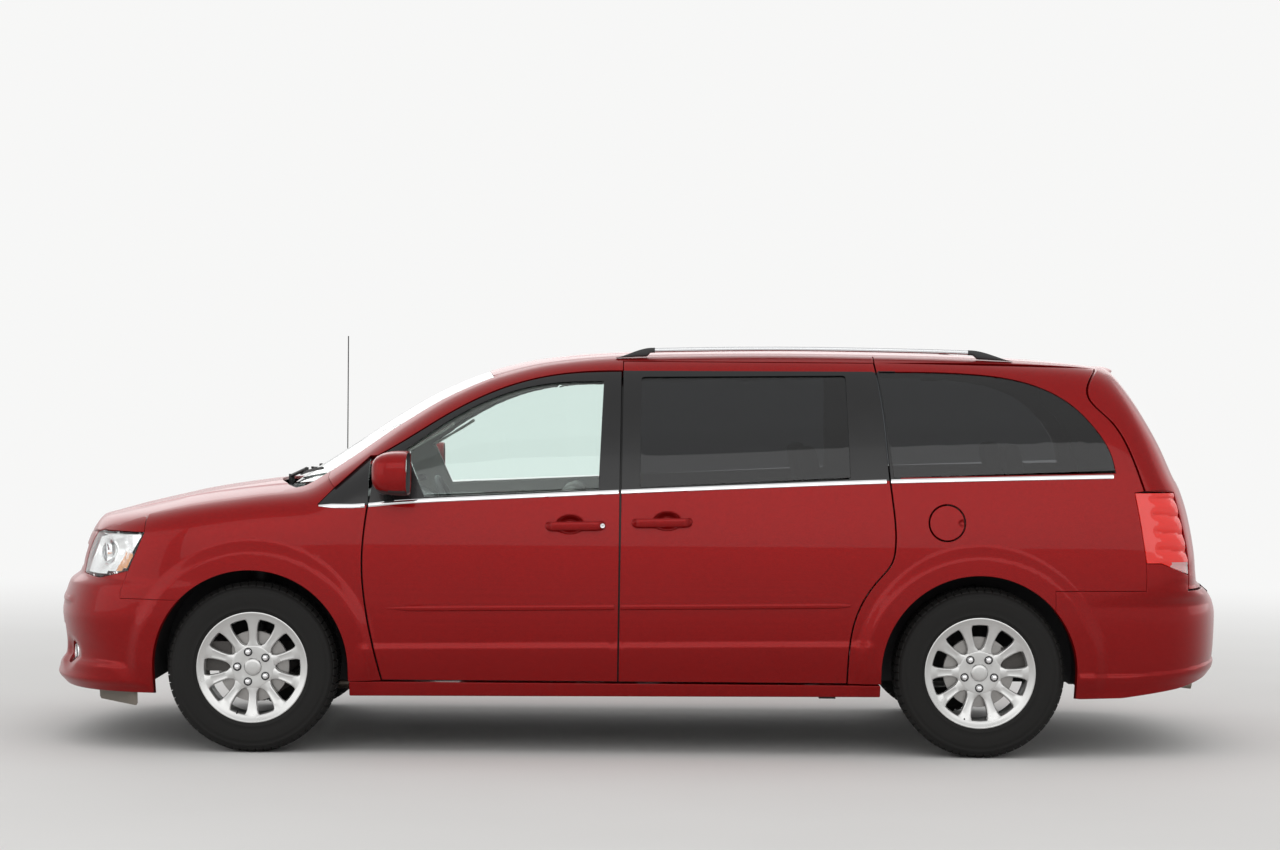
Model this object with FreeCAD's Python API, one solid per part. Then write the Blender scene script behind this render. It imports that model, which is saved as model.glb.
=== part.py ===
"""A family minivan with sliding side doors, standing on its four wheels.

Millimetres, +X forward, +Y to the vehicle's left, +Z up, the ground at Z = 0 and the
origin under the middle of the overall length. Every outer panel is cut from one body
form: a section that bulges at the doors and leans in above the belt line, closed by
rounded plan outlines at the nose and tail and by a roof or a bonnet profile on top.
"""

import FreeCAD, Part
import math
import os

Vec = FreeCAD.Vector

# Driving sizes of the whole vehicle
LENGTH = 5144.0
WHEELBASE = 3078.0
FRONT_OVERHANG = 950.0
HALF_WIDTH = 973.0
TRACK = 1666.0
BELT_Z = 1110.0
BELT_RAKE = 0.044
WIDEST_Z = 620.0

# Walls, gaps and clearances
DOOR_WALL = 48.0
FASCIA_WALL = 24.0
GLASS_WALL = 5.0
SHUT_GAP = 6.0
SEAM_GAP = 0.6
SEAT_GAP = 0.3

# Wheels and tyres
TYRE_RADIUS = 361.0
TYRE_WIDTH = 228.0
RIM_RADIUS = 233.0
SPOKES = 10
DISC_RADIUS = 150.0
ARCH_RADIUS = 414.0
FLARE_RADIUS = 545.0
FLARE_RISE = 22.0
LINER_RADIUS = 432.0

# Places along the length
FRONT_AXLE_X = LENGTH / 2 - FRONT_OVERHANG
REAR_AXLE_X = FRONT_AXLE_X - WHEELBASE
NOSE_X = LENGTH / 2
TAIL_X = -LENGTH / 2
B_POST_X = 68.0
C_POST_TOP_X = -1015.0
NOSE_START_X = 600.0
TAIL_START_X = -700.0

parts = {}


def save(name, shape):
    """Keeps a finished sub-part under its node name."""
    parts[name] = shape


def between(points, t):
    """Value at t of the smooth curve through (t, value) points, without overshoot."""
    if t <= points[0][0]:
        return points[0][1]
    if t >= points[-1][0]:
        return points[-1][1]
    steps = [(b[1] - a[1]) / (b[0] - a[0]) for a, b in zip(points, points[1:])]
    slopes = [steps[0]]
    for a, b in zip(steps, steps[1:]):
        slopes.append(0.0 if a * b <= 0 else 2 * a * b / (a + b))
    slopes.append(steps[-1])
    i = max(k for k, p in enumerate(points[:-1]) if p[0] <= t)
    (t0, v0), (t1, v1) = points[i], points[i + 1]
    h = t1 - t0
    s = (t - t0) / h
    return (
        v0 * (1 + 2 * s) * (1 - s) ** 2
        + slopes[i] * h * s * (1 - s) ** 2
        + v1 * s * s * (3 - 2 * s)
        + slopes[i + 1] * h * s * s * (s - 1)
    )


def ease(t):
    """Smooth step from 0 to 1."""
    t = max(0.0, min(1.0, t))
    return t * t * (3 - 2 * t)


# Nose and tail profiles: height, and distance from the end of the vehicle
NOSE_PROFILE = [
    (200, 150), (250, 20), (280, 0), (320, 10), (420, 22), (500, 16), (560, 10),
    (620, 20), (690, 42), (735, 92), (800, 104), (884, 130), (950, 165), (1000, 200),
    (1150, 320),
]
TAIL_PROFILE = [
    (230, 60), (330, 29), (360, 15), (448, 4), (587, 0), (640, 10), (680, 40), (711, 80),
    (740, 118), (781, 128), (842, 132), (1013, 160), (1129, 194), (1200, 228),
    (1325, 282), (1463, 357), (1560, 420), (1640, 480), (1720, 560),
]
# Bonnet and cabin profiles on the centre line: distance from the front axle, and height
BONNET_PROFILE = [
    (-400, 1165), (-46, 1140), (126, 1118), (299, 1090), (450, 1056), (600, 1020),
    (707, 990), (830, 955), (950, 900),
]
CABIN_PROFILE = [
    (-4100, 1575), (-3752, 1650), (-3622, 1672), (-3322, 1700), (-2822, 1722),
    (-2222, 1728), (-1622, 1718), (-1422, 1708), (-1192, 1683), (-972, 1632),
    (-752, 1545), (-532, 1420), (-313, 1275), (-172, 1186), (-60, 1108), (60, 1010),
]
SCREEN_SWEEP = 1.7e-4
ROOF_CROWN = 24.0
BONNET_CROWN = 46.0
ROUNDING_Z = 600.0
WING_BLEND = 24.0
FAN_Z = 1400.0
FAN_Y = 250.0
FAN_DROP = 260.0
FAN_RADIUS = 500.0
TAIL_FAN_Z = 1420.0
LOW_Z = 236.0
ROOF_POWER = 16.0
BONNET_POWER = 13.0


def belt(x):
    """Height of the belt line at x."""
    return BELT_Z - BELT_RAKE * x


def flare(x, z):
    """How far the wheel-arch flares stand out from the side at x, z."""
    rise = 0.0
    for axle in (FRONT_AXLE_X, REAR_AXLE_X):
        r = math.hypot(x - axle, z - TYRE_RADIUS)
        low = ease((z - TYRE_RADIUS + 140.0) / 160.0)
        rise += FLARE_RISE * low * ease((FLARE_RADIUS - r) / 110.0)
    return rise


def half_width(x, z, depth):
    """Half width of the body form at x, z, for the skin or for a surface below it."""
    top = belt(x)
    lean = (top - WIDEST_Z) / 490.0
    if z > top:
        up = z - top
        y = HALF_WIDTH - 48.0 * lean * lean - 0.26 * up - 0.00022 * up * up
    elif z > WIDEST_Z:
        y = HALF_WIDTH - 48.0 * ((z - WIDEST_Z) / 490.0) ** 2
    else:
        y = HALF_WIDTH - 42.0 * (max(0.0, WIDEST_Z - z) / 370.0) ** 2.2
    if x < TAIL_START_X:
        y -= 46.0 * ((TAIL_START_X - x) / 1800.0) ** 2
    y += flare(x, z) - depth
    share = 1.0
    if x > NOSE_START_X:
        nose = NOSE_X - between(NOSE_PROFILE, z) - depth
        s = (x - NOSE_START_X) / (nose - NOSE_START_X)
        share = max(0.0, 1 - s**9) ** (1 / 2.2)
    elif x < TAIL_START_X:
        tail = TAIL_X + between(TAIL_PROFILE, z) + depth
        s = (x - TAIL_START_X) / (tail - TAIL_START_X)
        square = ease((z - 640.0) / 140.0)
        share = max(0.0, 1 - s ** (12 + 18 * square)) ** (1 / (2.3 + 0.3 * square))
    return max(0.0, y) * share


def bonnet_top(x, y):
    """Height of the bonnet and wing tops at x, y."""
    return between(BONNET_PROFILE, x - FRONT_AXLE_X) - BONNET_CROWN * (y / 800.0) ** 2


def cabin_top(x, y):
    """Height of the windscreen and roof at x, y."""
    centre = between(CABIN_PROFILE, x + SCREEN_SWEEP * y * y - FRONT_AXLE_X)
    return centre - ROOF_CROWN * (y / 620.0) ** 2


def outside(p, top, power, depth):
    """Above 1 outside the body form, under 1 inside it."""
    width = half_width(p.x, p.z, depth)
    if width < 1:
        return 9.0
    g = (abs(p.y) / width) ** power
    if p.z > ROUNDING_Z:
        rise = top(p.x, p.y) - depth - ROUNDING_Z
        g += ((p.z - ROUNDING_Z) / max(1.0, rise)) ** power
    return g


def on_skin(start, way, top, power, depth):
    """Where the ray from start meets the body form."""
    near, far = 0.0, 3600.0
    for _ in range(26):
        mid = (near + far) / 2
        if outside(start + way * mid, top, power, depth) < 1:
            near = mid
        else:
            far = mid
    return start + way * near


def wing_top(x, y):
    """Height of the wing tops, which run up into the foot of the windscreen posts."""
    a = bonnet_top(x, y)
    b = cabin_top(x, y)
    return (a + b + math.hypot(a - b, WING_BLEND)) / 2


def around_side(x, v, depth, top, power):
    """Point of the side: v up to 1 climbs the side, v above 1 turns over the shoulder."""
    fan_z = min(FAN_Z, top(x, FAN_Y) - FAN_DROP)
    if v <= 1:
        return on_skin(Vec(x, 0, LOW_Z + (fan_z - LOW_Z) * v), Vec(0, 1, 0), top, power, depth)
    turn = (v - 1) * math.pi / 2
    way = Vec(0, math.cos(turn), math.sin(turn))
    return on_skin(Vec(x, FAN_Y, fan_z), way, top, power, depth)


def cabin_side(x, v, depth):
    """Point of the side skin of the cabin."""
    return around_side(x, v, depth, cabin_top, ROOF_POWER)


def wing_side(x, v, depth):
    """Point of the side skin ahead of the doors."""
    return around_side(x, v, depth, wing_top, BONNET_POWER)


def roof_skin(x, y, depth):
    """Point of the roof or windscreen above x, y."""
    return on_skin(Vec(x, y, ROUNDING_Z), Vec(0, 0, 1), cabin_top, ROOF_POWER, depth)


def skin_height(x, y, top, power):
    """Height of the body form over x, y."""
    return on_skin(Vec(x, y, ROUNDING_Z), Vec(0, 0, 1), top, power, 0).z


def bonnet_skin(x, y, depth):
    """Point of the bonnet above x, y."""
    return on_skin(Vec(x, y, ROUNDING_Z), Vec(0, 0, 1), bonnet_top, BONNET_POWER, depth)


def nose_skin(turn, z, depth):
    """Point of the front fascia at height z, seen at an angle from the engine bay."""
    start = Vec(FRONT_AXLE_X, 0, z)
    way = Vec(math.cos(turn), math.sin(turn), 0)
    return on_skin(start, way, bonnet_top, BONNET_POWER, depth)


def tail_skin(turn, v, depth):
    """Point of the tail; v is a height up to TAIL_FAN_Z, then a turn up to the roof."""
    z = min(v, TAIL_FAN_Z)
    rise = max(0.0, v - TAIL_FAN_Z) / FAN_RADIUS
    flat = math.cos(rise)
    start = Vec(REAR_AXLE_X, 0, z)
    way = Vec(-math.cos(turn) * flat, math.sin(turn) * flat, math.sin(rise))
    return on_skin(start, way, cabin_top, ROOF_POWER, depth)


def spread(a, b, count):
    """Count values from a to b, evenly spaced."""
    return [a + (b - a) * i / (count - 1) for i in range(count)]


def slab(skin, us, vs, outer_depth, inner_depth):
    """Solid between two depths of the body form over a grid of skin parameters."""
    faces = []
    rims = []
    for depth in (outer_depth, inner_depth):
        surface = Part.BSplineSurface()
        surface.interpolate([[skin(u, v, depth) for v in vs] for u in us])
        u0, u1, v0, v1 = surface.bounds()
        rims.append([surface.uIso(u0), surface.uIso(u1), surface.vIso(v0), surface.vIso(v1)])
        faces.append(surface.toShape())
    for a, b in zip(*rims):
        faces.append(Part.makeRuledSurface(a.toShape(), b.toShape()))
    return solid_of(faces)


def solid_of(faces):
    """Closed solid from faces that share their edges."""
    shell = Part.makeShell(faces)
    shell.sewShape()
    solid = Part.Solid(shell if shell.ShapeType == "Shell" else shell.Shells[0])
    if solid.Volume < 0:
        solid.reverse()
    return solid


def curve(points):
    """Edge through points: straight for two, a spline for more."""
    if len(points) == 2:
        return Part.makeLine(points[0], points[1])
    spline = Part.BSplineCurve()
    spline.interpolate(points)
    return spline.toShape()


def side_outline(*runs):
    """Closed wire in the XZ plane from runs of (x, z); each run starts where the last ended."""
    return closed_wire([[Vec(x, 0, z) for x, z in run] for run in runs])


def side_polygon(*corners):
    """Closed wire of straight edges in the XZ plane."""
    return closed_wire([[Vec(x, 0, z)] for x, z in corners])


def plan_outline(*runs):
    """Closed wire in the XY plane from runs of (x, y)."""
    return closed_wire([[Vec(x, y, 0) for x, y in run] for run in runs])


def front_outline(*runs):
    """Closed wire in the YZ plane from runs of (y, z)."""
    return closed_wire([[Vec(0, y, z) for y, z in run] for run in runs])


def front_polygon(*corners):
    """Closed wire of straight edges in the YZ plane."""
    return closed_wire([[Vec(0, y, z)] for y, z in corners])


def closed_wire(runs):
    """Closed wire of curves, with straight lines over the gaps between them."""
    edges = []
    for i, run in enumerate(runs):
        following = runs[(i + 1) % len(runs)][0]
        if len(run) > 1:
            edges.append(curve(run))
        if (run[-1] - following).Length > 1e-6:
            edges.append(Part.makeLine(run[-1], following))
    return Part.Wire(edges)


def prism(wire, start, way):
    """Solid swept from a flat wire, moved by start and then along way."""
    face = Part.Face(wire)
    face.translate(start)
    return face.extrude(way)


def side_prism(wire, y0=0.0, y1=1300.0):
    """Side outline swept across the vehicle from y0 to y1."""
    return prism(wire, Vec(0, y0, 0), Vec(0, y1 - y0, 0))


def plan_prism(wire, z0=0.0, z1=2200.0):
    """Plan outline swept up from z0 to z1."""
    return prism(wire, Vec(0, 0, z0), Vec(0, 0, z1 - z0))


def front_prism(wire, x0, x1):
    """Front outline swept along the vehicle from x0 to x1."""
    return prism(wire, Vec(x0, 0, 0), Vec(x1 - x0, 0, 0))


def box(x0, x1, y0, y1, z0, z1):
    """Box between two corners."""
    return Part.makeBox(x1 - x0, y1 - y0, z1 - z0, Vec(x0, y0, z0))


def rod(a, b, radius):
    """Round bar from a to b."""
    return Part.makeCylinder(radius, (b - a).Length, a, b - a)


def cross_bar(x, z, radius, y0, y1):
    """Round bar or disc along Y."""
    return Part.makeCylinder(radius, y1 - y0, Vec(x, y0, z), Vec(0, 1, 0))


def fuse(shapes):
    """One shape from several that meet."""
    body = shapes[0].multiFuse(shapes[1:]) if len(shapes) > 1 else shapes[0]
    return body.removeSplitter()


def mirrored(shape):
    """The same piece on the other side."""
    return shape.mirror(Vec(0, 0, 0), Vec(0, 1, 0))


def both(shape):
    """A left piece and its mirror image, apart from each other."""
    return Part.makeCompound([shape, mirrored(shape)])


def offset(wire, gap):
    """Wire drawn out by gap, or in where gap is negative, with its curves drawn afresh."""
    edges = []
    for edge in wire.makeOffset2D(gap).OrderedEdges:
        straight = isinstance(edge.Curve, Part.Line)
        edges.append(curve(edge.discretize(2 if straight else OFFSET_POINTS)))
    return Part.Wire(edges)


OFFSET_POINTS = 17


def inset(wire, gap):
    """Wire drawn in by gap."""
    return offset(wire, -gap)




def round_about(profile, centre):
    """Solid turned about an axis through centre along Y from (radius, y) corners."""
    corners = [Vec(r, y, 0) for r, y in profile]
    wire = Part.makePolygon([*corners, corners[0]])
    solid = Part.Face(wire).revolve(Vec(0, 0, 0), Vec(0, 1, 0), 360)
    solid.translate(centre)
    return solid


def leaning_box(a, b, half_x, half_y):
    """Straight bar of rectangular section from a to b, both in metres of the body frame."""
    corners = []
    for p in (a, b):
        corners.append(Part.makePolygon([
            p + Vec(-half_x, -half_y, 0), p + Vec(half_x, -half_y, 0),
            p + Vec(half_x, half_y, 0), p + Vec(-half_x, half_y, 0), p + Vec(-half_x, -half_y, 0),
        ]))
    return Part.makeLoft(corners, True, True)


def ahead(dx):
    """X at a distance from the front axle."""
    return FRONT_AXLE_X + dx


def behind(dx):
    """X at a distance from the rear axle."""
    return REAR_AXLE_X + dx


# Sill, door bottoms and belt
SILL_TOP_Z = 312.0
SILL_BOTTOM_Z = 250.0
BELT_STEP = 28.0
SLIDE_TOP_Z = 1672.0
ROOF_EDGE_Y = 592.0
SCREEN_TOP_X = ahead(-957)
SCREEN_BASE_X = ahead(-77)
BASE_SWEEP = 3.4e-4
TOP_SWEEP = 1.2e-4
BONNET_REAR_X = ahead(-22)
BONNET_SWEEP = 3.0e-4
BONNET_HALF = 774.0
HATCH_X = TAIL_X + 587.0

# Grids of the skins
SIDE_ROWS = spread(0, 1, 15) + [1.05, 1.1, 1.15, 1.2, 1.24, 1.28, 1.32, 1.36, 1.4, 1.45, 1.52, 1.6]
WING_ROWS = spread(0, 1, 14) + [1.06, 1.12, 1.18, 1.24, 1.3, 1.36, 1.42, 1.5]
NOSE_TURN = math.radians(72)
NOSE_ROWS = [214, 232, 256, 290, 340, 400, 460, 520, 580, 640, 676, 692, 706, 722, 738,
             760, 800, 845, 885, 930]
TAIL_TURN = math.radians(75)
BUMPER_ROWS = [246, 275, 310, 345, 380, 430, 490, 550, 600, 640, 665, 690, 712, 735, 765,
               800, 840]
HATCH_ROWS = [690, 712, 735, 765, 820, 900, 1000, 1080, 1130, 1180, 1250, 1330, 1420, 1480,
              1530, 1570, 1610, 1650, 1700]

# Seams seen from the side
FRONT_EDGE = [
    (ahead(-549), SILL_TOP_Z), (ahead(-522), 423), (ahead(-479), 627), (ahead(-463), 842),
    (ahead(-484), 1052), (ahead(-517), 1258),
]
FRONT_TOP = [
    (ahead(-517), 1258), (ahead(-598), 1305), (ahead(-801), 1432), (ahead(-1008), 1537),
    (ahead(-1164), 1588), (ahead(-1320), 1616), (B_POST_X, 1628),
]
SLIDE_REAR = [
    (C_POST_TOP_X, SLIDE_TOP_Z), (behind(408), 1440), (behind(385), 1173), (behind(368), 1030),
    (behind(363), 897), (behind(378), 826), (behind(433), 755), (behind(494), 671),
    (behind(534), 578), (behind(554), 476), (behind(563), SILL_TOP_Z),
]
B_FOOT = (B_POST_X + 7, SILL_TOP_Z)
HATCH_SIDE = [
    (HATCH_X, 1655), (TAIL_X + 628, 1606), (TAIL_X + 646, 1552), (TAIL_X + 560, 1439),
    (TAIL_X + 477, 1305), (TAIL_X + 417, 1134),
]
LAMP_REAR = [
    (TAIL_X + 287, 1128), (TAIL_X + 260, 1013), (TAIL_X + 229, 842), (TAIL_X + 226, 716),
]
LAMP_FRONT = [
    (TAIL_X + 463, 1128), (TAIL_X + 437, 975), (TAIL_X + 417, 830),
]
SAIL = [(ahead(-270), 1052), (ahead(-338), 1123), (ahead(-484), 1258), (ahead(-484), 1052)]

front_hole = side_outline(FRONT_EDGE, FRONT_TOP, [(B_POST_X, 1628)], [B_FOOT])
slide_hole = side_outline(SLIDE_REAR, [SLIDE_REAR[-1]], [B_FOOT], [(B_POST_X - 3, SLIDE_TOP_Z)])
front_window = side_outline(
    [(ahead(-722), belt(ahead(-722)) + BELT_STEP)],
    [(B_POST_X + 96, belt(B_POST_X + 96) + BELT_STEP)],
    [(B_POST_X + 78, 1584)],
    [(B_POST_X + 78, 1584), (ahead(-1270), 1576), (ahead(-1116), 1547), (ahead(-909), 1464),
     (ahead(-755), 1370), (ahead(-638), 1286)],
    [(ahead(-638), 1286)],
)
slide_window = side_polygon(
    (B_POST_X - 80, belt(B_POST_X) + BELT_STEP), (B_POST_X - 84, 1604),
    (C_POST_TOP_X + 126, 1612), (C_POST_TOP_X + 112, belt(C_POST_TOP_X) + BELT_STEP),
)
quarter_window = side_outline(
    [(behind(368), belt(behind(368)) + 26)],
    [(behind(-575), belt(behind(-575)) + 22)],
    [(behind(-575), belt(behind(-575)) + 22), (behind(-548), 1310), (behind(-488), 1405),
     (behind(-400), 1496), (behind(-290), 1562), (behind(-150), 1606), (behind(30), 1628),
     (behind(422), 1634)],
    [(behind(422), 1634)],
)
hatch_side = side_outline(
    HATCH_SIDE, [HATCH_SIDE[-1]], LAMP_REAR, [LAMP_REAR[-1]],
    [(TAIL_X - 200, 716)], [(TAIL_X - 200, 1760)], [(HATCH_X, 1760)],
)
tail_lamp_side = side_outline(
    [LAMP_FRONT[0]], [LAMP_REAR[0]], LAMP_REAR[:3], [LAMP_REAR[2]],
    [(TAIL_X + 229, 782)], [(TAIL_X + 352, 830)], [LAMP_FRONT[2], LAMP_FRONT[1], LAMP_FRONT[0]],
)


def arch(axle_x, radius=ARCH_RADIUS):
    """Cutter for one wheel arch, open downwards."""
    disc = cross_bar(axle_x + ARCH_SHIFT, TYRE_RADIUS, radius, -1300, 1300)
    mouth = box(axle_x + ARCH_SHIFT - radius, axle_x + ARCH_SHIFT + radius, -1300, 1300, -50, TYRE_RADIUS)
    return disc.fuse(mouth)


def roof_edge(x):
    """Distance from the middle of the seam between the roof or windscreen and the side."""
    return ROOF_EDGE_Y + max(0.0, x - ahead(-995)) * 0.14


def roof_edge_prism(gap, outward=True):
    """Everything outboard of the roof seam on the left side, drawn back by gap."""
    far = 1300.0 if outward else 0.0
    x0, x1, x2 = TAIL_X - 50, ahead(-995), ahead(100)
    return plan_prism(plan_outline(
        [(x0, roof_edge(x0) + gap)], [(x1, roof_edge(x1) + gap)], [(x2, roof_edge(x2) + gap)],
        [(x2, far)], [(x0, far)],
    ))


def door_panel(xs, hole, wall):
    """Door: an outer sheet out to its shut line and a box behind it, drawn in to clear the posts."""
    sheet = slab(cabin_side, xs, SIDE_ROWS, 0, SHEET_WALL)
    sheet = sheet.common(side_prism(inset(hole, SHUT_GAP / 2)))
    inner = slab(cabin_side, xs, SIDE_ROWS, SHEET_WALL - 1, wall)
    inner = inner.common(side_prism(inset(hole, SHUT_GAP / 2 + DOOR_REBATE)))
    return sheet.fuse(inner)


SHEET_WALL = 9.0
DOOR_REBATE = 13.0
ARCH_SHIFT = 6.0
GLASS_INSET = 8.0
POST_DEPTH = DOOR_WALL + 6.0


def door_leaves(xs, places, size_x, size_z):
    """Leaves on a door's inner face that reach to the post behind it."""
    strip = slab(cabin_side, xs, SIDE_ROWS[:14], DOOR_WALL - 2, POST_DEPTH - 2 * SEAT_GAP)
    leaves = []
    for x, z in places:
        leaves.append(strip.common(side_prism(side_polygon(
            (x, z), (x + size_x, z), (x + size_x, z + size_z), (x, z + size_z)))))
    return leaves


def make_front_doors():
    """Front doors with their glass."""
    xs = spread(B_POST_X - 60, ahead(-430), 22)
    leaves = door_leaves(spread(ahead(-620), ahead(-440), 4),
                         [(ahead(-574), 452), (ahead(-530), 860)], 34, 60)
    door = fuse([door_panel(xs, front_hole, DOOR_WALL), *leaves])
    door = door.cut(side_prism(front_window))
    glass = slab(cabin_side, xs, SIDE_ROWS, GLASS_INSET, GLASS_INSET + GLASS_WALL)
    glass = glass.common(side_prism(inset(front_window, SEAT_GAP)))
    return door, glass


def make_sliding_doors():
    """Sliding doors and their glass."""
    xs = spread(C_POST_TOP_X - 130, B_POST_X + 60, 24)
    leaves = door_leaves(spread(B_POST_X - 90, B_POST_X, 4),
                         [(B_POST_X - 50, 430), (B_POST_X - 50, 880)], 30, 60)
    door = fuse([door_panel(xs, slide_hole, DOOR_WALL), *leaves])
    door = door.cut(side_prism(slide_window))
    glass = slab(cabin_side, xs, SIDE_ROWS, GLASS_INSET, GLASS_INSET + GLASS_WALL)
    glass = glass.common(side_prism(inset(slide_window, SEAT_GAP)))
    return door, glass


def make_posts():
    """Black centre posts between the doors and the black corner panels ahead of the front doors."""
    xs = spread(B_POST_X - 90, B_POST_X + 90, 4)
    rows = [v for v in SIDE_ROWS if v <= 1.36]
    post = slab(cabin_side, xs, rows, POST_DEPTH, POST_DEPTH + 36)
    post = post.common(side_prism(side_polygon(
        (B_POST_X - 66, SILL_TOP_Z - SHUT_GAP + SEAT_GAP),
        (B_POST_X + 66, SILL_TOP_Z - SHUT_GAP + SEAT_GAP),
        (B_POST_X + 60, 1591), (B_POST_X, 1593.6), (B_POST_X, 1599.6), (B_POST_X - 66, 1600.4),
    )))
    sail_grid = slab(wing_side, spread(ahead(-520), ahead(-250), 7), WING_ROWS, 4, 20)
    sail = sail_grid.common(side_prism(inset(side_polygon(*SAIL), SEAM_GAP / 2)))
    return post, sail


def make_cant_rails():
    """Windscreen posts and the roof sides above the doors, boxed, with a lip behind the doors."""
    xs = spread(C_POST_TOP_X - 40, ahead(-180), 30)
    rows = [0.7, 0.8, 0.9, 1.0] + [v for v in SIDE_ROWS if v > 1]
    outer = slab(cabin_side, xs, rows, 0, CANT_WALL)
    above = side_outline(
        [(C_POST_TOP_X + SEAM_GAP, SLIDE_TOP_Z)], [(B_POST_X - 3, SLIDE_TOP_Z)],
        [(B_POST_X - 3, 1631)], [(p[0], p[1] + SHUT_GAP / 2) for p in reversed(FRONT_TOP)],
        [(ahead(-517), 1261)], [(ahead(-484), 1258 + SEAM_GAP)], [(ahead(-338), 1123 + SEAM_GAP)],
        [(ahead(-300) - SEAM_GAP, 1163 + SEAM_GAP)], [(ahead(-300) - SEAM_GAP, 1900)],
        [(C_POST_TOP_X + SEAM_GAP, 1900)],
    )
    rail = outer.common(side_prism(above)).common(roof_edge_prism(SEAM_GAP / 2))
    lip = slab(cabin_side, xs, rows, POST_DEPTH, CANT_WALL)
    band = side_outline(
        [(C_POST_TOP_X + SEAM_GAP, SLIDE_TOP_Z - 60)], [(B_POST_X, SLIDE_TOP_Z - 72)],
        [(p[0], p[1] - 34) for p in reversed(FRONT_TOP)], [(ahead(-517), 1224)],
        [(ahead(-480), 1224)], [(ahead(-480), 1800)], [(C_POST_TOP_X + SEAM_GAP, 1800)],
    )
    lip = lip.common(side_prism(band)).common(roof_edge_prism(SEAM_GAP / 2))
    return rail.fuse(lip)


CANT_WALL = 84.0


def make_sills():
    """Sills under the doors, boxed back to the floor."""
    xs = spread(behind(400), ahead(-380), 20)
    rows = [0.0, 0.02, 0.05, 0.08, 0.11]
    sill = slab(cabin_side, xs, rows, 0, SILL_WALL)
    return sill.common(side_prism(side_polygon(
        (behind(422), SILL_BOTTOM_Z + 6), (ahead(-412), SILL_BOTTOM_Z - 6),
        (ahead(-412), SILL_TOP_Z - SHUT_GAP), (behind(422), SILL_TOP_Z - SHUT_GAP),
    )))


SILL_WALL = 62.0
FLOOR_Y = 868.0
FLOOR_Z = 262.0
FLOOR_WALL = 30.0
TOE_X = ahead(-440)


def make_quarter_panels():
    """Rear sides of the body from the sliding doors back to the tail lamps and the hatch."""
    xs = spread(TAIL_X + 205, TAIL_X + 420, 10) + spread(TAIL_X + 450, behind(600), 30)
    panel = slab(cabin_side, xs, SIDE_ROWS, 0, QUARTER_WALL)
    front = [(p[0] - SHUT_GAP / 2, p[1]) for p in SLIDE_REAR]
    side = side_outline(
        [(C_POST_TOP_X, 1850)],
        [(C_POST_TOP_X, SLIDE_TOP_Z)],
        front, [front[-1]], [(behind(300), SILL_TOP_Z)], [(behind(-311), SILL_TOP_Z)],
        [(behind(-311), 713)], [(TAIL_X + 417, 713)], [(TAIL_X + 417, 830)],
        [LAMP_FRONT[2], LAMP_FRONT[1], LAMP_FRONT[0]], [LAMP_FRONT[0]],
        [(p[0] + SHUT_GAP, p[1]) for p in reversed(HATCH_SIDE)],
        [(HATCH_X + SHUT_GAP, 1760)], [(HATCH_X + SHUT_GAP, 1850)],
    )
    panel = panel.common(side_prism(side)).common(roof_edge_prism(SEAM_GAP / 2))
    panel = panel.cut(arch(REAR_AXLE_X)).cut(side_prism(quarter_window))
    glass = slab(cabin_side, spread(TAIL_X + 450, behind(600), 26), SIDE_ROWS, 6, 6 + GLASS_WALL)
    glass = glass.common(side_prism(inset(quarter_window, SEAT_GAP)))
    return panel, glass


QUARTER_WALL = 46.0
FUEL_X = behind(145)
FUEL_Z = 995.0
FUEL_RADIUS = 73.0


def fuel_disc(radius, outer_depth, inner_depth):
    """Round piece of the left rear side at the fuel filler."""
    xs = spread(FUEL_X - 100, FUEL_X + 100, 7)
    rows = [0.5, 0.55, 0.6, 0.65, 0.7, 0.75, 0.8]
    disc = slab(cabin_side, xs, rows, outer_depth, inner_depth)
    return disc.common(cross_bar(FUEL_X, FUEL_Z, radius, 500, 1300))


def make_front_wings():
    """Front wings from the doors to the headlamps and the bumper."""
    xs = spread(ahead(-570), ahead(620), 38)
    wing = slab(wing_side, xs, WING_ROWS, 0, WING_WALL)
    rear = [(p[0] + SHUT_GAP / 2, p[1]) for p in reversed(FRONT_EDGE[:5])]
    side = side_outline(
        [rear[-1]], [(ahead(278), SILL_TOP_Z - 5)], [(ahead(278), 646 + SEAM_GAP)],
        [(ahead(566), 646 + SEAM_GAP)], [(ahead(566), 674)],
        [(ahead(536), 762)], [(ahead(469), 923)], [(ahead(469), 1300)],
        [(ahead(-300), 1300)], [(ahead(-300), 1163)], [(ahead(-338), 1123)],
        [(ahead(-270), 1052)], rear,
    )
    wing = wing.common(side_prism(side)).cut(arch(FRONT_AXLE_X))
    return wing.cut(bonnet_area(SHUT_GAP)).cut(plan_prism(plan_outline(
        [(ahead(-700), 0)], [(ahead(-140), 0)], [(ahead(-140), roof_edge(ahead(-140)) + SEAM_GAP / 2)],
        [(ahead(-700), roof_edge(ahead(-700)) + SEAM_GAP / 2)])))


WING_WALL = 24.0


def bonnet_area(gap):
    """Upright prism over the bonnet, grown by gap."""
    half = BONNET_HALF + gap
    rear = [(BONNET_REAR_X - gap - BONNET_SWEEP * y * y, y)
            for y in (-half, -600.0, -300.0, 0.0, 300.0, 600.0, half)]
    nose = [(ahead(bonnet_front(y)) + gap, y + gap * y / BONNET_HALF)
            for y in (BONNET_HALF, 738.0, 664.0, 584.0, 460.0, 330.0, 170.0, 0.0)]
    front = nose + [(x, -y) for x, y in reversed(nose[:-1])]
    return plan_prism(plan_outline(rear, [rear[-1]], front, [front[-1]]), 780, 2200)


def bonnet_front(y):
    """Distance of the bonnet's front edge from the front axle at y."""
    return between(BONNET_FRONT, abs(y))


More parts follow.
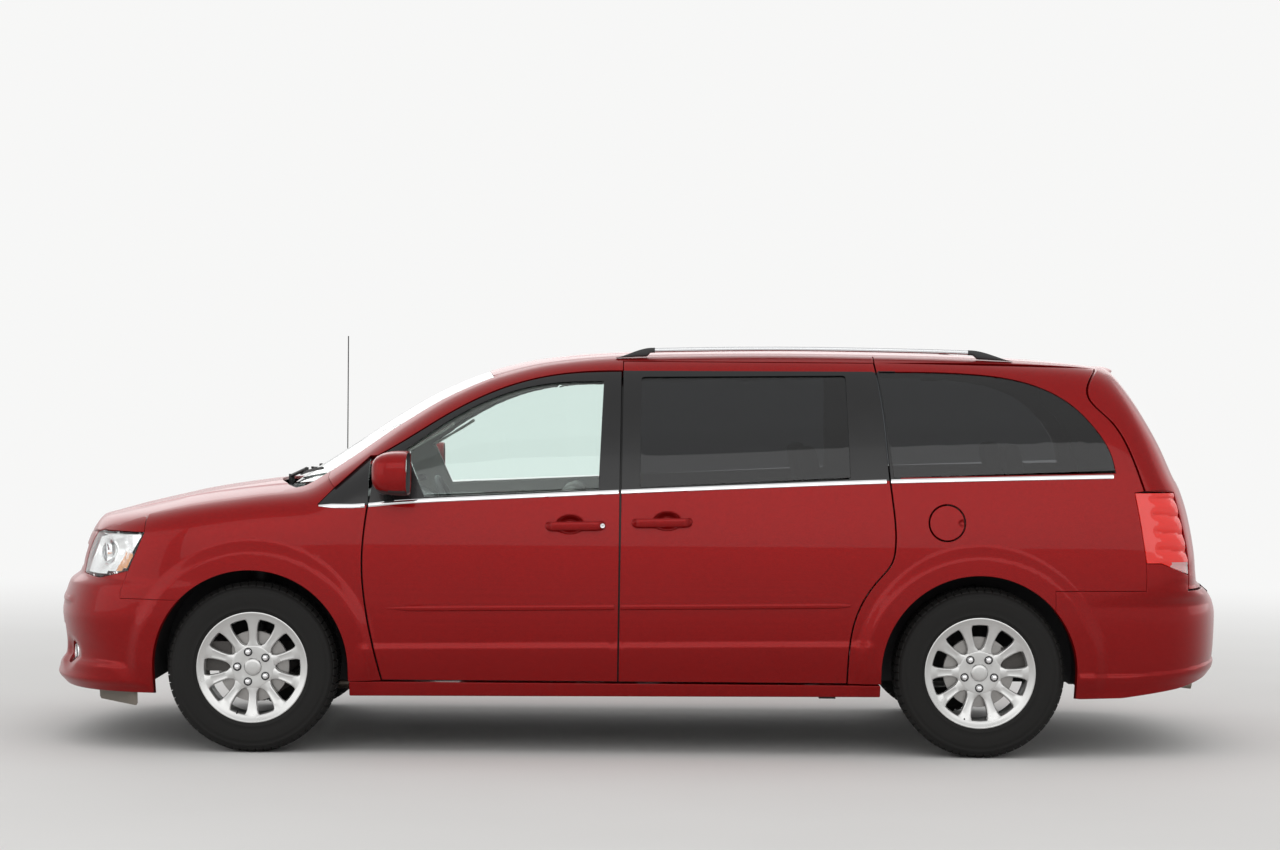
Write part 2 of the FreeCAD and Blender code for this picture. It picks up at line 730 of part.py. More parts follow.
def bonnet_grid(u, y, depth):
    """Point of the bonnet, u running from its rear edge to its front edge."""
    x0 = BONNET_REAR_X - 8 - BONNET_SWEEP * y * y
    return bonnet_skin(x0 + (ahead(bonnet_front(y)) + 5 - x0) * u, y, depth)


def make_bonnet():
    """Bonnet, hinged at its rear edge."""
    us = spread(0, 0.8, 14) + [0.85, 0.9, 0.94, 0.97, 1.0]
    skin = slab(bonnet_grid, us, spread(-BONNET_HALF - 8, BONNET_HALF + 8, 25), 0, BONNET_WALL)
    return skin.common(bonnet_area(0))


BONNET_FRONT = [(0, 806), (330, 785), (584, 716), (738, 593), (790, 420)]
BONNET_WALL = 16.0


def screen_curve(x, sweep, gap):
    """Points of a swept edge across the vehicle, from right to left."""
    return [(x + gap - sweep * y * y, y) for y in (-1000.0, -600.0, -300.0, 0.0, 300.0, 600.0, 1000.0)]


def make_roof():
    """Roof panel between the roof seams, from the windscreen to the hatch."""
    xs = spread(HATCH_X + SHUT_GAP / 2, SCREEN_TOP_X + 20, 24)
    skin = slab(roof_skin, xs, spread(-ROOF_EDGE_Y - 20, ROOF_EDGE_Y + 20, 15), 0, ROOF_WALL)
    top = screen_curve(SCREEN_TOP_X, TOP_SWEEP, -SEAM_GAP / 2)
    area = plan_prism(plan_outline([(HATCH_X - 100, -1000)], top, [top[-1]], [(HATCH_X - 100, 1000)]))
    skin = skin.common(area)
    for edge in (roof_edge_prism(-SEAM_GAP / 2), mirrored(roof_edge_prism(-SEAM_GAP / 2))):
        skin = skin.cut(edge)
    return skin


ROOF_WALL = 24.0


def make_windscreen():
    """Windscreen, curved across and set between its posts."""
    xs = spread(SCREEN_TOP_X - 70, SCREEN_BASE_X + 20, 22)
    skin = slab(roof_skin, xs, spread(-720, 720, 17), 3, 3 + GLASS_WALL + 1)
    top = screen_curve(SCREEN_TOP_X, TOP_SWEEP, SEAM_GAP / 2)
    base = screen_curve(SCREEN_BASE_X, BASE_SWEEP, 0)
    area = plan_prism(plan_outline(top, [top[-1]], list(reversed(base)), [base[0]]))
    skin = skin.common(area)
    for edge in (roof_edge_prism(-SEAM_GAP / 2), mirrored(roof_edge_prism(-SEAM_GAP / 2))):
        skin = skin.cut(edge)
    return skin


def make_cowl():
    """Black panel under the foot of the windscreen, with the bulkhead and toe board below it."""
    xs = spread(SCREEN_BASE_X - 230, BONNET_REAR_X + 40, 12)
    skin = slab(bonnet_skin, xs, spread(-760, 760, 15), COWL_DEPTH, COWL_DEPTH + 22)
    base = screen_curve(SCREEN_BASE_X, BASE_SWEEP, -40)
    rear = screen_curve(BONNET_REAR_X, BONNET_SWEEP, 30)
    area = plan_prism(plan_outline(base, [base[-1]], list(reversed(rear)), [rear[0]]))
    panel = skin.common(area).common(box(0, NOSE_X, -766, 766, 0, 2000))
    bulkhead = box(ahead(-250), ahead(-232), -470, 470, FLOOR_Z + FLOOR_WALL, 1080)
    wings = both(box(TOE_X, TOE_X + 18, 460, 880, SILL_TOP_Z + 10, 1040))
    returns = both(box(TOE_X, ahead(-232), 455, 470, FLOOR_Z + FLOOR_WALL, 1040))
    shelf = box(TOE_X, ahead(-232), -880, 880, 1022, 1040)
    post = slab(cabin_side, spread(ahead(-640), ahead(-420), 6), [v for v in SIDE_ROWS if v < 1],
                POST_DEPTH, POST_DEPTH + 40)
    post = post.common(side_prism(side_polygon(
        (ahead(-600), SILL_TOP_Z + 6), (ahead(-432), SILL_TOP_Z + 6), (ahead(-432), 1040),
        (ahead(-560), 1040))))
    return panel, fuse([bulkhead, *wings.Solids, *returns.Solids, shelf, post, mirrored(post)])


COWL_DEPTH = 36.0


def fascia(rows, depth):
    """Front fascia slab from arch to arch."""
    return slab(nose_skin, spread(-NOSE_TURN, NOSE_TURN, 45), rows, depth, depth + FASCIA_WALL)


LAMP_SIDE = [
    (ahead(469), 1000), (ahead(469), 923), (ahead(536), 762), (ahead(674), 726),
    (ahead(760), 733), (ahead(900), 745), (ahead(900), 1000),
]
LAMP_INNER_Y = 596.0
GRILLE = [(500.0, 752.0), (520.0, 850.0)]
INTAKE = [(470.0, 335.0), (520.0, 505.0)]


def lamp_prism(gap):
    """Headlamp opening on the left, grown by gap."""
    side = side_prism(offset(side_polygon(*LAMP_SIDE), gap) if gap else side_polygon(*LAMP_SIDE))
    inner = front_prism(front_polygon(
        (LAMP_INNER_Y - 14 - gap, 700), (LAMP_INNER_Y + 14 - gap, 1000), (1100, 1000), (1100, 700),
    ), ahead(300), ahead(1000))
    return side.common(inner)


def opening_prism(corners):
    """Opening across the nose, symmetrical, from two (half width, z) corners."""
    (y0, z0), (y1, z1) = corners
    return front_prism(front_polygon((-y0, z0), (y0, z0), (y1, z1), (-y1, z1)), ahead(500), ahead(1000))


def make_front_bumper():
    """Front bumper with its header between the lamps, the grille mouth and the lower intake."""
    shell = fascia(NOSE_ROWS, 0)
    side = side_prism(side_polygon(
        (ahead(270), 240), (ahead(500), 205), (ahead(1000), 205), (ahead(1000), 1000),
        (ahead(469), 1000), (ahead(536), 762), (ahead(566), 674), (ahead(566), 646), (ahead(270), 646),
    ), -1300, 1300)
    shell = shell.common(side).cut(arch(FRONT_AXLE_X)).cut(bonnet_area(SHUT_GAP))
    for cutter in (lamp_prism(SEAM_GAP), mirrored(lamp_prism(SEAM_GAP))):
        shell = shell.cut(cutter)
    return shell.cut(opening_prism(GRILLE)).cut(opening_prism(INTAKE))


def make_headlamps():
    """Headlamp on the left: a deep moulded unit behind a clear lens."""
    rows = [700, 715, 730, 745, 760, 790, 820, 850, 880, 910, 940]
    block = slab(nose_skin, spread(math.radians(25), math.radians(64), 16), rows, 2, LAMP_DEPTH)
    return block.common(lamp_prism(0)).cut(bonnet_area(SHUT_GAP))


LAMP_DEPTH = 60.0


def make_grilles():
    """Plain upper and lower grilles: bars between side blocks."""
    upper = grille_bars(GRILLE, 5, 12)
    lower = grille_bars(INTAKE, 5, 14)
    return upper, lower


def grille_bars(corners, count, thick):
    """Horizontal bars joined by three uprights, set back in an opening."""
    (y0, z0), (y1, z1) = corners
    rows = spread(z0 - 14, z1 + 14, 6)
    skin = slab(nose_skin, spread(-math.radians(34), math.radians(34), 21), rows, 10, 22)
    pitch = (z1 - z0) / count
    cutters = []
    for i in range(count):
        low = z0 + pitch * i + thick / 2
        for y in (-0.5, 0.5):
            cutters.append(box(ahead(500), ahead(1000), y * y0 - y0 / 2 + 6, y * y0 + y0 / 2 - 6,
                               low, low + pitch - thick))
    skin = skin.common(opening_prism([(y0 - SEAT_GAP, z0 + SEAT_GAP), (y1 - SEAT_GAP, z1 - SEAT_GAP)]))
    return skin.cut(Part.makeCompound(cutters))


def make_rear_bumper():
    """Rear bumper, wrapped forward to the rear arches."""
    shell = slab(tail_skin, spread(-TAIL_TURN, TAIL_TURN, 45), BUMPER_ROWS, 0, FASCIA_WALL)
    side = side_prism(side_polygon(
        (BUMPER_REACH_X, 252), (TAIL_X - 100, 252), (TAIL_X - 100, 716 - SHUT_GAP),
        (TAIL_X + 225, 716 - SHUT_GAP), (TAIL_X + 225, 780), (TAIL_X + 352, 829),
        (TAIL_X + 417 - SEAM_GAP, 829), (TAIL_X + 417 - SEAM_GAP, 712), (BUMPER_REACH_X, 712),
    ), -1300, 1300)
    return shell.common(side).cut(arch(REAR_AXLE_X))


BUMPER_REACH_X = behind(-311) - SEAM_GAP


def make_tail_lamps():
    """Tail lamp on the left, a deep moulded unit."""
    rows = [750, 770, 800, 850, 900, 960, 1020, 1080, 1120, 1160]
    block = slab(tail_skin, spread(math.radians(36), math.radians(60), 14), rows, -2, 46)
    return block.common(side_prism(inset(tail_lamp_side, SEAM_GAP / 2)))


def make_hatch():
    """Rear hatch with its spoiler lip, window and number plate recess."""
    turn = math.radians(60)
    shell = slab(tail_skin, spread(-turn, turn, 41), HATCH_ROWS, 0, HATCH_WALL)
    shell = shell.common(side_prism(inset(hatch_side, SHUT_GAP / 2), -1300, 1300))
    shell = shell.cut(box(HATCH_X - SHUT_GAP / 2, HATCH_X + 400,
                          -ROOF_EDGE_Y - 14, ROOF_EDGE_Y + 14, 1400, 1800))
    shell = shell.cut(front_prism(hatch_window(0), TAIL_X - 100, HATCH_X - 40))
    shell = shell.cut(box(TAIL_X - 100, PLATE_X, -165, 165, PLATE_Z - 110, PLATE_Z + 35))
    for y in (-PLATE_PITCH / 2, PLATE_PITCH / 2):
        shell = shell.cut(rod(Vec(TAIL_X - 50, y, PLATE_Z), Vec(PLATE_X + 60, y, PLATE_Z), PLATE_HOLE))
    lugs = []
    for y in (-450, 450):
        z = skin_height(HATCH_X - 10, y, cabin_top, ROOF_POWER)
        lugs.append(box(HATCH_X - 30, HATCH_X + SHUT_GAP / 2 - 2 * SEAT_GAP, y - 25, y + 25, z - 22, z - 8))
    shell = fuse([shell, *lugs])
    glass = slab(tail_skin, spread(-turn, turn, 31), HATCH_ROWS, 5, 5 + GLASS_WALL)
    glass = glass.common(front_prism(hatch_window(-SEAT_GAP), TAIL_X - 100, HATCH_X - 40))
    return shell, glass


HATCH_WALL = 44.0
PLATE_X = TAIL_X + 150.0
PLATE_Z = 905.0
PLATE_PITCH = 178.0
PLATE_HOLE = 3.3


def hatch_window(grow_by):
    """Outline of the hatch window seen from behind."""
    wire = front_outline(
        [(-700.0, 1170.0)], [(700.0, 1170.0)],
        [(700.0, 1170.0), (672.0, 1320.0), (620.0, 1468.0), (560.0, 1540.0)],
        [(560.0, 1540.0), (0.0, 1556.0), (-560.0, 1540.0)],
        [(-560.0, 1540.0), (-620.0, 1468.0), (-672.0, 1320.0), (-700.0, 1170.0)],
    )
    return offset(wire, grow_by) if grow_by else wire


def rounded_box(solid, radius):
    """Box with its upright edges rounded."""
    edges = [e for e in solid.Edges if abs(e.tangentAt(e.FirstParameter).z) > 0.99]
    return solid.makeFillet(radius, edges)


def wheel_housing(axle_x, y0, y1):
    """Half-round inner wing over one left wheel."""
    outer = cross_bar(axle_x, TYRE_RADIUS, LINER_RADIUS + 6, y0, y1)
    inner = cross_bar(axle_x, TYRE_RADIUS, LINER_RADIUS, y0 + 6, y1 + 50)
    return outer.cut(inner).cut(box(axle_x - 600, axle_x + 600, y0 - 10, y1 + 60, -200, TYRE_RADIUS - 65))


def make_housings():
    """Inner wings over the four wheels."""
    front = wheel_housing(FRONT_AXLE_X, 476, HOUSING_Y)
    front = front.cut(box(ahead(-600), TOE_X + 18 + SEAT_GAP, 0, 1300, 0, 2000))
    front = front.cut(cross_tower(14))
    front = front.cut(box(ahead(-270), ahead(250), 400, 490, 200, 520))
    rear = wheel_housing(REAR_AXLE_X, 620, HOUSING_Y)
    rear = rear.cut(box(behind(-90), behind(90), 600, 640, 200, 470))
    return front, rear


HOUSING_Y = 868.0


def cross_tower(grow_by):
    """Room for the strut tower on the left."""
    return Part.makeCylinder(TOWER_RADIUS + grow_by, 500, Vec(FRONT_AXLE_X, TOWER_Y, 600))


TOWER_RADIUS = 94.0
TOWER_Y = 588.0
TOWER_TOP_Z = 985.0
TOWER_CAP = 18.0
RAIL_Y = 420.0


def make_front_structure():
    """Front rails, strut towers, crash beam, lamp panel and radiator."""
    rail = box(ahead(-232), ahead(790), RAIL_Y - 32, RAIL_Y + 32, 430, 530)
    tower = Part.makeCylinder(TOWER_RADIUS, TOWER_TOP_Z - 760, Vec(FRONT_AXLE_X, TOWER_Y, 760))
    bore = Part.makeCylinder(TOWER_RADIUS - 8, TOWER_TOP_Z - TOWER_CAP - 750, Vec(FRONT_AXLE_X, TOWER_Y, 750))
    tower = tower.cut(bore)
    web = box(ahead(-70), ahead(70), RAIL_Y - 8, TOWER_Y - TOWER_RADIUS + 6,
              TYRE_RADIUS + LINER_RADIUS + 12, 960)
    leg = box(ahead(-70), ahead(70), RAIL_Y - 8, RAIL_Y + 30, 520, 960)
    brace = box(ahead(-232), ahead(660), RAIL_Y + 60, RAIL_Y + 90, 860, 905)
    left = fuse([rail, leg, web, tower, brace])
    panel = box(ahead(640), ahead(672), -560, 560, 820, 872)
    uprights = both(box(ahead(640), ahead(672), RAIL_Y - 30, RAIL_Y + 90, 430, 905))
    low = box(ahead(640), ahead(672), -450, 450, 300, 345)
    legs = both(box(ahead(640), ahead(672), RAIL_Y - 30, RAIL_Y + 30, 300, 530))
    radiator = box(ahead(641), ahead(671), -360, 360, 340, 825)
    beam = box(ahead(785), ahead(830), -480, 480, 425, 535)
    return fuse([left, mirrored(left), panel, *uprights.Solids, low, *legs.Solids, radiator, beam])


def make_handle(x0, x1, z0, z1):
    """Pull handle standing off the left side on two feet."""
    xs = spread(x0 - 20, x1 + 20, 7)
    rows = [0.55, 0.6, 0.65, 0.7]
    bar = slab(cabin_side, xs, rows, -36, -15).common(side_prism(side_polygon(
        (x0, z0), (x1, z0 - HANDLE_DROP), (x1, z1 - HANDLE_DROP), (x0, z1))))
    feet = slab(cabin_side, xs, rows, -17, -SEAT_GAP)
    ends = side_prism(side_polygon((x0, z0), (x0 + 34, z0), (x0 + 34, z1), (x0, z1)))
    ends = ends.fuse(side_prism(side_polygon(
        (x1 - 34, z0 - HANDLE_DROP), (x1, z0 - HANDLE_DROP), (x1, z1 - HANDLE_DROP),
        (x1 - 34, z1 - HANDLE_DROP))))
    return fuse([bar, *feet.common(ends).Solids])


HANDLE_DROP = 6.0


def make_mirror():
    """Door mirror on the left: a rounded shell on a short arm."""
    shell = box(MIRROR_X0, MIRROR_X1, 975, 1196, 1098, 1284)
    shell = shell.makeFillet(34, [e for e in shell.Edges if e.BoundBox.YLength > 1 or e.BoundBox.YMin > 1100])
    arm = box(MIRROR_X0 + 60, MIRROR_X1 - 6, 800, 1010, 1092, 1132)
    xs = spread(ahead(-760), ahead(-460), 6)
    inside = slab(cabin_side, xs, [0.6, 0.7, 0.8, 0.9, 1.0, 1.1], -SEAT_GAP, 260)
    return fuse([shell, arm.cut(inside)])


MIRROR_X0 = ahead(-668)
MIRROR_X1 = ahead(-516)


def make_fuel_door():
    """Round filler door on the left rear side, with its hinge lug."""
    disc = fuel_disc(FUEL_RADIUS, 0, 10)
    lug = slab(cabin_side, spread(FUEL_X - 10, FUEL_X + 110, 5), [0.55, 0.6, 0.65, 0.7, 0.75], 8, 22)
    lug = lug.common(side_prism(side_polygon(
        (FUEL_X + FUEL_RADIUS - 26, FUEL_Z - 12), (FUEL_X + FUEL_RADIUS + SHUT_GAP - 1.6, FUEL_Z - 12),
        (FUEL_X + FUEL_RADIUS + SHUT_GAP - 1.6, FUEL_Z + 12), (FUEL_X + FUEL_RADIUS - 26, FUEL_Z + 12))))
    return fuse([disc, lug])


def make_tyre():
    """Tyre about the Y axis with its cavity."""
    half = TYRE_WIDTH / 2
    bead = RIM_RADIUS - 4 + SEAT_GAP
    return round_about([
        (bead, -half + 16), (285, -half), (345, -half + 16), (TYRE_RADIUS, -half + 56),
        (TYRE_RADIUS, half - 56), (345, half - 16), (285, half), (bead, half - 16),
        (bead, half - 30), (340, half - 44), (340, -half + 44), (bead, -half + 30),
    ], Vec(0, 0, 0))


def make_alloy(turn):
    """Ten-spoke wheel about the Y axis, outer side at +Y, with the brake disc behind it."""
    edge = TYRE_WIDTH / 2 - 16 + SEAT_GAP + 1.4
    seat = RIM_RADIUS - 4
    barrel = round_about([
        (seat - 13, -edge - 5), (RIM_RADIUS + 1, -edge - 5), (RIM_RADIUS + 1, -edge),
        (seat, -edge), (seat, edge), (RIM_RADIUS + 1, edge), (RIM_RADIUS + 1, edge + 5),
        (seat - 5, edge + 5), (seat - 13, edge - 12),
    ], Vec(0, 0, 0))
    hub = round_about([(0, HUB_BACK), (HUB_RADIUS, HUB_BACK), (HUB_RADIUS, HUB_FACE), (32, HUB_FACE),
                       (30, HUB_FACE + 9), (0, HUB_FACE + 9)], Vec(0, 0, 0))
    spokes = []
    for i in range(SPOKES):
        inner = spoke_section(HUB_RADIUS - 18, 15, HUB_BACK + 4, HUB_FACE)
        outer = spoke_section(seat - 9, 23, edge - 34, edge - 1)
        spoke = Part.makeLoft([inner, outer], True, True)
        spoke.rotate(Vec(0, 0, 0), Vec(0, 1, 0), turn + 360 / SPOKES * i)
        spokes.append(spoke)
    wheel = fuse([barrel, hub, *spokes])
    disc = round_about([(24, DISC_Y), (DISC_RADIUS, DISC_Y), (DISC_RADIUS, DISC_Y + DISC_THICK),
                        (80, DISC_Y + DISC_THICK), (80, HUB_BACK - SEAT_GAP),
                        (24, HUB_BACK - SEAT_GAP)], Vec(0, 0, 0))
    return wheel, disc


HUB_RADIUS = 80.0
HUB_BACK = 46.0
HUB_FACE = 72.0
DISC_Y = 14.0
DISC_THICK = 22.0
RUN_GAP = 6.0


def spoke_section(r, half, y0, y1):
    """Section of a spoke at a radius."""
    return Part.makePolygon([Vec(-half, y0, r), Vec(half, y0, r), Vec(half * 0.8, y1, r),
                             Vec(-half * 0.8, y1, r), Vec(-half, y0, r)])


def placed(shape, axle_x, side):
    """Wheel piece set on its axle end; side is 1 on the left and -1 on the right."""
    piece = shape.copy()
    if side < 0:
        piece = piece.mirror(Vec(0, 0, 0), Vec(0, 1, 0))
    piece.translate(Vec(axle_x, side * TRACK / 2, TYRE_RADIUS))
    return piece


def hub_carrier(axle_x, way, y_in):
    """Hub, stub and brake caliper at a left wheel; way is 1 with the caliper ahead."""
    y_disc = TRACK / 2 + DISC_Y
    hub = cross_bar(axle_x, TYRE_RADIUS, 60, y_in, y_disc - RUN_GAP)
    stub = cross_bar(axle_x, TYRE_RADIUS, 18, y_in, TRACK / 2 + HUB_BACK - 2 * SEAT_GAP)
    x0, x1 = sorted((axle_x + way * 96, axle_x + way * 215))
    caliper = box(x0, x1, y_disc - 34, y_disc + DISC_THICK + 15, TYRE_RADIUS - 20, TYRE_RADIUS + 105)
    caliper = caliper.common(cross_bar(axle_x, TYRE_RADIUS, CALIPER_RADIUS, 0, 1300))
    caliper = caliper.cut(cross_bar(axle_x, TYRE_RADIUS, DISC_RADIUS + RUN_GAP,
                                    y_disc - RUN_GAP, y_disc + DISC_THICK + RUN_GAP))
    b0, b1 = sorted((axle_x + way * 30, axle_x + way * 112))
    bracket = box(b0, b1, y_disc - 34, y_disc - 12, TYRE_RADIUS - 18, TYRE_RADIUS + 60)
    return [hub, stub, caliper, bracket]


CALIPER_RADIUS = 205.0


def make_knuckle():
    """Left steering knuckle with its hub and caliper, turning about the upright kingpin line."""
    upright = box(ahead(-38), ahead(38), 694, 762, 224, 500)
    arm = box(ahead(-150), ahead(-20), 700, 722, 300, 322)
    track_rod = rod(Vec(ahead(-138), 712, 314), Vec(ahead(-157), TRACK_ROD_Y + 8, 332), TRACK_ROD_RADIUS)
    return fuse([upright, arm, track_rod, *hub_carrier(FRONT_AXLE_X, 1, 730)])


TRACK_ROD_RADIUS = 9.0
TRACK_ROD_Y = 602.0


def upright_section(y, x, half, z0, z1):
    """Rectangle across Y, as a section of an arm."""
    return Part.makePolygon([Vec(x - half, y, z0), Vec(x + half, y, z0), Vec(x + half, y, z1),
                             Vec(x - half, y, z1), Vec(x - half, y, z0)])


def make_front_suspension():
    """Front subframe with its lower arms and struts."""
    frame = box(ahead(-150), ahead(130), -372, 372, 236, 282)
    feet = both(box(ahead(-150), ahead(-90), 362, 452, 240, 430 - SEAT_GAP))
    fore = both(box(ahead(80), ahead(130), 362, 452, 240, 430 - SEAT_GAP))
    arm = Part.makeLoft([
        upright_section(350, ahead(-10), 110, 240, 272),
        upright_section(672, FRONT_AXLE_X, 40, 203, 220),
        upright_section(768, FRONT_AXLE_X, 34, 203, 224 - SEAT_GAP),
    ], True, True)
    top = TOWER_TOP_Z - TOWER_CAP - SEAT_GAP
    strut = rod(Vec(FRONT_AXLE_X, 676, 490), Vec(FRONT_AXLE_X, TOWER_Y, TOWER_TOP_Z + 20), 24)
    strut = strut.common(box(ahead(-60), ahead(60), 500, 800, 500 + 2 * SEAT_GAP, top))
    spring = rod(Vec(FRONT_AXLE_X, 642, 660), Vec(FRONT_AXLE_X, TOWER_Y + 4, 940), 46)
    rack = cross_bar(ahead(-180), RACK_Z, 24, -300, 300)
    rack_feet = both(box(ahead(-190), ahead(-140), 210, 250, 262, RACK_Z))
    rods = both(rod(Vec(ahead(-180), 290, RACK_Z), Vec(ahead(-158), TRACK_ROD_Y, 334), TRACK_ROD_RADIUS))
    body = fuse([frame, *feet.Solids, *fore.Solids, arm, mirrored(arm),
                 rack, *rack_feet.Solids, *rods.Solids])
    struts = both(fuse([strut, spring]))
    return body, struts


RACK_Z = 410.0


def make_rear_axle():
    """Twist-beam rear axle with its arms, hubs, springs and dampers."""
    beam = cross_bar(behind(190), 340, 36, -585, 585)
    arm = Part.makeLoft([
        Part.makePolygon([Vec(behind(500), 520, 320), Vec(behind(500), 570, 320), Vec(behind(500), 570, 385),
                          Vec(behind(500), 520, 385), Vec(behind(500), 520, 320)]),
        Part.makePolygon([Vec(behind(-60), 560, 320), Vec(behind(-60), 612, 320), Vec(behind(-60), 612, 400),
                          Vec(behind(-60), 560, 400), Vec(behind(-60), 560, 320)]),
    ], True, True)
    mount = box(behind(455), behind(520), 505, 585, 380, REAR_FLOOR_Z - SEAT_GAP)
    spring = Part.makeCylinder(52, REAR_FLOOR_Z - SEAT_GAP - 380, Vec(behind(60), 560, 380))
    left = fuse([arm, mount, spring, *hub_carrier(REAR_AXLE_X, -1, 600)])
    return fuse([beam, left, mirrored(left)])


REAR_FLOOR_Z = 500.0
KICK_X = behind(560)


def make_underbody():
    """Floor pan: low in front, raised over the rear axle, with a well behind it."""
    front = box(KICK_X - FLOOR_WALL, TOE_X, -FLOOR_Y, FLOOR_Y, FLOOR_Z, FLOOR_Z + FLOOR_WALL)
    middle = box(TOE_X, ahead(-232) - SEAT_GAP, -454, 454, FLOOR_Z, FLOOR_Z + FLOOR_WALL)
    riser = box(KICK_X - FLOOR_WALL, KICK_X, -FLOOR_Y, FLOOR_Y, FLOOR_Z, REAR_FLOOR_Z + FLOOR_WALL)
    rear = box(TAIL_X + 130, KICK_X, -FLOOR_Y, FLOOR_Y, REAR_FLOOR_Z, REAR_FLOOR_Z + FLOOR_WALL)
    mouth = box(TAIL_X + 200, behind(-450), -540, 540, 300, REAR_FLOOR_Z + FLOOR_WALL + 5)
    floor = fuse([front, middle, riser, rear]).cut(mouth)
    for side in (1, -1):
        y0, y1 = sorted((side * (620 - SEAT_GAP), side * 1300))
        floor = floor.cut(box(behind(-LINER_RADIUS - 7), behind(LINER_RADIUS + 7), y0, y1, 200, 700))
    for side in (1, -1):
        corner = plan_prism(plan_outline(
            [(TAIL_X + 340, side * 900)], [(TAIL_X + 340, side * 800)], [(TAIL_X + 100, side * 540)],
            [(TAIL_X + 100, side * 900)]), 200, 800)
        floor = floor.cut(corner)
    tank = rounded_box(box(behind(640), behind(1500), -540, -120, 196, FLOOR_Z + 4), 24)
    pads = []
    for x in (behind(640), ahead(-560)):
        for side in (1, -1):
            y0, y1 = sorted((side * (JACK_Y - 35), side * (JACK_Y + 35)))
            pads.append(box(x - 35, x + 35, y0, y1, JACK_Z, FLOOR_Z + 4))
    return fuse([floor, tank, *pads])


def make_floor_well():
    """Open well under the load floor, hung from the rim of its mouth."""
    top = REAR_FLOOR_Z - SEAT_GAP
    tub = box(TAIL_X + 180, behind(-430), -560, 560, 280, top)
    return tub.cut(box(TAIL_X + 200, behind(-450), -540, 540, 300, top + 10))


JACK_Y = 820.0
JACK_Z = 240.0


def make_engine():
    """Engine and gearbox as one plain block on its two mounts."""
    block = box(ENGINE_REAR_X, ahead(560), -352, 352, 330, 870)
    mounts = box(ahead(180), ahead(280), -RAIL_Y + 32 + SEAT_GAP, RAIL_Y - 32 - SEAT_GAP, 440, 520)
    return fuse([block, mounts])


ENGINE_REAR_X = ahead(-110)
PIPE_RADIUS = 28.0


def pipe(points, radius):
    """Round pipe through points, with ball corners."""
    pieces = []
    for a, b in zip(points, points[1:]):
        pieces.append(rod(a, b, radius))
    for p in points[1:-1]:
        pieces.append(Part.makeSphere(radius, p))
    return fuse(pieces)


def make_exhaust():
    """Exhaust pipe with its silencer and tailpipe, hung under the floor."""
    line = pipe([
        Vec(ENGINE_REAR_X - SEAT_GAP, 170, 362), Vec(ENGINE_REAR_X - PIPE_RADIUS - 8, 170, 362),
        Vec(ahead(-186), 170, 320), Vec(ahead(-196), 170, 222),
        Vec(behind(440), 170, 222),
        Vec(behind(360), 230, 430), Vec(behind(-160), 330, 430),
    ], PIPE_RADIUS)
    silencer = rod(Vec(behind(-130), 350, 415), Vec(behind(-370), 350, 415), 78)
    tail = pipe([
        Vec(behind(-355), 370, 415), Vec(behind(-385), 590, 380), Vec(behind(-620), 590, 330),
        Vec(TAIL_X + 160, 600, 292),
    ], 24)
    hangers = [box(ahead(-600), ahead(-580), 160, 180, 240, FLOOR_Z - SEAT_GAP),
               box(behind(-270), behind(-250), 340, 360, 480, REAR_FLOOR_Z - SEAT_GAP),
               box(TAIL_X + 350, TAIL_X + 370, 588, 608, 320, REAR_FLOOR_Z - SEAT_GAP)]
    return fuse([line, silencer, tail, *hangers])


def make_dashboard():
    """Dashboard with its instrument cowl, console and steering column shroud."""
    profile = side_polygon(
        (TOE_X - SEAT_GAP, 720), (TOE_X - SEAT_GAP, 1040 + SEAT_GAP), (ahead(-324), 1040 + SEAT_GAP),
        (ahead(-324), 1064), (ahead(-480), 1088), (ahead(-612), 1066), (ahead(-682), 985),
        (ahead(-668), 880), (ahead(-590), 800), (ahead(-560), 720),
    )
    dash = side_prism(profile, -790, 790)
    console = box(ahead(-930), TOE_X - SEAT_GAP, -115, 115, FLOOR_Z + FLOOR_WALL + SEAT_GAP, 760)
    console = console.cut(side_prism(side_polygon(
        (ahead(-940), 620), (ahead(-760), 640), (ahead(-690), 900), (ahead(-940), 900)), -200, 200))
    shroud = rod(STEER_CENTRE + STEER_WAY * 62, STEER_CENTRE + STEER_WAY * 200, 42)
    return fuse([dash, console, shroud])


STEER_CENTRE = Vec(ahead(-822), 400, 985)
STEER_WAY = Vec(math.cos(math.radians(26)), 0, -math.sin(math.radians(26)))
STEER_RADIUS = 184.0


def make_steering_wheel():
    """Steering wheel: rim, hub and three spokes, on a short shaft."""
    rim = Part.makeTorus(STEER_RADIUS, 15, STEER_CENTRE, STEER_WAY)
    hub = rod(STEER_CENTRE - STEER_WAY * 12, STEER_CENTRE + STEER_WAY * 36, 58)
    shaft = rod(STEER_CENTRE + STEER_WAY * 30, STEER_CENTRE + STEER_WAY * (62 - SEAT_GAP * 2), 18)
    across = box(-11, 11, -STEER_RADIUS, STEER_RADIUS, -20, 20)
    down = box(-11, 11, -20, 20, -STEER_RADIUS, 0)
    bars = fuse([across, down])
    bars.rotate(Vec(0, 0, 0), Vec(0, 1, 0), 26)
    bars.translate(STEER_CENTRE)
    return fuse([rim, hub, shaft, bars])


def seat(x, y, floor_z, half, cushion_z):
    """Seat as a base, a cushion and a leaning back with its head rest, apart from each other."""
    base = box(x - 190, x + 210, y - half + 50, y + half - 50, floor_z + SEAT_GAP, cushion_z - SEAT_GAP)
    cushion = box(x - 210, x + 290, y - half, y + half, cushion_z, cushion_z + 150)
    low = Vec(x - 150, y, cushion_z + 150 + SEAT_GAP)
    high = Vec(x - 340, y, cushion_z + 690)
    back = leaning_box(low, high, 55, half - 10)
    head = leaning_box(high - Vec(0, 0, 10), high + Vec(-45, 0, 190), 45, 130)
    return [base, cushion, fuse([back, head])]


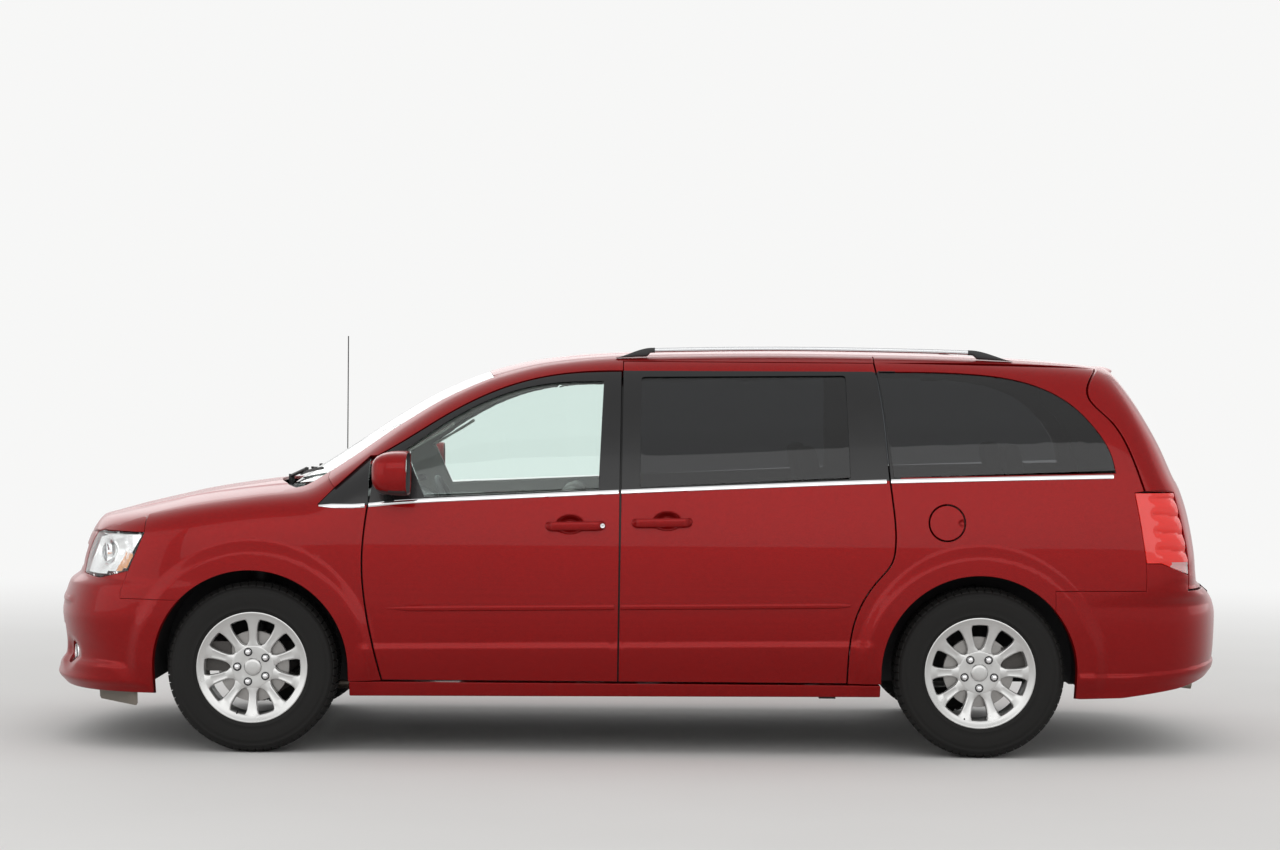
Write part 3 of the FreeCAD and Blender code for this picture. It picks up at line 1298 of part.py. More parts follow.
def make_front_seats():
    """Two front seats."""
    pieces = []
    for y in (400, -400):
        pieces += seat(ahead(-1150), y, FLOOR_Z + FLOOR_WALL, 250, 430)
    return Part.makeCompound(pieces)


def make_middle_seats():
    """Two middle seats."""
    pieces = []
    for y in (390, -390):
        pieces += seat(ahead(-2010), y, FLOOR_Z + FLOOR_WALL, 245, 440)
    return Part.makeCompound(pieces)


def make_rear_bench():
    """Rear bench on the raised floor."""
    top = REAR_FLOOR_Z + FLOOR_WALL + SEAT_GAP
    cushion = box(behind(-60), behind(400), -590, 590, top, top + 190)
    low = Vec(behind(0), 0, top + 190 + SEAT_GAP)
    high = Vec(behind(-170), 0, top + 640)
    back = leaning_box(low, high, 50, 580)
    heads = []
    for y in (-380, 380):
        heads.append(leaning_box(high + Vec(0, y, -10), high + Vec(-35, y, 160), 40, 125))
    return Part.makeCompound([cushion, fuse([back, *heads])])


def make_roof_rails():
    """Roof rails on their end feet."""
    y = 605.0

    def roof(x, up):
        """Point at a height above the roof under the rail."""
        sides = (-RAIL_HALF, RAIL_HALF)
        return (x, max(skin_height(x, y + dy, cabin_top, ROOF_POWER) for dy in sides) + up)

    foot = SEAT_GAP + 0.4
    outline = side_outline(
        [roof(98, foot), roof(20, 18), roof(-65, 34), roof(-220, 39), roof(-700, 39),
         roof(-1300, 40), roof(-1436, 38), roof(-1540, 20), roof(-1623, foot)],
        [roof(-1450, foot)],
        [roof(-1415, 16), roof(-700, 17), roof(-90, 16)], [roof(-55, foot)],
    )
    return side_prism(outline, y - RAIL_HALF, y + RAIL_HALF)


RAIL_HALF = 13.0


def square_section(at, half):
    """Square across Y round a point, as a section of a blade."""
    corners = [(-half, -half), (half, -half), (half, half), (-half, half), (-half, -half)]
    return Part.makePolygon([Vec(at.x + dx, at.y, at.z + dz) for dx, dz in corners])


def between_ends(a, b, t):
    """Value a share t of the way from a to b."""
    return a + (b - a) * t


def make_wipers():
    """Two wipers parked at the foot of the windscreen."""
    pieces = []
    for pivot_y, tip_y in ((60.0, 590.0), (-560.0, -40.0)):
        def over(y, up, dx=0.0):
            """Point at a height above the foot of the windscreen."""
            x = SCREEN_BASE_X + dx - BASE_SWEEP * y * y
            return Vec(x, y, skin_height(x, y, cabin_top, ROOF_POWER) + up)
        post = Vec(SCREEN_BASE_X + 22 - BASE_SWEEP * pivot_y**2, pivot_y, 0)
        foot_z = bonnet_top(post.x, pivot_y) - COWL_DEPTH + 3 * SEAT_GAP
        top = Vec(post.x, pivot_y, over(pivot_y, 24).z)
        foot = Part.makeCylinder(13, top.z + 8 - foot_z, Vec(post.x, pivot_y, foot_z))
        knee = over((pivot_y + tip_y) / 2, 29, -42)
        steps = [i / 6 for i in range(7)]
        blade = Part.makeLoft([square_section(over(between_ends(pivot_y + 40, tip_y, t), 17, -24 - 36 * t), 5)
                               for t in steps], True, True)
        middle = over((pivot_y + tip_y) / 2, 17, -42)
        arm = rod(top, knee, 8)
        clip = Part.makeCylinder(9, knee.z - middle.z + 8, Vec(middle.x, middle.y, middle.z - 2))
        pieces.append(fuse([foot, arm, blade, clip]))
    return Part.makeCompound(pieces)


def make_antenna():
    """Radio mast on the right front wing."""
    x, y = ahead(-217), -838.0
    z = skin_height(x, y, wing_top, BONNET_POWER)
    seat_z = max(skin_height(x + dx, y + dy, wing_top, BONNET_POWER)
                 for dx, dy in ((15, 0), (-15, 0), (0, 15), (0, -15), (-11, 11)))
    foot = Part.makeCone(15, 8, 24, Vec(x, y, seat_z + SEAT_GAP))
    mast = Part.makeCylinder(2.6, MAST_TOP_Z - z - 10, Vec(x, y, z + 10))
    return fuse([foot, mast])


MAST_TOP_Z = 1794.0


def build():
    """Makes every sub-part."""
    door, door_glass = make_front_doors()
    mirror = make_mirror()
    handle = make_handle(B_POST_X + 63, B_POST_X + 319, 955, 993)
    for name, shape in (("front_door", door), ("front_door_glass", door_glass),
                        ("door_mirror", mirror), ("front_handle", handle)):
        save(f"{name}_left", shape)
        save(f"{name}_right", mirrored(shape))
    slider, slider_glass = make_sliding_doors()
    save("sliding_doors", both(slider))
    save("sliding_door_handles", both(make_handle(B_POST_X - 304, B_POST_X - 45, 974, 1012)))
    quarter, quarter_glass = make_quarter_panels()
    left_quarter = quarter.cut(fuel_disc(FUEL_RADIUS + SHUT_GAP, -30, 30))
    save("quarter_panels", Part.makeCompound([left_quarter, mirrored(quarter)]))
    save("rear_side_glass", Part.makeCompound([slider_glass, mirrored(slider_glass),
                                               quarter_glass, mirrored(quarter_glass)]))
    post, sail = make_posts()
    save("pillar_covers", Part.makeCompound([post, mirrored(post), sail, mirrored(sail)]))
    save("cant_rails", both(make_cant_rails()))
    save("sills", both(make_sills()))
    save("front_wings", both(make_front_wings()))
    save("bonnet", make_bonnet())
    save("roof_panel", make_roof())
    save("windscreen", make_windscreen())
    cowl, bulkhead = make_cowl()
    save("cowl_panel", cowl)
    save("bulkhead", bulkhead)
    save("front_bumper", make_front_bumper())
    save("headlamps", both(make_headlamps()))
    upper, lower = make_grilles()
    save("grilles", Part.makeCompound([upper, lower]))
    save("rear_bumper", make_rear_bumper())
    save("tail_lamps", both(make_tail_lamps()))
    hatch, hatch_glass = make_hatch()
    save("hatch", hatch)
    save("hatch_glass", hatch_glass)
    save("fuel_door", make_fuel_door())
    save("underbody", make_underbody())
    save("floor_well", make_floor_well())
    front_housing, rear_housing = make_housings()
    save("wheel_housings", Part.makeCompound([*both(front_housing).Solids, *both(rear_housing).Solids]))
    save("front_structure", make_front_structure())
    frame, struts = make_front_suspension()
    save("front_subframe", frame)
    save("front_struts", struts)
    save("rear_axle", make_rear_axle())
    save("engine", make_engine())
    save("exhaust", make_exhaust())
    save("dashboard", make_dashboard())
    save("steering_wheel", make_steering_wheel())
    save("front_seats", make_front_seats())
    save("middle_seats", make_middle_seats())
    save("rear_bench", make_rear_bench())
    save("roof_rails", both(make_roof_rails()))
    save("wipers", make_wipers())
    save("antenna", make_antenna())
    knuckle = make_knuckle()
    save("knuckle_left", knuckle)
    save("knuckle_right", mirrored(knuckle))
    tyre = make_tyre()
    for end, axle_x, turn in (("front", FRONT_AXLE_X, 0), ("rear", REAR_AXLE_X, 18)):
        alloy, disc = make_alloy(turn)
        for name, side in (("left", 1), ("right", -1)):
            save(f"{end}_{name}_tyre", placed(tyre, axle_x, side))
            save(f"{end}_{name}_wheel", Part.makeCompound([placed(alloy, axle_x, side),
                                                           placed(disc, axle_x, side)]))


if __name__ == "__main__":
    build()
    os.makedirs("parts", exist_ok=True)
    for name, shape in parts.items():
        shape.exportStep(f"parts/{name}.step")
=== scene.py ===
"""Dresses the minivan: painted panels, glass, wheels, lamps, trim and cabin.

Lengths are written in millimetres and turned to metres where a mesh is made. X runs
forward, Y to the vehicle's left and Z up, as in the solid model.
"""

from __future__ import annotations

import logging
import math
import time
from dataclasses import dataclass, field
from enum import Enum
from functools import cached_property
from typing import Callable, Sequence

import bmesh
import bpy
import numpy as np
from mathutils import Matrix, Vector, geometry
from mathutils.kdtree import KDTree


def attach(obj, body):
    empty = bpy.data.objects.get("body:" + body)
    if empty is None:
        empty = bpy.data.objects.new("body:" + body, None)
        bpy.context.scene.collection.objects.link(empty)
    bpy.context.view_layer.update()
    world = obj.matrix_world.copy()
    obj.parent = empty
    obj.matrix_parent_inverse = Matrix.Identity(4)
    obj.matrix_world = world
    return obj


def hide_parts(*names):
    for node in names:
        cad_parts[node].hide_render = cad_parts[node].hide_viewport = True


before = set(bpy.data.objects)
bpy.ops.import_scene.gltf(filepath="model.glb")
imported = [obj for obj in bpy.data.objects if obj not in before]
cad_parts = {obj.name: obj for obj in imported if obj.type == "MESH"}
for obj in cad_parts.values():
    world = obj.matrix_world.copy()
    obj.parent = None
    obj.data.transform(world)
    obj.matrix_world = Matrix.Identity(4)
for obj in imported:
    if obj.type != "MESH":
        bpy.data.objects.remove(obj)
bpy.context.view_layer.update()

logging.basicConfig(level=logging.INFO, format="%(message)s")
LOG = logging.getLogger("minivan")

Array = np.ndarray
Skin = Callable[[Array, Array, Array | float], Array]
MM = 0.001
FORWARD = (1.0, 0.0, 0.0)
BACKWARD = (-1.0, 0.0, 0.0)
UPWARD = (0.0, 0.0, 1.0)

LENGTH = 5144.0
NOSE_X = LENGTH / 2
TAIL_X = -LENGTH / 2
FRONT_AXLE_X = NOSE_X - 950.0
REAR_AXLE_X = FRONT_AXLE_X - 3078.0
AXLE_Z = 361.0
TRACK = 1666.0
ARCH_RADIUS = 414.0
ARCH_SHIFT = 6.0
FLARE_RADIUS = 545.0
FLARE_RISE = 22.0
FLARE_RAMP = 62.0
B_POST_X = 68.0
C_POST_TOP_X = -1015.0
SILL_TOP_Z = 312.0
SHUT_GAP = 6.0
ROOF_EDGE_Y = 592.0
HATCH_X = TAIL_X + 587.0
FLOOR_TOP_Z = 292.0


def ahead(dx: float) -> float:
    """X at a distance from the front axle."""
    return FRONT_AXLE_X + dx


def behind(dx: float) -> float:
    """X at a distance from the rear axle."""
    return REAR_AXLE_X + dx


SCREEN_TOP_X = ahead(-957)
BONNET_REAR_X = ahead(-22)


class Side(Enum):
    """The vehicle's two sides, by the sign of Y."""

    LEFT = 1
    RIGHT = -1

    @property
    def word(self) -> str:
        """The side's name as it stands in a piece's name."""
        return self.name.lower()


class Profile:
    """Smooth curve through (t, value) points that never overshoots them."""

    def __init__(self, points: Sequence[tuple[float, float]]) -> None:
        """Keeps the points and works out the slopes at them."""
        self.t = np.array([p[0] for p in points], float)
        self.v = np.array([p[1] for p in points], float)
        steps = np.diff(self.v) / np.diff(self.t)
        a, b = steps[:-1], steps[1:]
        same = a * b > 0
        inner = np.where(same, 2 * a * b / np.where(same, a + b, 1.0), 0.0)
        self.slope = np.concatenate([[steps[0]], inner, [steps[-1]]])

    def __call__(self, t: Array | float) -> Array:
        """Value at t, held at the ends."""
        t = np.clip(t, self.t[0], self.t[-1])
        i = np.clip(np.searchsorted(self.t, t, side="right") - 1, 0, len(self.t) - 2)
        h = self.t[i + 1] - self.t[i]
        s = (t - self.t[i]) / h
        return (self.v[i] * (1 + 2 * s) * (1 - s) ** 2 + self.slope[i] * h * s * (1 - s) ** 2
                + self.v[i + 1] * s * s * (3 - 2 * s) + self.slope[i + 1] * h * s * s * (s - 1))


def ease(t: Array | float) -> Array:
    """Smooth step from 0 to 1."""
    t = np.clip(t, 0.0, 1.0)
    return t * t * (3 - 2 * t)


def solve(f: Callable[[Array], Array], low: Array | float, high: Array | float, count: int) -> Array:
    """Where a rising f crosses zero.

    Args:
        f: a rising function of an array.
        low: where the search starts.
        high: where it ends.
        count: how many values are looked for at once.

    Returns:
        The crossings.
    """
    a = np.zeros(count) + low
    b = np.zeros(count) + high
    for _ in range(26):
        mid = (a + b) / 2
        under = f(mid) < 0
        a = np.where(under, mid, a)
        b = np.where(under, b, mid)
    return (a + b) / 2


class BodyForm:
    """The one body form that every outer panel is cut from."""

    half = 973.0
    belt_z = 1110.0
    belt_rake = 0.044
    widest_z = 620.0
    nose_start = 600.0
    tail_start = -700.0
    crown = 48.0
    crown_reach = 490.0
    tuck = 42.0
    tuck_reach = 370.0
    narrowing = 46.0
    narrowing_reach = 1800.0
    bonnet_crown = 46.0
    roof_crown = 24.0
    rounding_z = 600.0
    roof_power = 16.0
    bonnet_power = 13.0
    fan_z = 1400.0
    fan_y = 250.0
    fan_drop = 260.0
    low_z = 236.0
    tail_fan_z = 1420.0
    nose = Profile([
        (200, 150), (250, 20), (280, 0), (320, 10), (420, 22), (500, 16), (560, 10), (620, 20),
        (690, 42), (735, 92), (800, 104), (884, 130), (950, 165), (1000, 200), (1150, 320)])
    tail = Profile([
        (230, 60), (330, 29), (360, 15), (448, 4), (587, 0), (640, 10), (680, 40), (711, 80),
        (740, 118), (781, 128), (842, 132), (1013, 160), (1129, 194), (1200, 228), (1325, 282),
        (1463, 357), (1560, 420), (1640, 480), (1720, 560)])
    bonnet = Profile([
        (-400, 1165), (-46, 1140), (126, 1118), (299, 1090), (450, 1056), (600, 1020),
        (707, 990), (830, 955), (950, 900)])
    cabin = Profile([
        (-4100, 1575), (-3752, 1650), (-3622, 1672), (-3322, 1700), (-2822, 1722), (-2222, 1728),
        (-1622, 1718), (-1422, 1708), (-1192, 1683), (-972, 1632), (-752, 1545), (-532, 1420),
        (-313, 1275), (-172, 1186), (-60, 1108), (60, 1010)])

    def belt(self, x: Array | float) -> Array:
        """Height of the belt line."""
        return self.belt_z - self.belt_rake * x

    def flare(self, x: Array, z: Array) -> Array:
        """How far the arch flares stand out."""
        rise = np.zeros(np.broadcast(x, z).shape)
        for axle in (FRONT_AXLE_X, REAR_AXLE_X):
            r = np.hypot(x - axle, z - AXLE_Z)
            low = ease((z - AXLE_Z + 140.0) / 160.0)
            rise = rise + FLARE_RISE * low * ease((FLARE_RADIUS - r) / FLARE_RAMP)
        return rise

    def half_width(self, x: Array, z: Array, depth: Array | float) -> Array:
        """Half width of the form, at a depth under its skin."""
        top = self.belt(x)
        lean = (top - self.widest_z) / self.crown_reach
        up = np.maximum(z - top, 0.0)
        above = self.half - self.crown * lean * lean - 0.26 * up - 0.00022 * up * up
        mid = self.half - self.crown * ((z - self.widest_z) / self.crown_reach) ** 2
        under = self.half - self.tuck * (np.maximum(0.0, self.widest_z - z) / self.tuck_reach) ** 2.2
        y = np.where(z > top, above, np.where(z > self.widest_z, mid, under))
        y = y - self.narrowing * (np.maximum(0.0, self.tail_start - x) / self.narrowing_reach) ** 2
        y = y + self.flare(x, z) - depth
        nose = NOSE_X - self.nose(z) - depth
        s = np.clip((x - self.nose_start) / (nose - self.nose_start), 0.0, 1.0)
        front = (1 - s**9) ** (1 / 2.2)
        tail = TAIL_X + self.tail(z) + depth
        s = np.clip((x - self.tail_start) / (tail - self.tail_start), 0.0, 1.0)
        square = ease((z - 640.0) / 140.0)
        rear = (1 - s ** (12 + 18 * square)) ** (1 / (2.3 + 0.3 * square))
        ends = np.where(x > self.nose_start, front, np.where(x < self.tail_start, rear, 1.0))
        return np.maximum(0.0, y) * ends

    def bonnet_top(self, x: Array, y: Array) -> Array:
        """Height of the bonnet."""
        return self.bonnet(x - FRONT_AXLE_X) - self.bonnet_crown * (y / 800.0) ** 2

    def cabin_top(self, x: Array, y: Array) -> Array:
        """Height of the windscreen and roof."""
        return self.cabin(x + 1.7e-4 * y * y - FRONT_AXLE_X) - self.roof_crown * (y / 620.0) ** 2

    def wing_top(self, x: Array, y: Array) -> Array:
        """Height of the wing tops."""
        a, b = self.bonnet_top(x, y), self.cabin_top(x, y)
        return (a + b + np.hypot(a - b, 24.0)) / 2

    def on_skin(self, start: Array, way: Array, top: Callable, power: float, depth: Array | float) -> Array:
        """Where rays from inside meet the form.

        Args:
            start: the rays' starting points.
            way: their unit directions.
            top: the height function that closes the form.
            power: how squarely the sides meet that top.
            depth: depth below the skin, one number or one for each ray.

        Returns:
            The points met.
        """
        near = np.zeros(len(start))
        far = np.full(len(start), 3600.0)
        for _ in range(27):
            mid = (near + far) / 2
            p = start + way * mid[:, None]
            width = self.half_width(p[:, 0], p[:, 2], depth)
            g = (np.abs(p[:, 1]) / np.maximum(width, 1.0)) ** power
            rise = np.maximum(1.0, top(p[:, 0], p[:, 1]) - depth - self.rounding_z)
            up = np.maximum(p[:, 2] - self.rounding_z, 0.0)
            inside = (g + (up / rise) ** power < 1) & (width >= 1)
            near = np.where(inside, mid, near)
            far = np.where(inside, far, mid)
        return start + way * near[:, None]


FORM = BodyForm()
ROW = 1100.0
NOSE_ROW = 950.0
TAIL_ROW = 1050.0


def column(*parts: Array | float) -> Array:
    """Stacks coordinates into an array of points."""
    return np.stack(np.broadcast_arrays(*parts), axis=-1).astype(float)


def fan_height(top: Callable, x: Array, like: Array) -> Array:
    """Height at which the rows of a side begin to turn over the shoulder."""
    return np.minimum(FORM.fan_z, top(x, np.full_like(like, FORM.fan_y)) - FORM.fan_drop)


def around(top: Callable, power: float) -> Skin:
    """Skin of one side by x and a row that climbs it and turns over the shoulder."""

    def skin(x: Array, w: Array, depth: Array | float) -> Array:
        """Points at x, a row and a depth."""
        v = np.asarray(w, float) / ROW
        fan = fan_height(top, x, v)
        turn = np.maximum(v - 1, 0.0) * math.pi / 2
        flat = v <= 1
        height = np.where(flat, FORM.low_z + (fan - FORM.low_z) * v, fan)
        start = column(x, np.where(flat, 0.0, FORM.fan_y), height)
        way = column(np.zeros_like(v), np.where(flat, 1.0, np.cos(turn)), np.where(flat, 0.0, np.sin(turn)))
        return FORM.on_skin(start, way, top, power, depth)

    return skin


def over(top: Callable, power: float) -> Skin:
    """Skin of a top panel by x and y."""

    def skin(x: Array, y: Array, depth: Array | float) -> Array:
        """Points at x, y and a depth."""
        start = column(x, y, np.full_like(np.asarray(x, float), FORM.rounding_z))
        return FORM.on_skin(start, np.broadcast_to([0.0, 0.0, 1.0], start.shape), top, power, depth)

    return skin


def nose_skin(w: Array, z: Array, depth: Array | float) -> Array:
    """Skin of the front by a turn round the engine bay, in rows, and height."""
    turn = np.asarray(w, float) / NOSE_ROW
    start = column(FRONT_AXLE_X, 0.0, z)
    way = column(np.cos(turn), np.sin(turn), 0.0)
    return FORM.on_skin(start, way, FORM.bonnet_top, FORM.bonnet_power, depth)


def tail_skin(w: Array, v: Array, depth: Array | float) -> Array:
    """Skin of the tail by a turn, in rows, and height, which becomes a turn to the roof."""
    turn = np.asarray(w, float) / TAIL_ROW
    rise = np.maximum(0.0, np.asarray(v, float) - FORM.tail_fan_z) / 500.0
    start = column(REAR_AXLE_X, 0.0, np.minimum(v, FORM.tail_fan_z))
    way = column(-np.cos(turn) * np.cos(rise), np.sin(turn) * np.cos(rise), np.sin(rise))
    return FORM.on_skin(start, way, FORM.cabin_top, FORM.roof_power, depth)


CABIN_SIDE = around(FORM.cabin_top, FORM.roof_power)
WING_SIDE = around(FORM.wing_top, FORM.bonnet_power)
ROOF_SKIN = over(FORM.cabin_top, FORM.roof_power)
BONNET_SKIN = over(FORM.bonnet_top, FORM.bonnet_power)


def smooth(points: Sequence[tuple[float, float]], step: float = 14.0) -> Array:
    """Points about a step apart on the smooth curve through the given ones."""
    p = np.array(points, float)
    if len(p) == 2:
        n = max(2, int(np.hypot(*(p[1] - p[0])) / step) + 1)
        return p[0] + (p[1] - p[0]) * np.linspace(0, 1, n)[:, None]
    t = np.concatenate([[0], np.cumsum(np.hypot(*np.diff(p, axis=0).T))])
    h = np.diff(t)
    n = len(p)
    a = np.eye(n)
    b = np.zeros((n, 2))
    for i in range(1, n - 1):
        a[i, i - 1:i + 2] = h[i - 1], 2 * (h[i - 1] + h[i]), h[i]
        b[i] = 6 * ((p[i + 1] - p[i]) / h[i] - (p[i] - p[i - 1]) / h[i - 1])
    m = np.linalg.solve(a, b)
    q = np.linspace(0, t[-1], max(3, int(t[-1] / step) + 1))
    i = np.clip(np.searchsorted(t, q, side="right") - 1, 0, n - 2)
    l, r = (t[i + 1] - q)[:, None], (q - t[i])[:, None]
    k = h[i][:, None]
    return ((m[i] * l**3 + m[i + 1] * r**3) / (6 * k) + (p[i] / k - m[i] * k / 6) * l
            + (p[i + 1] / k - m[i + 1] * k / 6) * r)


def turns(count: int) -> Array:
    """Angles evenly round a circle."""
    return np.linspace(0, 2 * math.pi, count, endpoint=False)


def circle(centre: tuple[float, float], radius: float, count: int = 60) -> Array:
    """Points evenly round a circle."""
    t = turns(count)
    return column(centre[0] + radius * np.cos(t), centre[1] + radius * np.sin(t))


def squarish(count: int, power: float) -> list[tuple[float, float]]:
    """Points round a unit circle drawn out towards a square's corners."""
    c, s = np.cos(turns(count)), np.sin(turns(count))
    return list(zip(np.sign(c) * np.abs(c) ** power, np.sign(s) * np.abs(s) ** power))


def loop(*runs: Array, step: float = 14.0) -> Array:
    """Closed outline from runs of points, with straight runs over the gaps."""
    out: list[Array] = []
    for i, run in enumerate(runs):
        run = np.atleast_2d(np.array(run, float))
        following = np.atleast_2d(np.array(runs[(i + 1) % len(runs)], float))[0]
        out.extend(run)
        gap = following - run[-1]
        n = int(np.hypot(*gap) / step)
        out.extend(run[-1] + gap * k / (n + 1) for k in range(1, n + 1))
    pts = np.array(out)
    keep = np.hypot(*(pts - np.roll(pts, 1, axis=0)).T) > 0.4
    return pts[keep]


def rounded(corners: Sequence[tuple[float, float]], radius: float, step: float = 14.0) -> Array:
    """Closed outline with its corners rounded."""
    runs = []
    pts = np.array(corners, float)
    for i, p in enumerate(pts):
        a = pts[i - 1] - p
        b = pts[(i + 1) % len(pts)] - p
        la, lb = np.hypot(*a), np.hypot(*b)
        r = min(radius, la * 0.45, lb * 0.45)
        s, e = p + a / la * r, p + b / lb * r
        t = np.linspace(0, 1, 6)[:, None]
        runs.append(s * (1 - t) ** 2 + 2 * p * t * (1 - t) + e * t * t)
    return loop(*runs, step=step)


def side_rows(skin: Skin, points: Array) -> Array:
    """Turns (x, z) points on a side into the skin's own (x, row)."""
    x, z = points[:, 0], points[:, 1]
    w = solve(lambda v: skin(x, v, 0.0)[:, 2] - z, -60.0, ROW * 1.9, len(points))
    return column(x, w)


def reach_rows(skin: Skin, x: Array, y: Array | float) -> Array:
    """Rows over the shoulder where the skin stands at a distance y from the middle."""
    w = solve(lambda v: y - skin(x, v, 0.0)[:, 1], ROW, ROW * 2, len(x))
    return column(x, w)


def area_of(outline: Array) -> float:
    """Signed area of a closed outline."""
    x, y = outline[:, 0], outline[:, 1]
    return float(np.sum(x * np.roll(y, -1) - np.roll(x, -1) * y) / 2)


def inside(points: Array, outline: Array) -> Array:
    """Which points lie within a closed outline."""
    x, y = points[:, 0][:, None], points[:, 1][:, None]
    x0, y0 = outline[:, 0], outline[:, 1]
    x1, y1 = np.roll(x0, -1), np.roll(y0, -1)
    crosses = (y0 > y) != (y1 > y)
    where = x0 + (y - y0) * (x1 - x0) / np.where(y1 == y0, 1e-9, y1 - y0)
    return (np.sum(crosses & (x < where), axis=1) % 2) == 1


def within(points: Array, rings: Sequence[Array]) -> Array:
    """Which points lie inside the first outline and outside the others."""
    keep = inside(points, rings[0])
    for hole in rings[1:]:
        keep &= ~inside(points, hole)
    return keep


def nearest(points: Array, others: Array) -> Array:
    """Distance from each point to the nearest of some others."""
    tree = KDTree(len(others))
    for i, p in enumerate(others):
        tree.insert((p[0], p[1], 0.0), i)
    tree.balance()
    return np.array([tree.find((p[0], p[1], 0.0))[2] for p in points])


def drawn_in(outline: Array, gap: float) -> Array:
    """Closed outline moved towards its inside, vertex by vertex."""
    sign = 1.0 if area_of(outline) > 0 else -1.0
    after, before = np.roll(outline, -1, axis=0) - outline, outline - np.roll(outline, 1, axis=0)
    a = after / np.maximum(np.hypot(*after.T), 1e-6)[:, None]
    b = before / np.maximum(np.hypot(*before.T), 1e-6)[:, None]
    way = (column(-a[:, 1], a[:, 0]) + column(-b[:, 1], b[:, 0])) * sign
    size = np.maximum(np.hypot(*way.T), 0.5)
    return outline + way / size[:, None] * (gap * np.minimum(2 / size, 1.8))[:, None]


def densified(points: Array, step: float = 14.0) -> Array:
    """Points along an open run, no more than a step apart."""
    out = [points[0]]
    for a, b in zip(points[:-1], points[1:]):
        n = max(1, int(np.hypot(*(b - a)) / step))
        out += [a + (b - a) * k / n for k in range(1, n + 1)]
    return np.array(out)


def side_open(outline: Array, last: tuple[float, float]) -> Array:
    """A closed outline cut open after one of its points."""
    i = int(np.argmin(np.hypot(*(outline - np.array(last)).T)))
    return outline[: i + 1]


def new_object(name: str, verts: Array, faces: Sequence, materials: Sequence[bpy.types.Material],
               slots: Array | None = None, normals: Array | None = None) -> bpy.types.Object:
    """Makes a shaded mesh object from millimetre points.

    Args:
        name: the piece's name.
        verts: its points, in millimetres.
        faces: its faces, as runs of point numbers.
        materials: its materials.
        slots: the material of each face.
        normals: a normal for each point, zero where it is left to the mesh.

    Returns:
        The object, in metres.
    """
    mesh = bpy.data.meshes.new(name)
    mesh.from_pydata((np.asarray(verts) * MM).tolist(), [], [list(map(int, f)) for f in faces])
    for material in materials:
        mesh.materials.append(material)
    mesh.polygons.foreach_set("use_smooth", [True] * len(mesh.polygons))
    if slots is not None:
        mesh.polygons.foreach_set("material_index", np.asarray(slots, np.int32))
    mesh.update()
    if normals is not None:
        mesh.normals_split_custom_set_from_vertices(np.asarray(normals, float).tolist())
    obj = bpy.data.objects.new(name, mesh)
    bpy.context.scene.collection.objects.link(obj)
    return obj


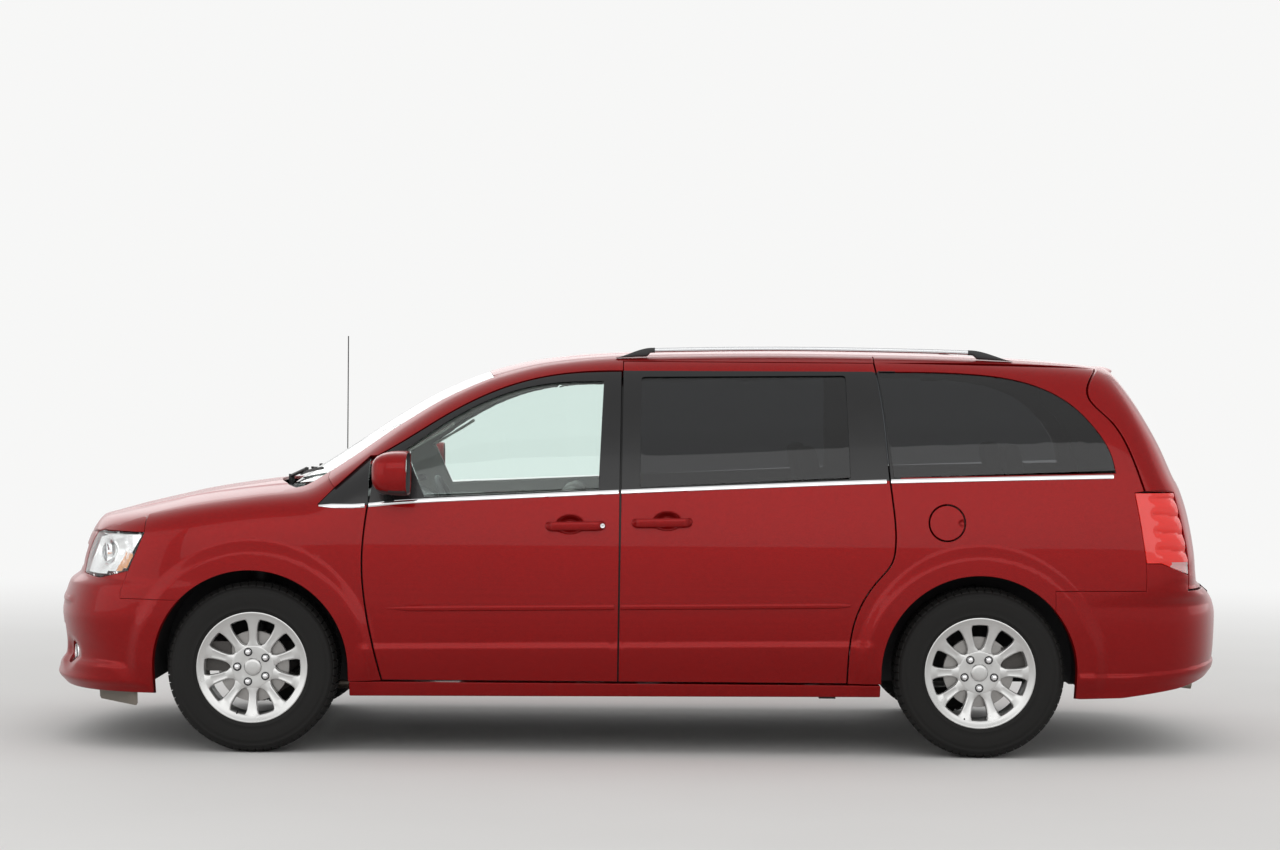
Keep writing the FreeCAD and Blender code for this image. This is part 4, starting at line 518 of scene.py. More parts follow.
@dataclass
class Panel:
    """A sheet cut from a skin, with rolled edges and a back.

    The outline and the holes are in the skin's own coordinates, near enough millimetres.
    """

    skin: Skin
    outline: Array
    holes: list[Array] = field(default_factory=list)
    lines: list[Array] = field(default_factory=list)
    extra: Array | None = None
    step: float = 20.0
    hem: float = 2.5
    wall: float = 9.0
    proud: float = 0.0
    relief: Callable[[Array, Array], Array] | None = None
    zones: Callable[[Array], Array] | None = None
    outward: tuple[float, float, float] = (0.0, 1.0, 0.0)

    def _depth(self, uv: Array, below: Array | float) -> Array:
        """Depth of the sheet's outer face at some points, plus a distance below it."""
        depth = np.zeros(len(uv)) - self.proud + below
        if self.relief is not None:
            depth = depth + self.relief(uv[:, 0], uv[:, 1])
        return depth

    def _at(self, uv: Array, below: Array | float = 0.0) -> Array:
        """Points of the sheet."""
        return self.skin(uv[:, 0], uv[:, 1], self._depth(uv, below))

    def _normals(self, uv: Array) -> Array:
        """Outward normals of the outer face."""
        e = 1.5
        du = self._at(uv + [e, 0.0]) - self._at(uv - [e, 0.0])
        dv = self._at(uv + [0.0, e]) - self._at(uv - [0.0, e])
        n = np.cross(du, dv)
        n /= np.maximum(np.linalg.norm(n, axis=1), 1e-9)[:, None]
        if float(np.mean(n @ np.array(self.outward))) < 0:
            n = -n
        return n

    def _zone_of(self, uv: Array) -> Array:
        """Zone of each of some points."""
        return np.zeros(len(uv), int) if self.zones is None else self.zones(uv)

    def _inner_points(self, rings: list[Array], rims: Array) -> Array:
        """Points spread over the sheet, clear of its edges and lines."""
        low, high = rings[0].min(0), rings[0].max(0)
        us = np.arange(low[0], high[0], self.step)
        vs = np.arange(low[1], high[1], self.step)
        gu, gv = np.meshgrid(us, vs)
        gu = gu + np.where(np.arange(len(vs)) % 2 == 1, self.step / 2, 0.0)[:, None]
        grid = column(gu.ravel(), gv.ravel())
        if self.extra is not None:
            grid = np.concatenate([grid, self.extra])
        grid = grid[within(grid, rings)]
        return grid[nearest(grid, rims) > min(self.step * 0.45, 6.0)]

    def _filled(self, rings: list[Array]) -> tuple[Array, Array, Array, dict[int, int]]:
        """Fills the sheet with triangles.

        Args:
            rings: its edge and the edges of its holes, drawn in by the hem.

        Returns:
            The points, the triangles, the zone of each, and where each point of the rings went.
        """
        constraints: list[tuple[int, int]] = []
        count = 0
        for run, closed in [*((ring, True) for ring in rings), *((line, False) for line in self.lines)]:
            n = len(run)
            constraints += [(count + i, count + (i + 1) % n) for i in range(n if closed else n - 1)]
            count += n
        rims = np.concatenate([*rings, *self.lines])
        flat = np.concatenate([rims, self._inner_points(rings, rims)])
        out = geometry.delaunay_2d_cdt([Vector(p) for p in flat], constraints, [], 0, 1e-3)
        points, tris = np.array([tuple(v) for v in out[0]]), np.array(list(out[2]), int)
        centre = points[tris].mean(axis=1)
        keep = within(centre, rings)
        tris, centre = tris[keep], centre[keep]
        a, b, c = (points[tris[:, k]] for k in range(3))
        turned = (b - a)[:, 0] * (c - a)[:, 1] - (b - a)[:, 1] * (c - a)[:, 0] < 0
        tris[turned] = tris[turned][:, ::-1]
        place = {old: new for new, olds in enumerate(out[3]) for old in olds}
        return points, tris, self._zone_of(centre), place

    def _hem_rings(self, edge: Array, ring: Array) -> tuple[list[Array], list[Array]]:
        """Points and normals of the rings that roll over an edge and down its wall."""
        up = self._normals(ring)
        way = self._at(edge) - self._at(ring)
        way -= up * np.sum(way * up, axis=1)[:, None]
        way /= np.maximum(np.linalg.norm(way, axis=1), 1e-9)[:, None]
        points, normals = [], []
        for degrees, at_back in ((30, False), (60, False), (90, False), (90, True)):
            c, s = math.cos(math.radians(degrees)), math.sin(math.radians(degrees))
            below = self.wall if at_back else self.hem * (1 - c)
            points.append(self._at(ring + (edge - ring) * s, below))
            normals.append(up * c + way * s)
        return points, normals

    @cached_property
    def arrays(self) -> tuple[Array, list, Array, Array]:
        """Points, faces, face zones and normals of the whole sheet."""
        edges = [self.outline, *self.holes]
        edges = [e if area_of(e) > 0 else e[::-1] for e in edges]
        rings = [drawn_in(edges[0], self.hem)] + [drawn_in(e, -self.hem) for e in edges[1:]]
        flat, tris, zone, place = self._filled(rings)
        points, normals = [self._at(flat)], [self._normals(flat)]
        faces: list = [tuple(t) for t in tris]
        slots = list(zone)
        back = flat.copy()
        total, start = len(flat), 0
        rim: dict[int, int] = {}
        for edge, ring in zip(edges, rings):
            n = len(ring)
            ids = previous = np.array([place[start + i] for i in range(n)])
            start += n
            band = self._zone_of((ring + np.roll(ring, -1, axis=0)) / 2)
            hem_points, hem_normals = self._hem_rings(edge, ring)
            points += hem_points
            normals += hem_normals
            for _ in hem_points:
                current = total + np.arange(n)
                total += n
                for i in range(n):
                    j = (i + 1) % n
                    quad = (previous[j], previous[i], current[i], current[j])
                    faces.append(quad if edge is edges[0] else quad[::-1])
                    slots.append(band[i])
                previous = current
            rim.update(zip(ids.tolist(), previous.tolist()))
            back[ids] = edge
        points.append(self._at(back, self.wall))
        normals.append(np.zeros((len(flat), 3)))
        behind_face = np.array([rim.get(i, total + i) for i in range(len(flat))])
        faces += [tuple(behind_face[t[::-1]]) for t in tris]
        back_zone = int(zone.max()) + 1 if len(zone) else 1
        slots += [back_zone] * len(tris)
        return self._in_use(np.concatenate(points), faces, len(tris), np.array(slots),
                            np.concatenate(normals))

    @staticmethod
    def _in_use(points: Array, faces: list, front_count: int, slots: Array, normals: Array) -> tuple:
        """Drops the points that no face uses, and turns the faces to agree with the normals."""
        used = np.zeros(len(points), bool)
        for f in faces:
            used[list(f)] = True
        renumber = np.cumsum(used) - 1
        faces = [tuple(renumber[list(f)]) for f in faces]
        points, normals = points[used], normals[used]
        front = np.array(faces[:front_count])
        p, q, r = (points[front[:, k]] for k in range(3))
        if float(np.sum(np.cross(q - p, r - p) * normals[front[:, 0]])) < 0:
            faces = [tuple(f[::-1]) for f in faces]
        return points, faces, slots, normals

    def make(self, name: str, materials: Sequence[bpy.types.Material],
             side: Side = Side.LEFT) -> bpy.types.Object:
        """Makes the sheet as an object on one side; the last material is its back's."""
        points, faces, slots, normals = self.arrays
        if side is Side.RIGHT:
            points = points * [1, -1, 1]
            normals = normals * [1, -1, 1]
            faces = [tuple(f[::-1]) for f in faces]
        slots = np.minimum(slots, len(materials) - 1)
        return new_object(name, points, faces, materials, slots, normals)


@dataclass
class Body:
    """Gathers grids of points, boxes, turned shapes and bars into one piece."""

    verts: list[Array] = field(default_factory=list)
    faces: list[tuple] = field(default_factory=list)
    slots: list[int] = field(default_factory=list)
    count: int = 0

    def add(self, verts: Array, faces: Sequence, slot: int = 0) -> None:
        """Adds points and faces that number them from nought."""
        self.verts.append(np.asarray(verts, float))
        self.faces += [tuple(int(i) + self.count for i in f) for f in faces]
        self.slots += [slot] * len(faces)
        self.count += len(verts)

    def grid(self, points: Array, slot: int = 0, wrap_u: bool = False, wrap_v: bool = False,
             cap_u: bool = False) -> None:
        """Adds a grid of points (rows, columns, 3), wrapped or capped as asked."""
        m, n = points.shape[:2]
        faces = []
        for i in range(m if wrap_u else m - 1):
            for j in range(n if wrap_v else n - 1):
                a, b = i * n + j, i * n + (j + 1) % n
                c, d = ((i + 1) % m) * n + (j + 1) % n, ((i + 1) % m) * n + j
                faces.append((a, b, c, d))
        if cap_u:
            faces.append(tuple(reversed(range(n))))
            faces.append(tuple(range((m - 1) * n, m * n)))
        self.add(points.reshape(-1, 3), faces, slot)

    def box(self, low: Sequence[float], high: Sequence[float], slot: int = 0, bevel: float = 0.0) -> None:
        """Adds a box with bevelled edges."""
        low, high = np.array(low, float), np.array(high, float)
        r = min(bevel, float(np.min(high - low)) * 0.45)
        if r <= 0:
            x0, y0, z0 = low
            x1, y1, z1 = high
            verts = [(x0, y0, z0), (x1, y0, z0), (x1, y1, z0), (x0, y1, z0),
                     (x0, y0, z1), (x1, y0, z1), (x1, y1, z1), (x0, y1, z1)]
            sides = [(0, 3, 2, 1), (4, 5, 6, 7), (0, 1, 5, 4), (1, 2, 6, 5), (2, 3, 7, 6), (3, 0, 4, 7)]
            self.add(np.array(verts), sides, slot)
            return
        heights, insets = [], []
        for t in (0.0, 0.3, 0.7, 1.0):
            a = t * math.pi / 2
            heights.append(low[2] + r - r * math.cos(a) if t < 1 else low[2] + r)
            insets.append(r - r * math.sin(a))
        for t in (1.0, 0.7, 0.3, 0.0):
            a = t * math.pi / 2
            heights.append(high[2] - r + r * math.cos(a))
            insets.append(r - r * math.sin(a))
        layers = []
        for h, d in zip(heights, insets):
            ring = []
            rr = max(r - d, 0.01)
            cx = (low[0] + d + rr, high[0] - d - rr)
            cy = (low[1] + d + rr, high[1] - d - rr)
            corners = ((cx[1], cy[0], -90), (cx[1], cy[1], 0), (cx[0], cy[1], 90), (cx[0], cy[0], 180))
            for qx, qy, start in corners:
                for a in (0, 30, 60, 90):
                    t = math.radians(start + a)
                    ring.append((qx + rr * math.cos(t), qy + rr * math.sin(t), h))
            layers.append(ring)
        self.grid(np.array(layers), slot, wrap_v=True, cap_u=True)

    def lathe(self, profile: Sequence[tuple[float, float]], centre: Sequence[float], axis: int = 1,
              count: int = 48, slot: int = 0) -> None:
        """Adds a closed profile of (radius, place along the axis) turned about an axis."""
        p = np.array(profile, float)
        t = turns(count)
        r, h = np.maximum(p[:, 0], 0.02)[None, :], p[:, 1][None, :] + np.zeros((count, 1))
        a, b = r * np.cos(t)[:, None], r * np.sin(t)[:, None]
        pts = np.empty((count, len(p), 3))
        others = [i for i in range(3) if i != axis]
        pts[..., others[0]], pts[..., others[1]], pts[..., axis] = a, b, h
        self.grid(pts + np.array(centre, float), slot, wrap_u=True, wrap_v=True)

    def tube(self, path: Array, radius: Array | float, slot: int = 0, sides: int = 12,
             flat: float = 1.0, up: Sequence[float] = (0, 0, 1)) -> None:
        """Adds a round or flattened bar along a path, with rounded ends."""
        p = np.asarray(path, float)
        r = np.zeros(len(p)) + radius
        way = np.gradient(p, axis=0)
        way /= np.linalg.norm(way, axis=1)[:, None]
        side = np.cross(way, np.array(up, float))
        side /= np.maximum(np.linalg.norm(side, axis=1), 1e-6)[:, None]
        lift = np.cross(side, way)
        t = turns(sides)[:, None]
        section = [side[i] * np.cos(t) + lift[i] * flat * np.sin(t) for i in range(len(p))]
        ends = ((0.25, 0.57), (0.7, 0.42), (0.95, 0.18))
        rings = [p[0] - way[0] * r[0] * out + section[0] * r[0] * share for share, out in ends]
        rings += [p[i] + section[i] * r[i] for i in range(len(p))]
        for share, out in reversed(ends):
            rings.append(p[-1] + way[-1] * r[-1] * out + section[-1] * r[-1] * share)
        self.grid(np.array(rings), slot, wrap_v=True, cap_u=True)

    def make(self, name: str, materials: Sequence[bpy.types.Material], side: Side = Side.LEFT,
             angle: float = 40.0) -> bpy.types.Object:
        """Makes the piece, with faces turned outwards and edges over an angle kept sharp."""
        verts = np.concatenate(self.verts)
        if side is Side.RIGHT:
            verts = verts * [1, -1, 1]
        obj = new_object(name, verts, self.faces, materials, np.array(self.slots))
        finish_mesh(obj, angle)
        return obj


def finish_mesh(obj: bpy.types.Object, angle: float = 40.0) -> None:
    """Merges doubles, turns faces outwards and marks sharp edges."""
    bm = bmesh.new()
    bm.from_mesh(obj.data)
    bmesh.ops.remove_doubles(bm, verts=bm.verts, dist=1e-6)
    bmesh.ops.recalc_face_normals(bm, faces=bm.faces)
    limit = math.radians(angle)
    for edge in bm.edges:
        edge.smooth = not (len(edge.link_faces) == 2 and edge.calc_face_angle(0.0) > limit)
    bm.to_mesh(obj.data)
    bm.free()
    obj.data.polygons.foreach_set("use_smooth", [True] * len(obj.data.polygons))
    obj.data.update()


class Value:
    """A shader socket that takes part in sums as a number does."""

    def __init__(self, net: "Net", socket: bpy.types.NodeSocket) -> None:
        """Keeps the socket and the tree it belongs to."""
        self.net = net
        self.socket = socket

    def _with(self, operation: str, other: "Value | float", swapped: bool = False) -> "Value":
        """Adds one Math node for an operation on this value and another."""
        pair = (other, self) if swapped else (self, other)
        return self.net.node("ShaderNodeMath", {"operation": operation}, {0: pair[0], 1: pair[1]})

    def __add__(self, other: "Value | float") -> "Value":
        """Sum."""
        return self._with("ADD", other)

    def __radd__(self, other: float) -> "Value":
        """Sum with the number first."""
        return self._with("ADD", other, True)

    def __sub__(self, other: "Value | float") -> "Value":
        """Difference."""
        return self._with("SUBTRACT", other)

    def __rsub__(self, other: float) -> "Value":
        """Difference with the number first."""
        return self._with("SUBTRACT", other, True)

    def __mul__(self, other: "Value | float") -> "Value":
        """Product."""
        return self._with("MULTIPLY", other)

    def __rmul__(self, other: float) -> "Value":
        """Product with the number first."""
        return self._with("MULTIPLY", other, True)

    def __gt__(self, other: "Value | float") -> "Value":
        """1 where this value is the larger."""
        return self._with("GREATER_THAN", other)


class Net:
    """A material's node tree, from its Principled shader back."""

    def __init__(self, name: str) -> None:
        """Makes the material."""
        self.material = bpy.data.materials.new(name)
        self.material.use_nodes = True
        self.tree = self.material.node_tree
        self.shader = self.tree.nodes["Principled BSDF"]
        self.output = self.tree.nodes["Material Output"]

    def node(self, kind: str, settings: dict | None = None, sockets: dict | None = None,
             out: "int | str" = 0) -> Value:
        """Adds a node.

        Args:
            kind: the node's type.
            settings: its own settings, set before its sockets.
            sockets: values or links for its inputs, by name or number.
            out: the output wanted.

        Returns:
            The output as a value.
        """
        n = self.tree.nodes.new(kind)
        for key, value in (settings or {}).items():
            if key == "stops":
                ramp = n.color_ramp
                while len(ramp.elements) < len(value):
                    ramp.elements.new(0.5)
                for element, (place, colour) in zip(ramp.elements, value):
                    element.position = place
                    element.color = (*colour, 1.0)
            else:
                setattr(n, key, value)
        for key, value in (sockets or {}).items():
            self.feed(n.inputs[key], value)
        return Value(self, n.outputs[out])

    def feed(self, target: bpy.types.NodeSocket, value: "Value | float | tuple") -> None:
        """Links a value to a socket, or sets the socket."""
        if isinstance(value, Value):
            self.tree.links.new(value.socket, target)
        elif isinstance(value, tuple) and len(value) == 3 and target.type == "RGBA":
            target.default_value = (*value, 1.0)
        else:
            target.default_value = value

    def set(self, **sockets: "Value | float | tuple") -> None:
        """Feeds the Principled shader; an underscore stands for a space."""
        for key, value in sockets.items():
            self.feed(self.shader.inputs[key.replace("_", " ")], value)

    def place(self) -> Value:
        """Object coordinates."""
        return self.node("ShaderNodeTexCoord", out="Object")

    def noise(self, scale: float, detail: float = 2.0, at: Value | None = None) -> Value:
        """Noise, from 0 to 1."""
        return self.node("ShaderNodeTexNoise", None, {"Vector": at or self.place(), "Scale": scale,
                                                      "Detail": detail})

    def mix(self, factor: "Value | float", a: "Value | tuple", b: "Value | tuple") -> Value:
        """A colour between two."""
        n = self.tree.nodes.new("ShaderNodeMix")
        n.data_type = "RGBA"
        self.feed(n.inputs[0], factor)
        self.feed(n.inputs[6], a)
        self.feed(n.inputs[7], b)
        return Value(self, n.outputs[2])

    def bump(self, height: Value, distance: float) -> None:
        """Feeds a bump of the given depth, in metres, to the shader."""
        given = {"Height": height, "Distance": distance, "Strength": 1.0}
        self.set(Normal=self.node("ShaderNodeBump", None, given))

    def clear_to_lamps(self, colour: tuple) -> None:
        """Lets the lamps' light through in a colour, as thin glass does."""
        clear = self.node("ShaderNodeBsdfTransparent", None, {"Color": colour})
        path = self.node("ShaderNodeLightPath", out="Is Shadow Ray")
        solid = Value(self, self.shader.outputs[0])
        joined = self.node("ShaderNodeMixShader", None, {0: path, 1: solid, 2: clear})
        self.feed(self.output.inputs["Surface"], joined)


def shade(colour: tuple, factor: float) -> tuple:
    """A colour made darker or lighter."""
    return tuple(min(1.0, c * factor) for c in colour)


@dataclass(frozen=True)
class Finish:
    """A plain finish with mottled colour, uneven gloss and a fine grain."""

    name: str
    colour: tuple[float, float, float]
    roughness: float = 0.5
    metallic: float = 0.0
    coat: float = 0.0
    mottle: float = 0.12
    mottle_scale: float = 9.0
    uneven: float = 0.08
    grain_scale: float = 700.0
    grain_depth: float = 0.00008
    specular: float = 0.5

    def make(self) -> bpy.types.Material:
        """Makes the material."""
        net = Net(self.name)
        big = net.noise(self.mottle_scale, 3.0)
        fine = net.noise(self.grain_scale, 2.0)
        net.set(Base_Color=net.mix(big, shade(self.colour, 1 - self.mottle),
                                   shade(self.colour, 1 + self.mottle)),
                Roughness=big * (2 * self.uneven) + (self.roughness - self.uneven), Metallic=self.metallic,
                Coat_Weight=self.coat, Coat_Roughness=0.04, Specular_IOR_Level=self.specular)
        if self.grain_depth > 0:
            net.bump(fine, self.grain_depth)
        return net.material


@dataclass(frozen=True)
class CarPaint:
    """Metallic paint: fine bright flakes under a clear coat."""

    name: str
    colour: tuple[float, float, float]
    flake: tuple[float, float, float]

    def make(self) -> bpy.types.Material:
        """Makes the material."""
        net = Net(self.name)
        cells = net.node("ShaderNodeTexVoronoi", None, {"Vector": net.place(), "Scale": 1400.0},
                         out="Color")
        grey = net.node("ShaderNodeRGBToBW", None, {"Color": cells})
        sparkle = net.node("ShaderNodeValToRGB", {"stops": [(0.55, (0, 0, 0)), (0.85, (1, 1, 1))]},
                           {"Fac": grey})
        cloud = net.noise(2.2, 2.0)
        base = net.mix(cloud, shade(self.colour, 0.94), shade(self.colour, 1.06))
        net.set(Base_Color=net.mix(sparkle, base, self.flake), Metallic=0.5,
                Roughness=net.noise(160.0, 2.0) * 0.06 + 0.30, Specular_IOR_Level=0.08,
                Coat_Weight=0.36, Coat_Roughness=0.025, Coat_IOR=1.45)
        return net.material


@dataclass(frozen=True)
class Pane:
    """Tinted glass that lets lamps through to what is behind it."""

    name: str
    tint: tuple[float, float, float]
    shadow: tuple[float, float, float]

    def make(self) -> bpy.types.Material:
        """Makes the material."""
        net = Net(self.name)
        net.set(Base_Color=self.tint, Transmission_Weight=1.0, IOR=1.45,
                Roughness=net.noise(3.0, 2.0) * 0.006)
        net.clear_to_lamps(self.shadow)
        return net.material


@dataclass(frozen=True)
class Fabric:
    """Woven seat cloth."""

    name: str
    colour: tuple[float, float, float]

    def make(self) -> bpy.types.Material:
        """Makes the material."""
        net = Net(self.name)
        at = net.place()
        parts = net.node("ShaderNodeSeparateXYZ", None, {0: at})
        other = Value(net, parts.socket.node.outputs[1])
        third = Value(net, parts.socket.node.outputs[2])
        a = net.node("ShaderNodeMath", {"operation": "SINE"}, {0: (parts + third) * 2600.0})
        b = net.node("ShaderNodeMath", {"operation": "SINE"}, {0: (other + third) * 2600.0})
        weave = a * b * 0.5 + 0.5
        fuzz = net.noise(380.0, 3.0)
        net.set(Base_Color=net.mix(weave * 0.6 + fuzz * 0.4, shade(self.colour, 0.72),
                                   shade(self.colour, 1.18)), Roughness=fuzz * 0.1 + 0.85,
                Sheen_Weight=0.25, Specular_IOR_Level=0.2)
        net.bump(weave + fuzz * 0.5, 0.0003)
        return net.material


@dataclass(frozen=True)
class Rubber:
    """Tyre rubber with dust in its grain."""

    name: str
    colour: tuple[float, float, float]

    def make(self) -> bpy.types.Material:
        """Makes the material."""
        net = Net(self.name)
        dust = net.noise(26.0, 4.0)
        net.set(Base_Color=net.mix(dust * 0.7, self.colour, shade(self.colour, 2.3)),
                Roughness=dust * 0.15 + 0.60, Specular_IOR_Level=0.25)
        net.bump(net.noise(900.0, 2.0), 0.00012)
        return net.material


@dataclass(frozen=True)
class Lens:
    """Coloured lamp plastic over ribs."""

    name: str
    colour: tuple[float, float, float]
    clearness: float

    def make(self) -> bpy.types.Material:
        """Makes the material."""
        net = Net(self.name)
        net.set(Base_Color=self.colour, Roughness=net.noise(40.0) * 0.03 + 0.04, Coat_Weight=1.0,
                Coat_Roughness=0.03, Transmission_Weight=self.clearness, IOR=1.3)
        net.clear_to_lamps(self.colour)
        return net.material


class Palette:
    """Every finish of the vehicle, made once."""

    def __init__(self) -> None:
        """Makes the materials."""
        self.paint = CarPaint("deep_red_paint", (0.196, 0.0014, 0.0020), (0.44, 0.007, 0.006)).make()
        self.black_frame = Finish("satin_black_frame", (0.009, 0.009, 0.0095), 0.24, coat=0.1,
                                  grain_depth=0.00002, specular=0.35).make()
        self.black_plastic = Finish("grained_black_plastic", (0.022, 0.022, 0.023), 0.55).make()
        self.back = Finish("primer_back", (0.05, 0.012, 0.013), 0.6, mottle=0.2).make()
        self.clear_glass = Pane("clear_green_glass", (0.84, 0.93, 0.90), (0.80, 0.88, 0.85)).make()
        self.dark_glass = Pane("privacy_glass", (0.085, 0.09, 0.095), (0.07, 0.075, 0.08)).make()
        self.lamp_glass = Pane("lamp_cover", (0.97, 0.98, 0.98), (0.95, 0.96, 0.96)).make()
        self.chrome = Finish("bright_trim", (0.82, 0.82, 0.83), 0.09, 1.0, mottle=0.03, uneven=0.03,
                             grain_depth=0.0).make()
        self.reflector = Finish("lamp_reflector", (0.95, 0.95, 0.95), 0.16, 1.0, mottle=0.04,
                                grain_depth=0.0).make()
        self.alloy = Finish("silver_wheel_paint", (0.60, 0.60, 0.59), 0.30, 0.75, 0.6, mottle=0.05,
                            grain_scale=1500.0, grain_depth=0.00002).make()
        self.rail_silver = Finish("satin_silver_rail", (0.62, 0.63, 0.64), 0.26, 0.85, 0.2, mottle=0.04,
                                  grain_depth=0.00001).make()
        self.tyre = Rubber("tyre_rubber", (0.0065, 0.0062, 0.0058)).make()
        self.steel = Finish("brake_steel", (0.32, 0.31, 0.30), 0.32, 0.9, mottle=0.2,
                            mottle_scale=30.0).make()
        self.iron = Finish("cast_iron", (0.075, 0.07, 0.066), 0.6, 0.5, mottle=0.3, mottle_scale=40.0,
                           grain_scale=260.0, grain_depth=0.0004).make()
        self.exhaust = Finish("heat_stained_steel", (0.26, 0.22, 0.18), 0.38, 0.9, mottle=0.3,
                              mottle_scale=14.0).make()
        self.underseal = Finish("stone_guard", (0.03, 0.03, 0.032), 0.8, mottle=0.2, grain_scale=240.0,
                                grain_depth=0.0006).make()
        self.cabin = Finish("grey_cabin_trim", (0.27, 0.265, 0.25), 0.62, mottle=0.06, grain_scale=420.0,
                            grain_depth=0.0002).make()
        self.dark_cabin = Finish("dark_cabin_trim", (0.055, 0.055, 0.057), 0.6, mottle=0.08,
                                 grain_scale=420.0, grain_depth=0.0002).make()
        self.headlining = Finish("headlining", (0.42, 0.41, 0.385), 0.95, mottle=0.05, grain_scale=900.0,
                                 grain_depth=0.0002).make()
        self.fabric = Fabric("seat_cloth", (0.30, 0.29, 0.27)).make()
        self.lens_red = Lens("red_lens", (0.95, 0.020, 0.010), 0.22).make()
        self.lens_clear = Lens("clear_lens", (0.80, 0.80, 0.80), 0.6).make()
        self.amber = Lens("amber_lens", (0.90, 0.30, 0.02), 0.3).make()
        self.mirror = Finish("mirror_glass", (0.72, 0.74, 0.76), 0.03, 1.0, mottle=0.02, uneven=0.01,
                             grain_depth=0.0).make()
        self.valance = Finish("air_dam_plastic", (0.20, 0.175, 0.145), 0.75).make()


def dress_solid(node: str, material: bpy.types.Material) -> None:
    """Gives a node of the solid model its material."""
    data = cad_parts[node].data
    if not data.materials:
        data.materials.append(material)
    for i in range(len(data.materials)):
        data.materials[i] = material


def settle(obj: bpy.types.Object, body: str, slot: str, *nodes: str) -> bpy.types.Object:
    """Makes a piece ride on its body and stand for its nodes."""
    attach(obj, body)
    if nodes:
        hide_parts(*nodes)
    LOG.info("%s: %d faces", obj.name, len(obj.data.polygons))
    return obj


def settle_pair(shape: Panel | Body, name: str, materials: Sequence[bpy.types.Material], body: str,
                slot: str, node: str = "") -> None:
    """Makes a piece on each side and settles it; {} in a name stands for the side."""
    for side in Side:
        nodes = [node.format(side.word)] if node else []
        piece = shape.make(name.format(side.word), materials, side)
        settle(piece, body.format(side.word), slot, *nodes)


FRONT_EDGE = [(ahead(-549), SILL_TOP_Z), (ahead(-522), 423), (ahead(-479), 627), (ahead(-463), 842),
              (ahead(-484), 1052), (ahead(-517), 1258)]
FRONT_TOP = [(ahead(-517), 1258), (ahead(-598), 1305), (ahead(-801), 1432), (ahead(-1008), 1537),
             (ahead(-1164), 1588), (ahead(-1320), 1616), (B_POST_X, 1628)]
SLIDE_TOP_Z = 1672.0
SLIDE_REAR = [(C_POST_TOP_X, SLIDE_TOP_Z), (behind(408), 1440), (behind(385), 1173), (behind(368), 1030),
              (behind(363), 897), (behind(378), 826), (behind(433), 755), (behind(494), 671),
              (behind(534), 578), (behind(554), 476), (behind(563), SILL_TOP_Z)]
B_FOOT = (B_POST_X + 7, SILL_TOP_Z)
HATCH_SIDE = [(HATCH_X, 1655), (TAIL_X + 628, 1606), (TAIL_X + 646, 1552), (TAIL_X + 560, 1439),
              (TAIL_X + 477, 1305), (TAIL_X + 417, 1134)]
LAMP_REAR = [(TAIL_X + 287, 1128), (TAIL_X + 260, 1013), (TAIL_X + 229, 842), (TAIL_X + 226, 716)]
LAMP_FRONT = [(TAIL_X + 463, 1128), (TAIL_X + 437, 975), (TAIL_X + 417, 830)]
BELT_TRIM = [(1356, 1047), (1215, 1047), (1138, 1052), (1003, 1066), (540, 1092), (77, 1116),
             (-500, 1144), (-1073, 1169), (-1500, 1182), (-2012, 1196)]
BELT_LINE = Profile(sorted(BELT_TRIM))
CREASE_FOOT = 29.0
CREASE_OUT = 9.0
SILL_BOTTOM_Z = 250.0
FRONT_CUP = (282.0, 977.0)
SLIDE_CUP = (-128.0, 994.0)
CUP_HALF = (64, 43)
CUP_DEPTH = 24
FUEL_DOOR = (behind(145), 995.0)
FUEL_DOOR_RADIUS = 73
LAMP_CORNER = (ahead(469), 923.0)
LAMP_HEEL = (ahead(536), 762.0)
WING_FRONT_X = ahead(566)
WING_STEP_Z = 674.0
BUMPER_TOP_Z = 646.0
REAR_BUMPER_X = behind(-311)
REAR_BUMPER_Z = 712.0
QUARTER_REAR_X = TAIL_X + 417
LINER_RADIUS = 432.0
LINER_Y = 862.0
RAIL_Y = 605.0
BONNET_FRONT = Profile([(0, 806), (330, 785), (584, 716), (738, 593), (790, 420)])


def crease_z(x: Array) -> Array:
    """Height of the fold low on the doors."""
    return 473.0 + (1157.0 - x) * 0.01216


def row_z(top: Callable, x: Array, w: Array) -> Array:
    """Height of a row of a side, near enough above the shoulder."""
    fan = fan_height(top, x, x)
    v = w / ROW
    over_shoulder = fan + 700 * np.sin(np.clip(v - 1, 0, 1) * math.pi / 2)
    return np.where(v <= 1, FORM.low_z + (fan - FORM.low_z) * v, over_shoulder)


def pressed(x: Array, z: Array) -> Array:
    """Depth of the pressings of the side: the fold that runs along the doors."""
    below = crease_z(x) - z
    ends = ease((1190 - x) / 60) * ease((x + 1010) / 40)
    return -CREASE_OUT * ease(below / CREASE_FOOT) * (1 - ease((below - 40) / 150)) * ends


def dish(x: Array, z: Array, centre: tuple[float, float], half: tuple[float, float], deep: float) -> Array:
    """Depth of a rounded hand recess."""
    r = np.hypot((x - centre[0]) / half[0], (z - centre[1]) / half[1])
    return deep * (1 - ease((r - 0.35) / 0.65))


def cluster(centre: tuple[float, float], half: tuple[float, float], step: float) -> Array:
    """A patch of closer points for a small pressing."""
    u = np.arange(centre[0] - half[0], centre[0] + half[0], step)
    v = np.arange(centre[1] - half[1], centre[1] + half[1], step)
    gu, gv = np.meshgrid(u, v)
    return column(gu.ravel(), gv.ravel())


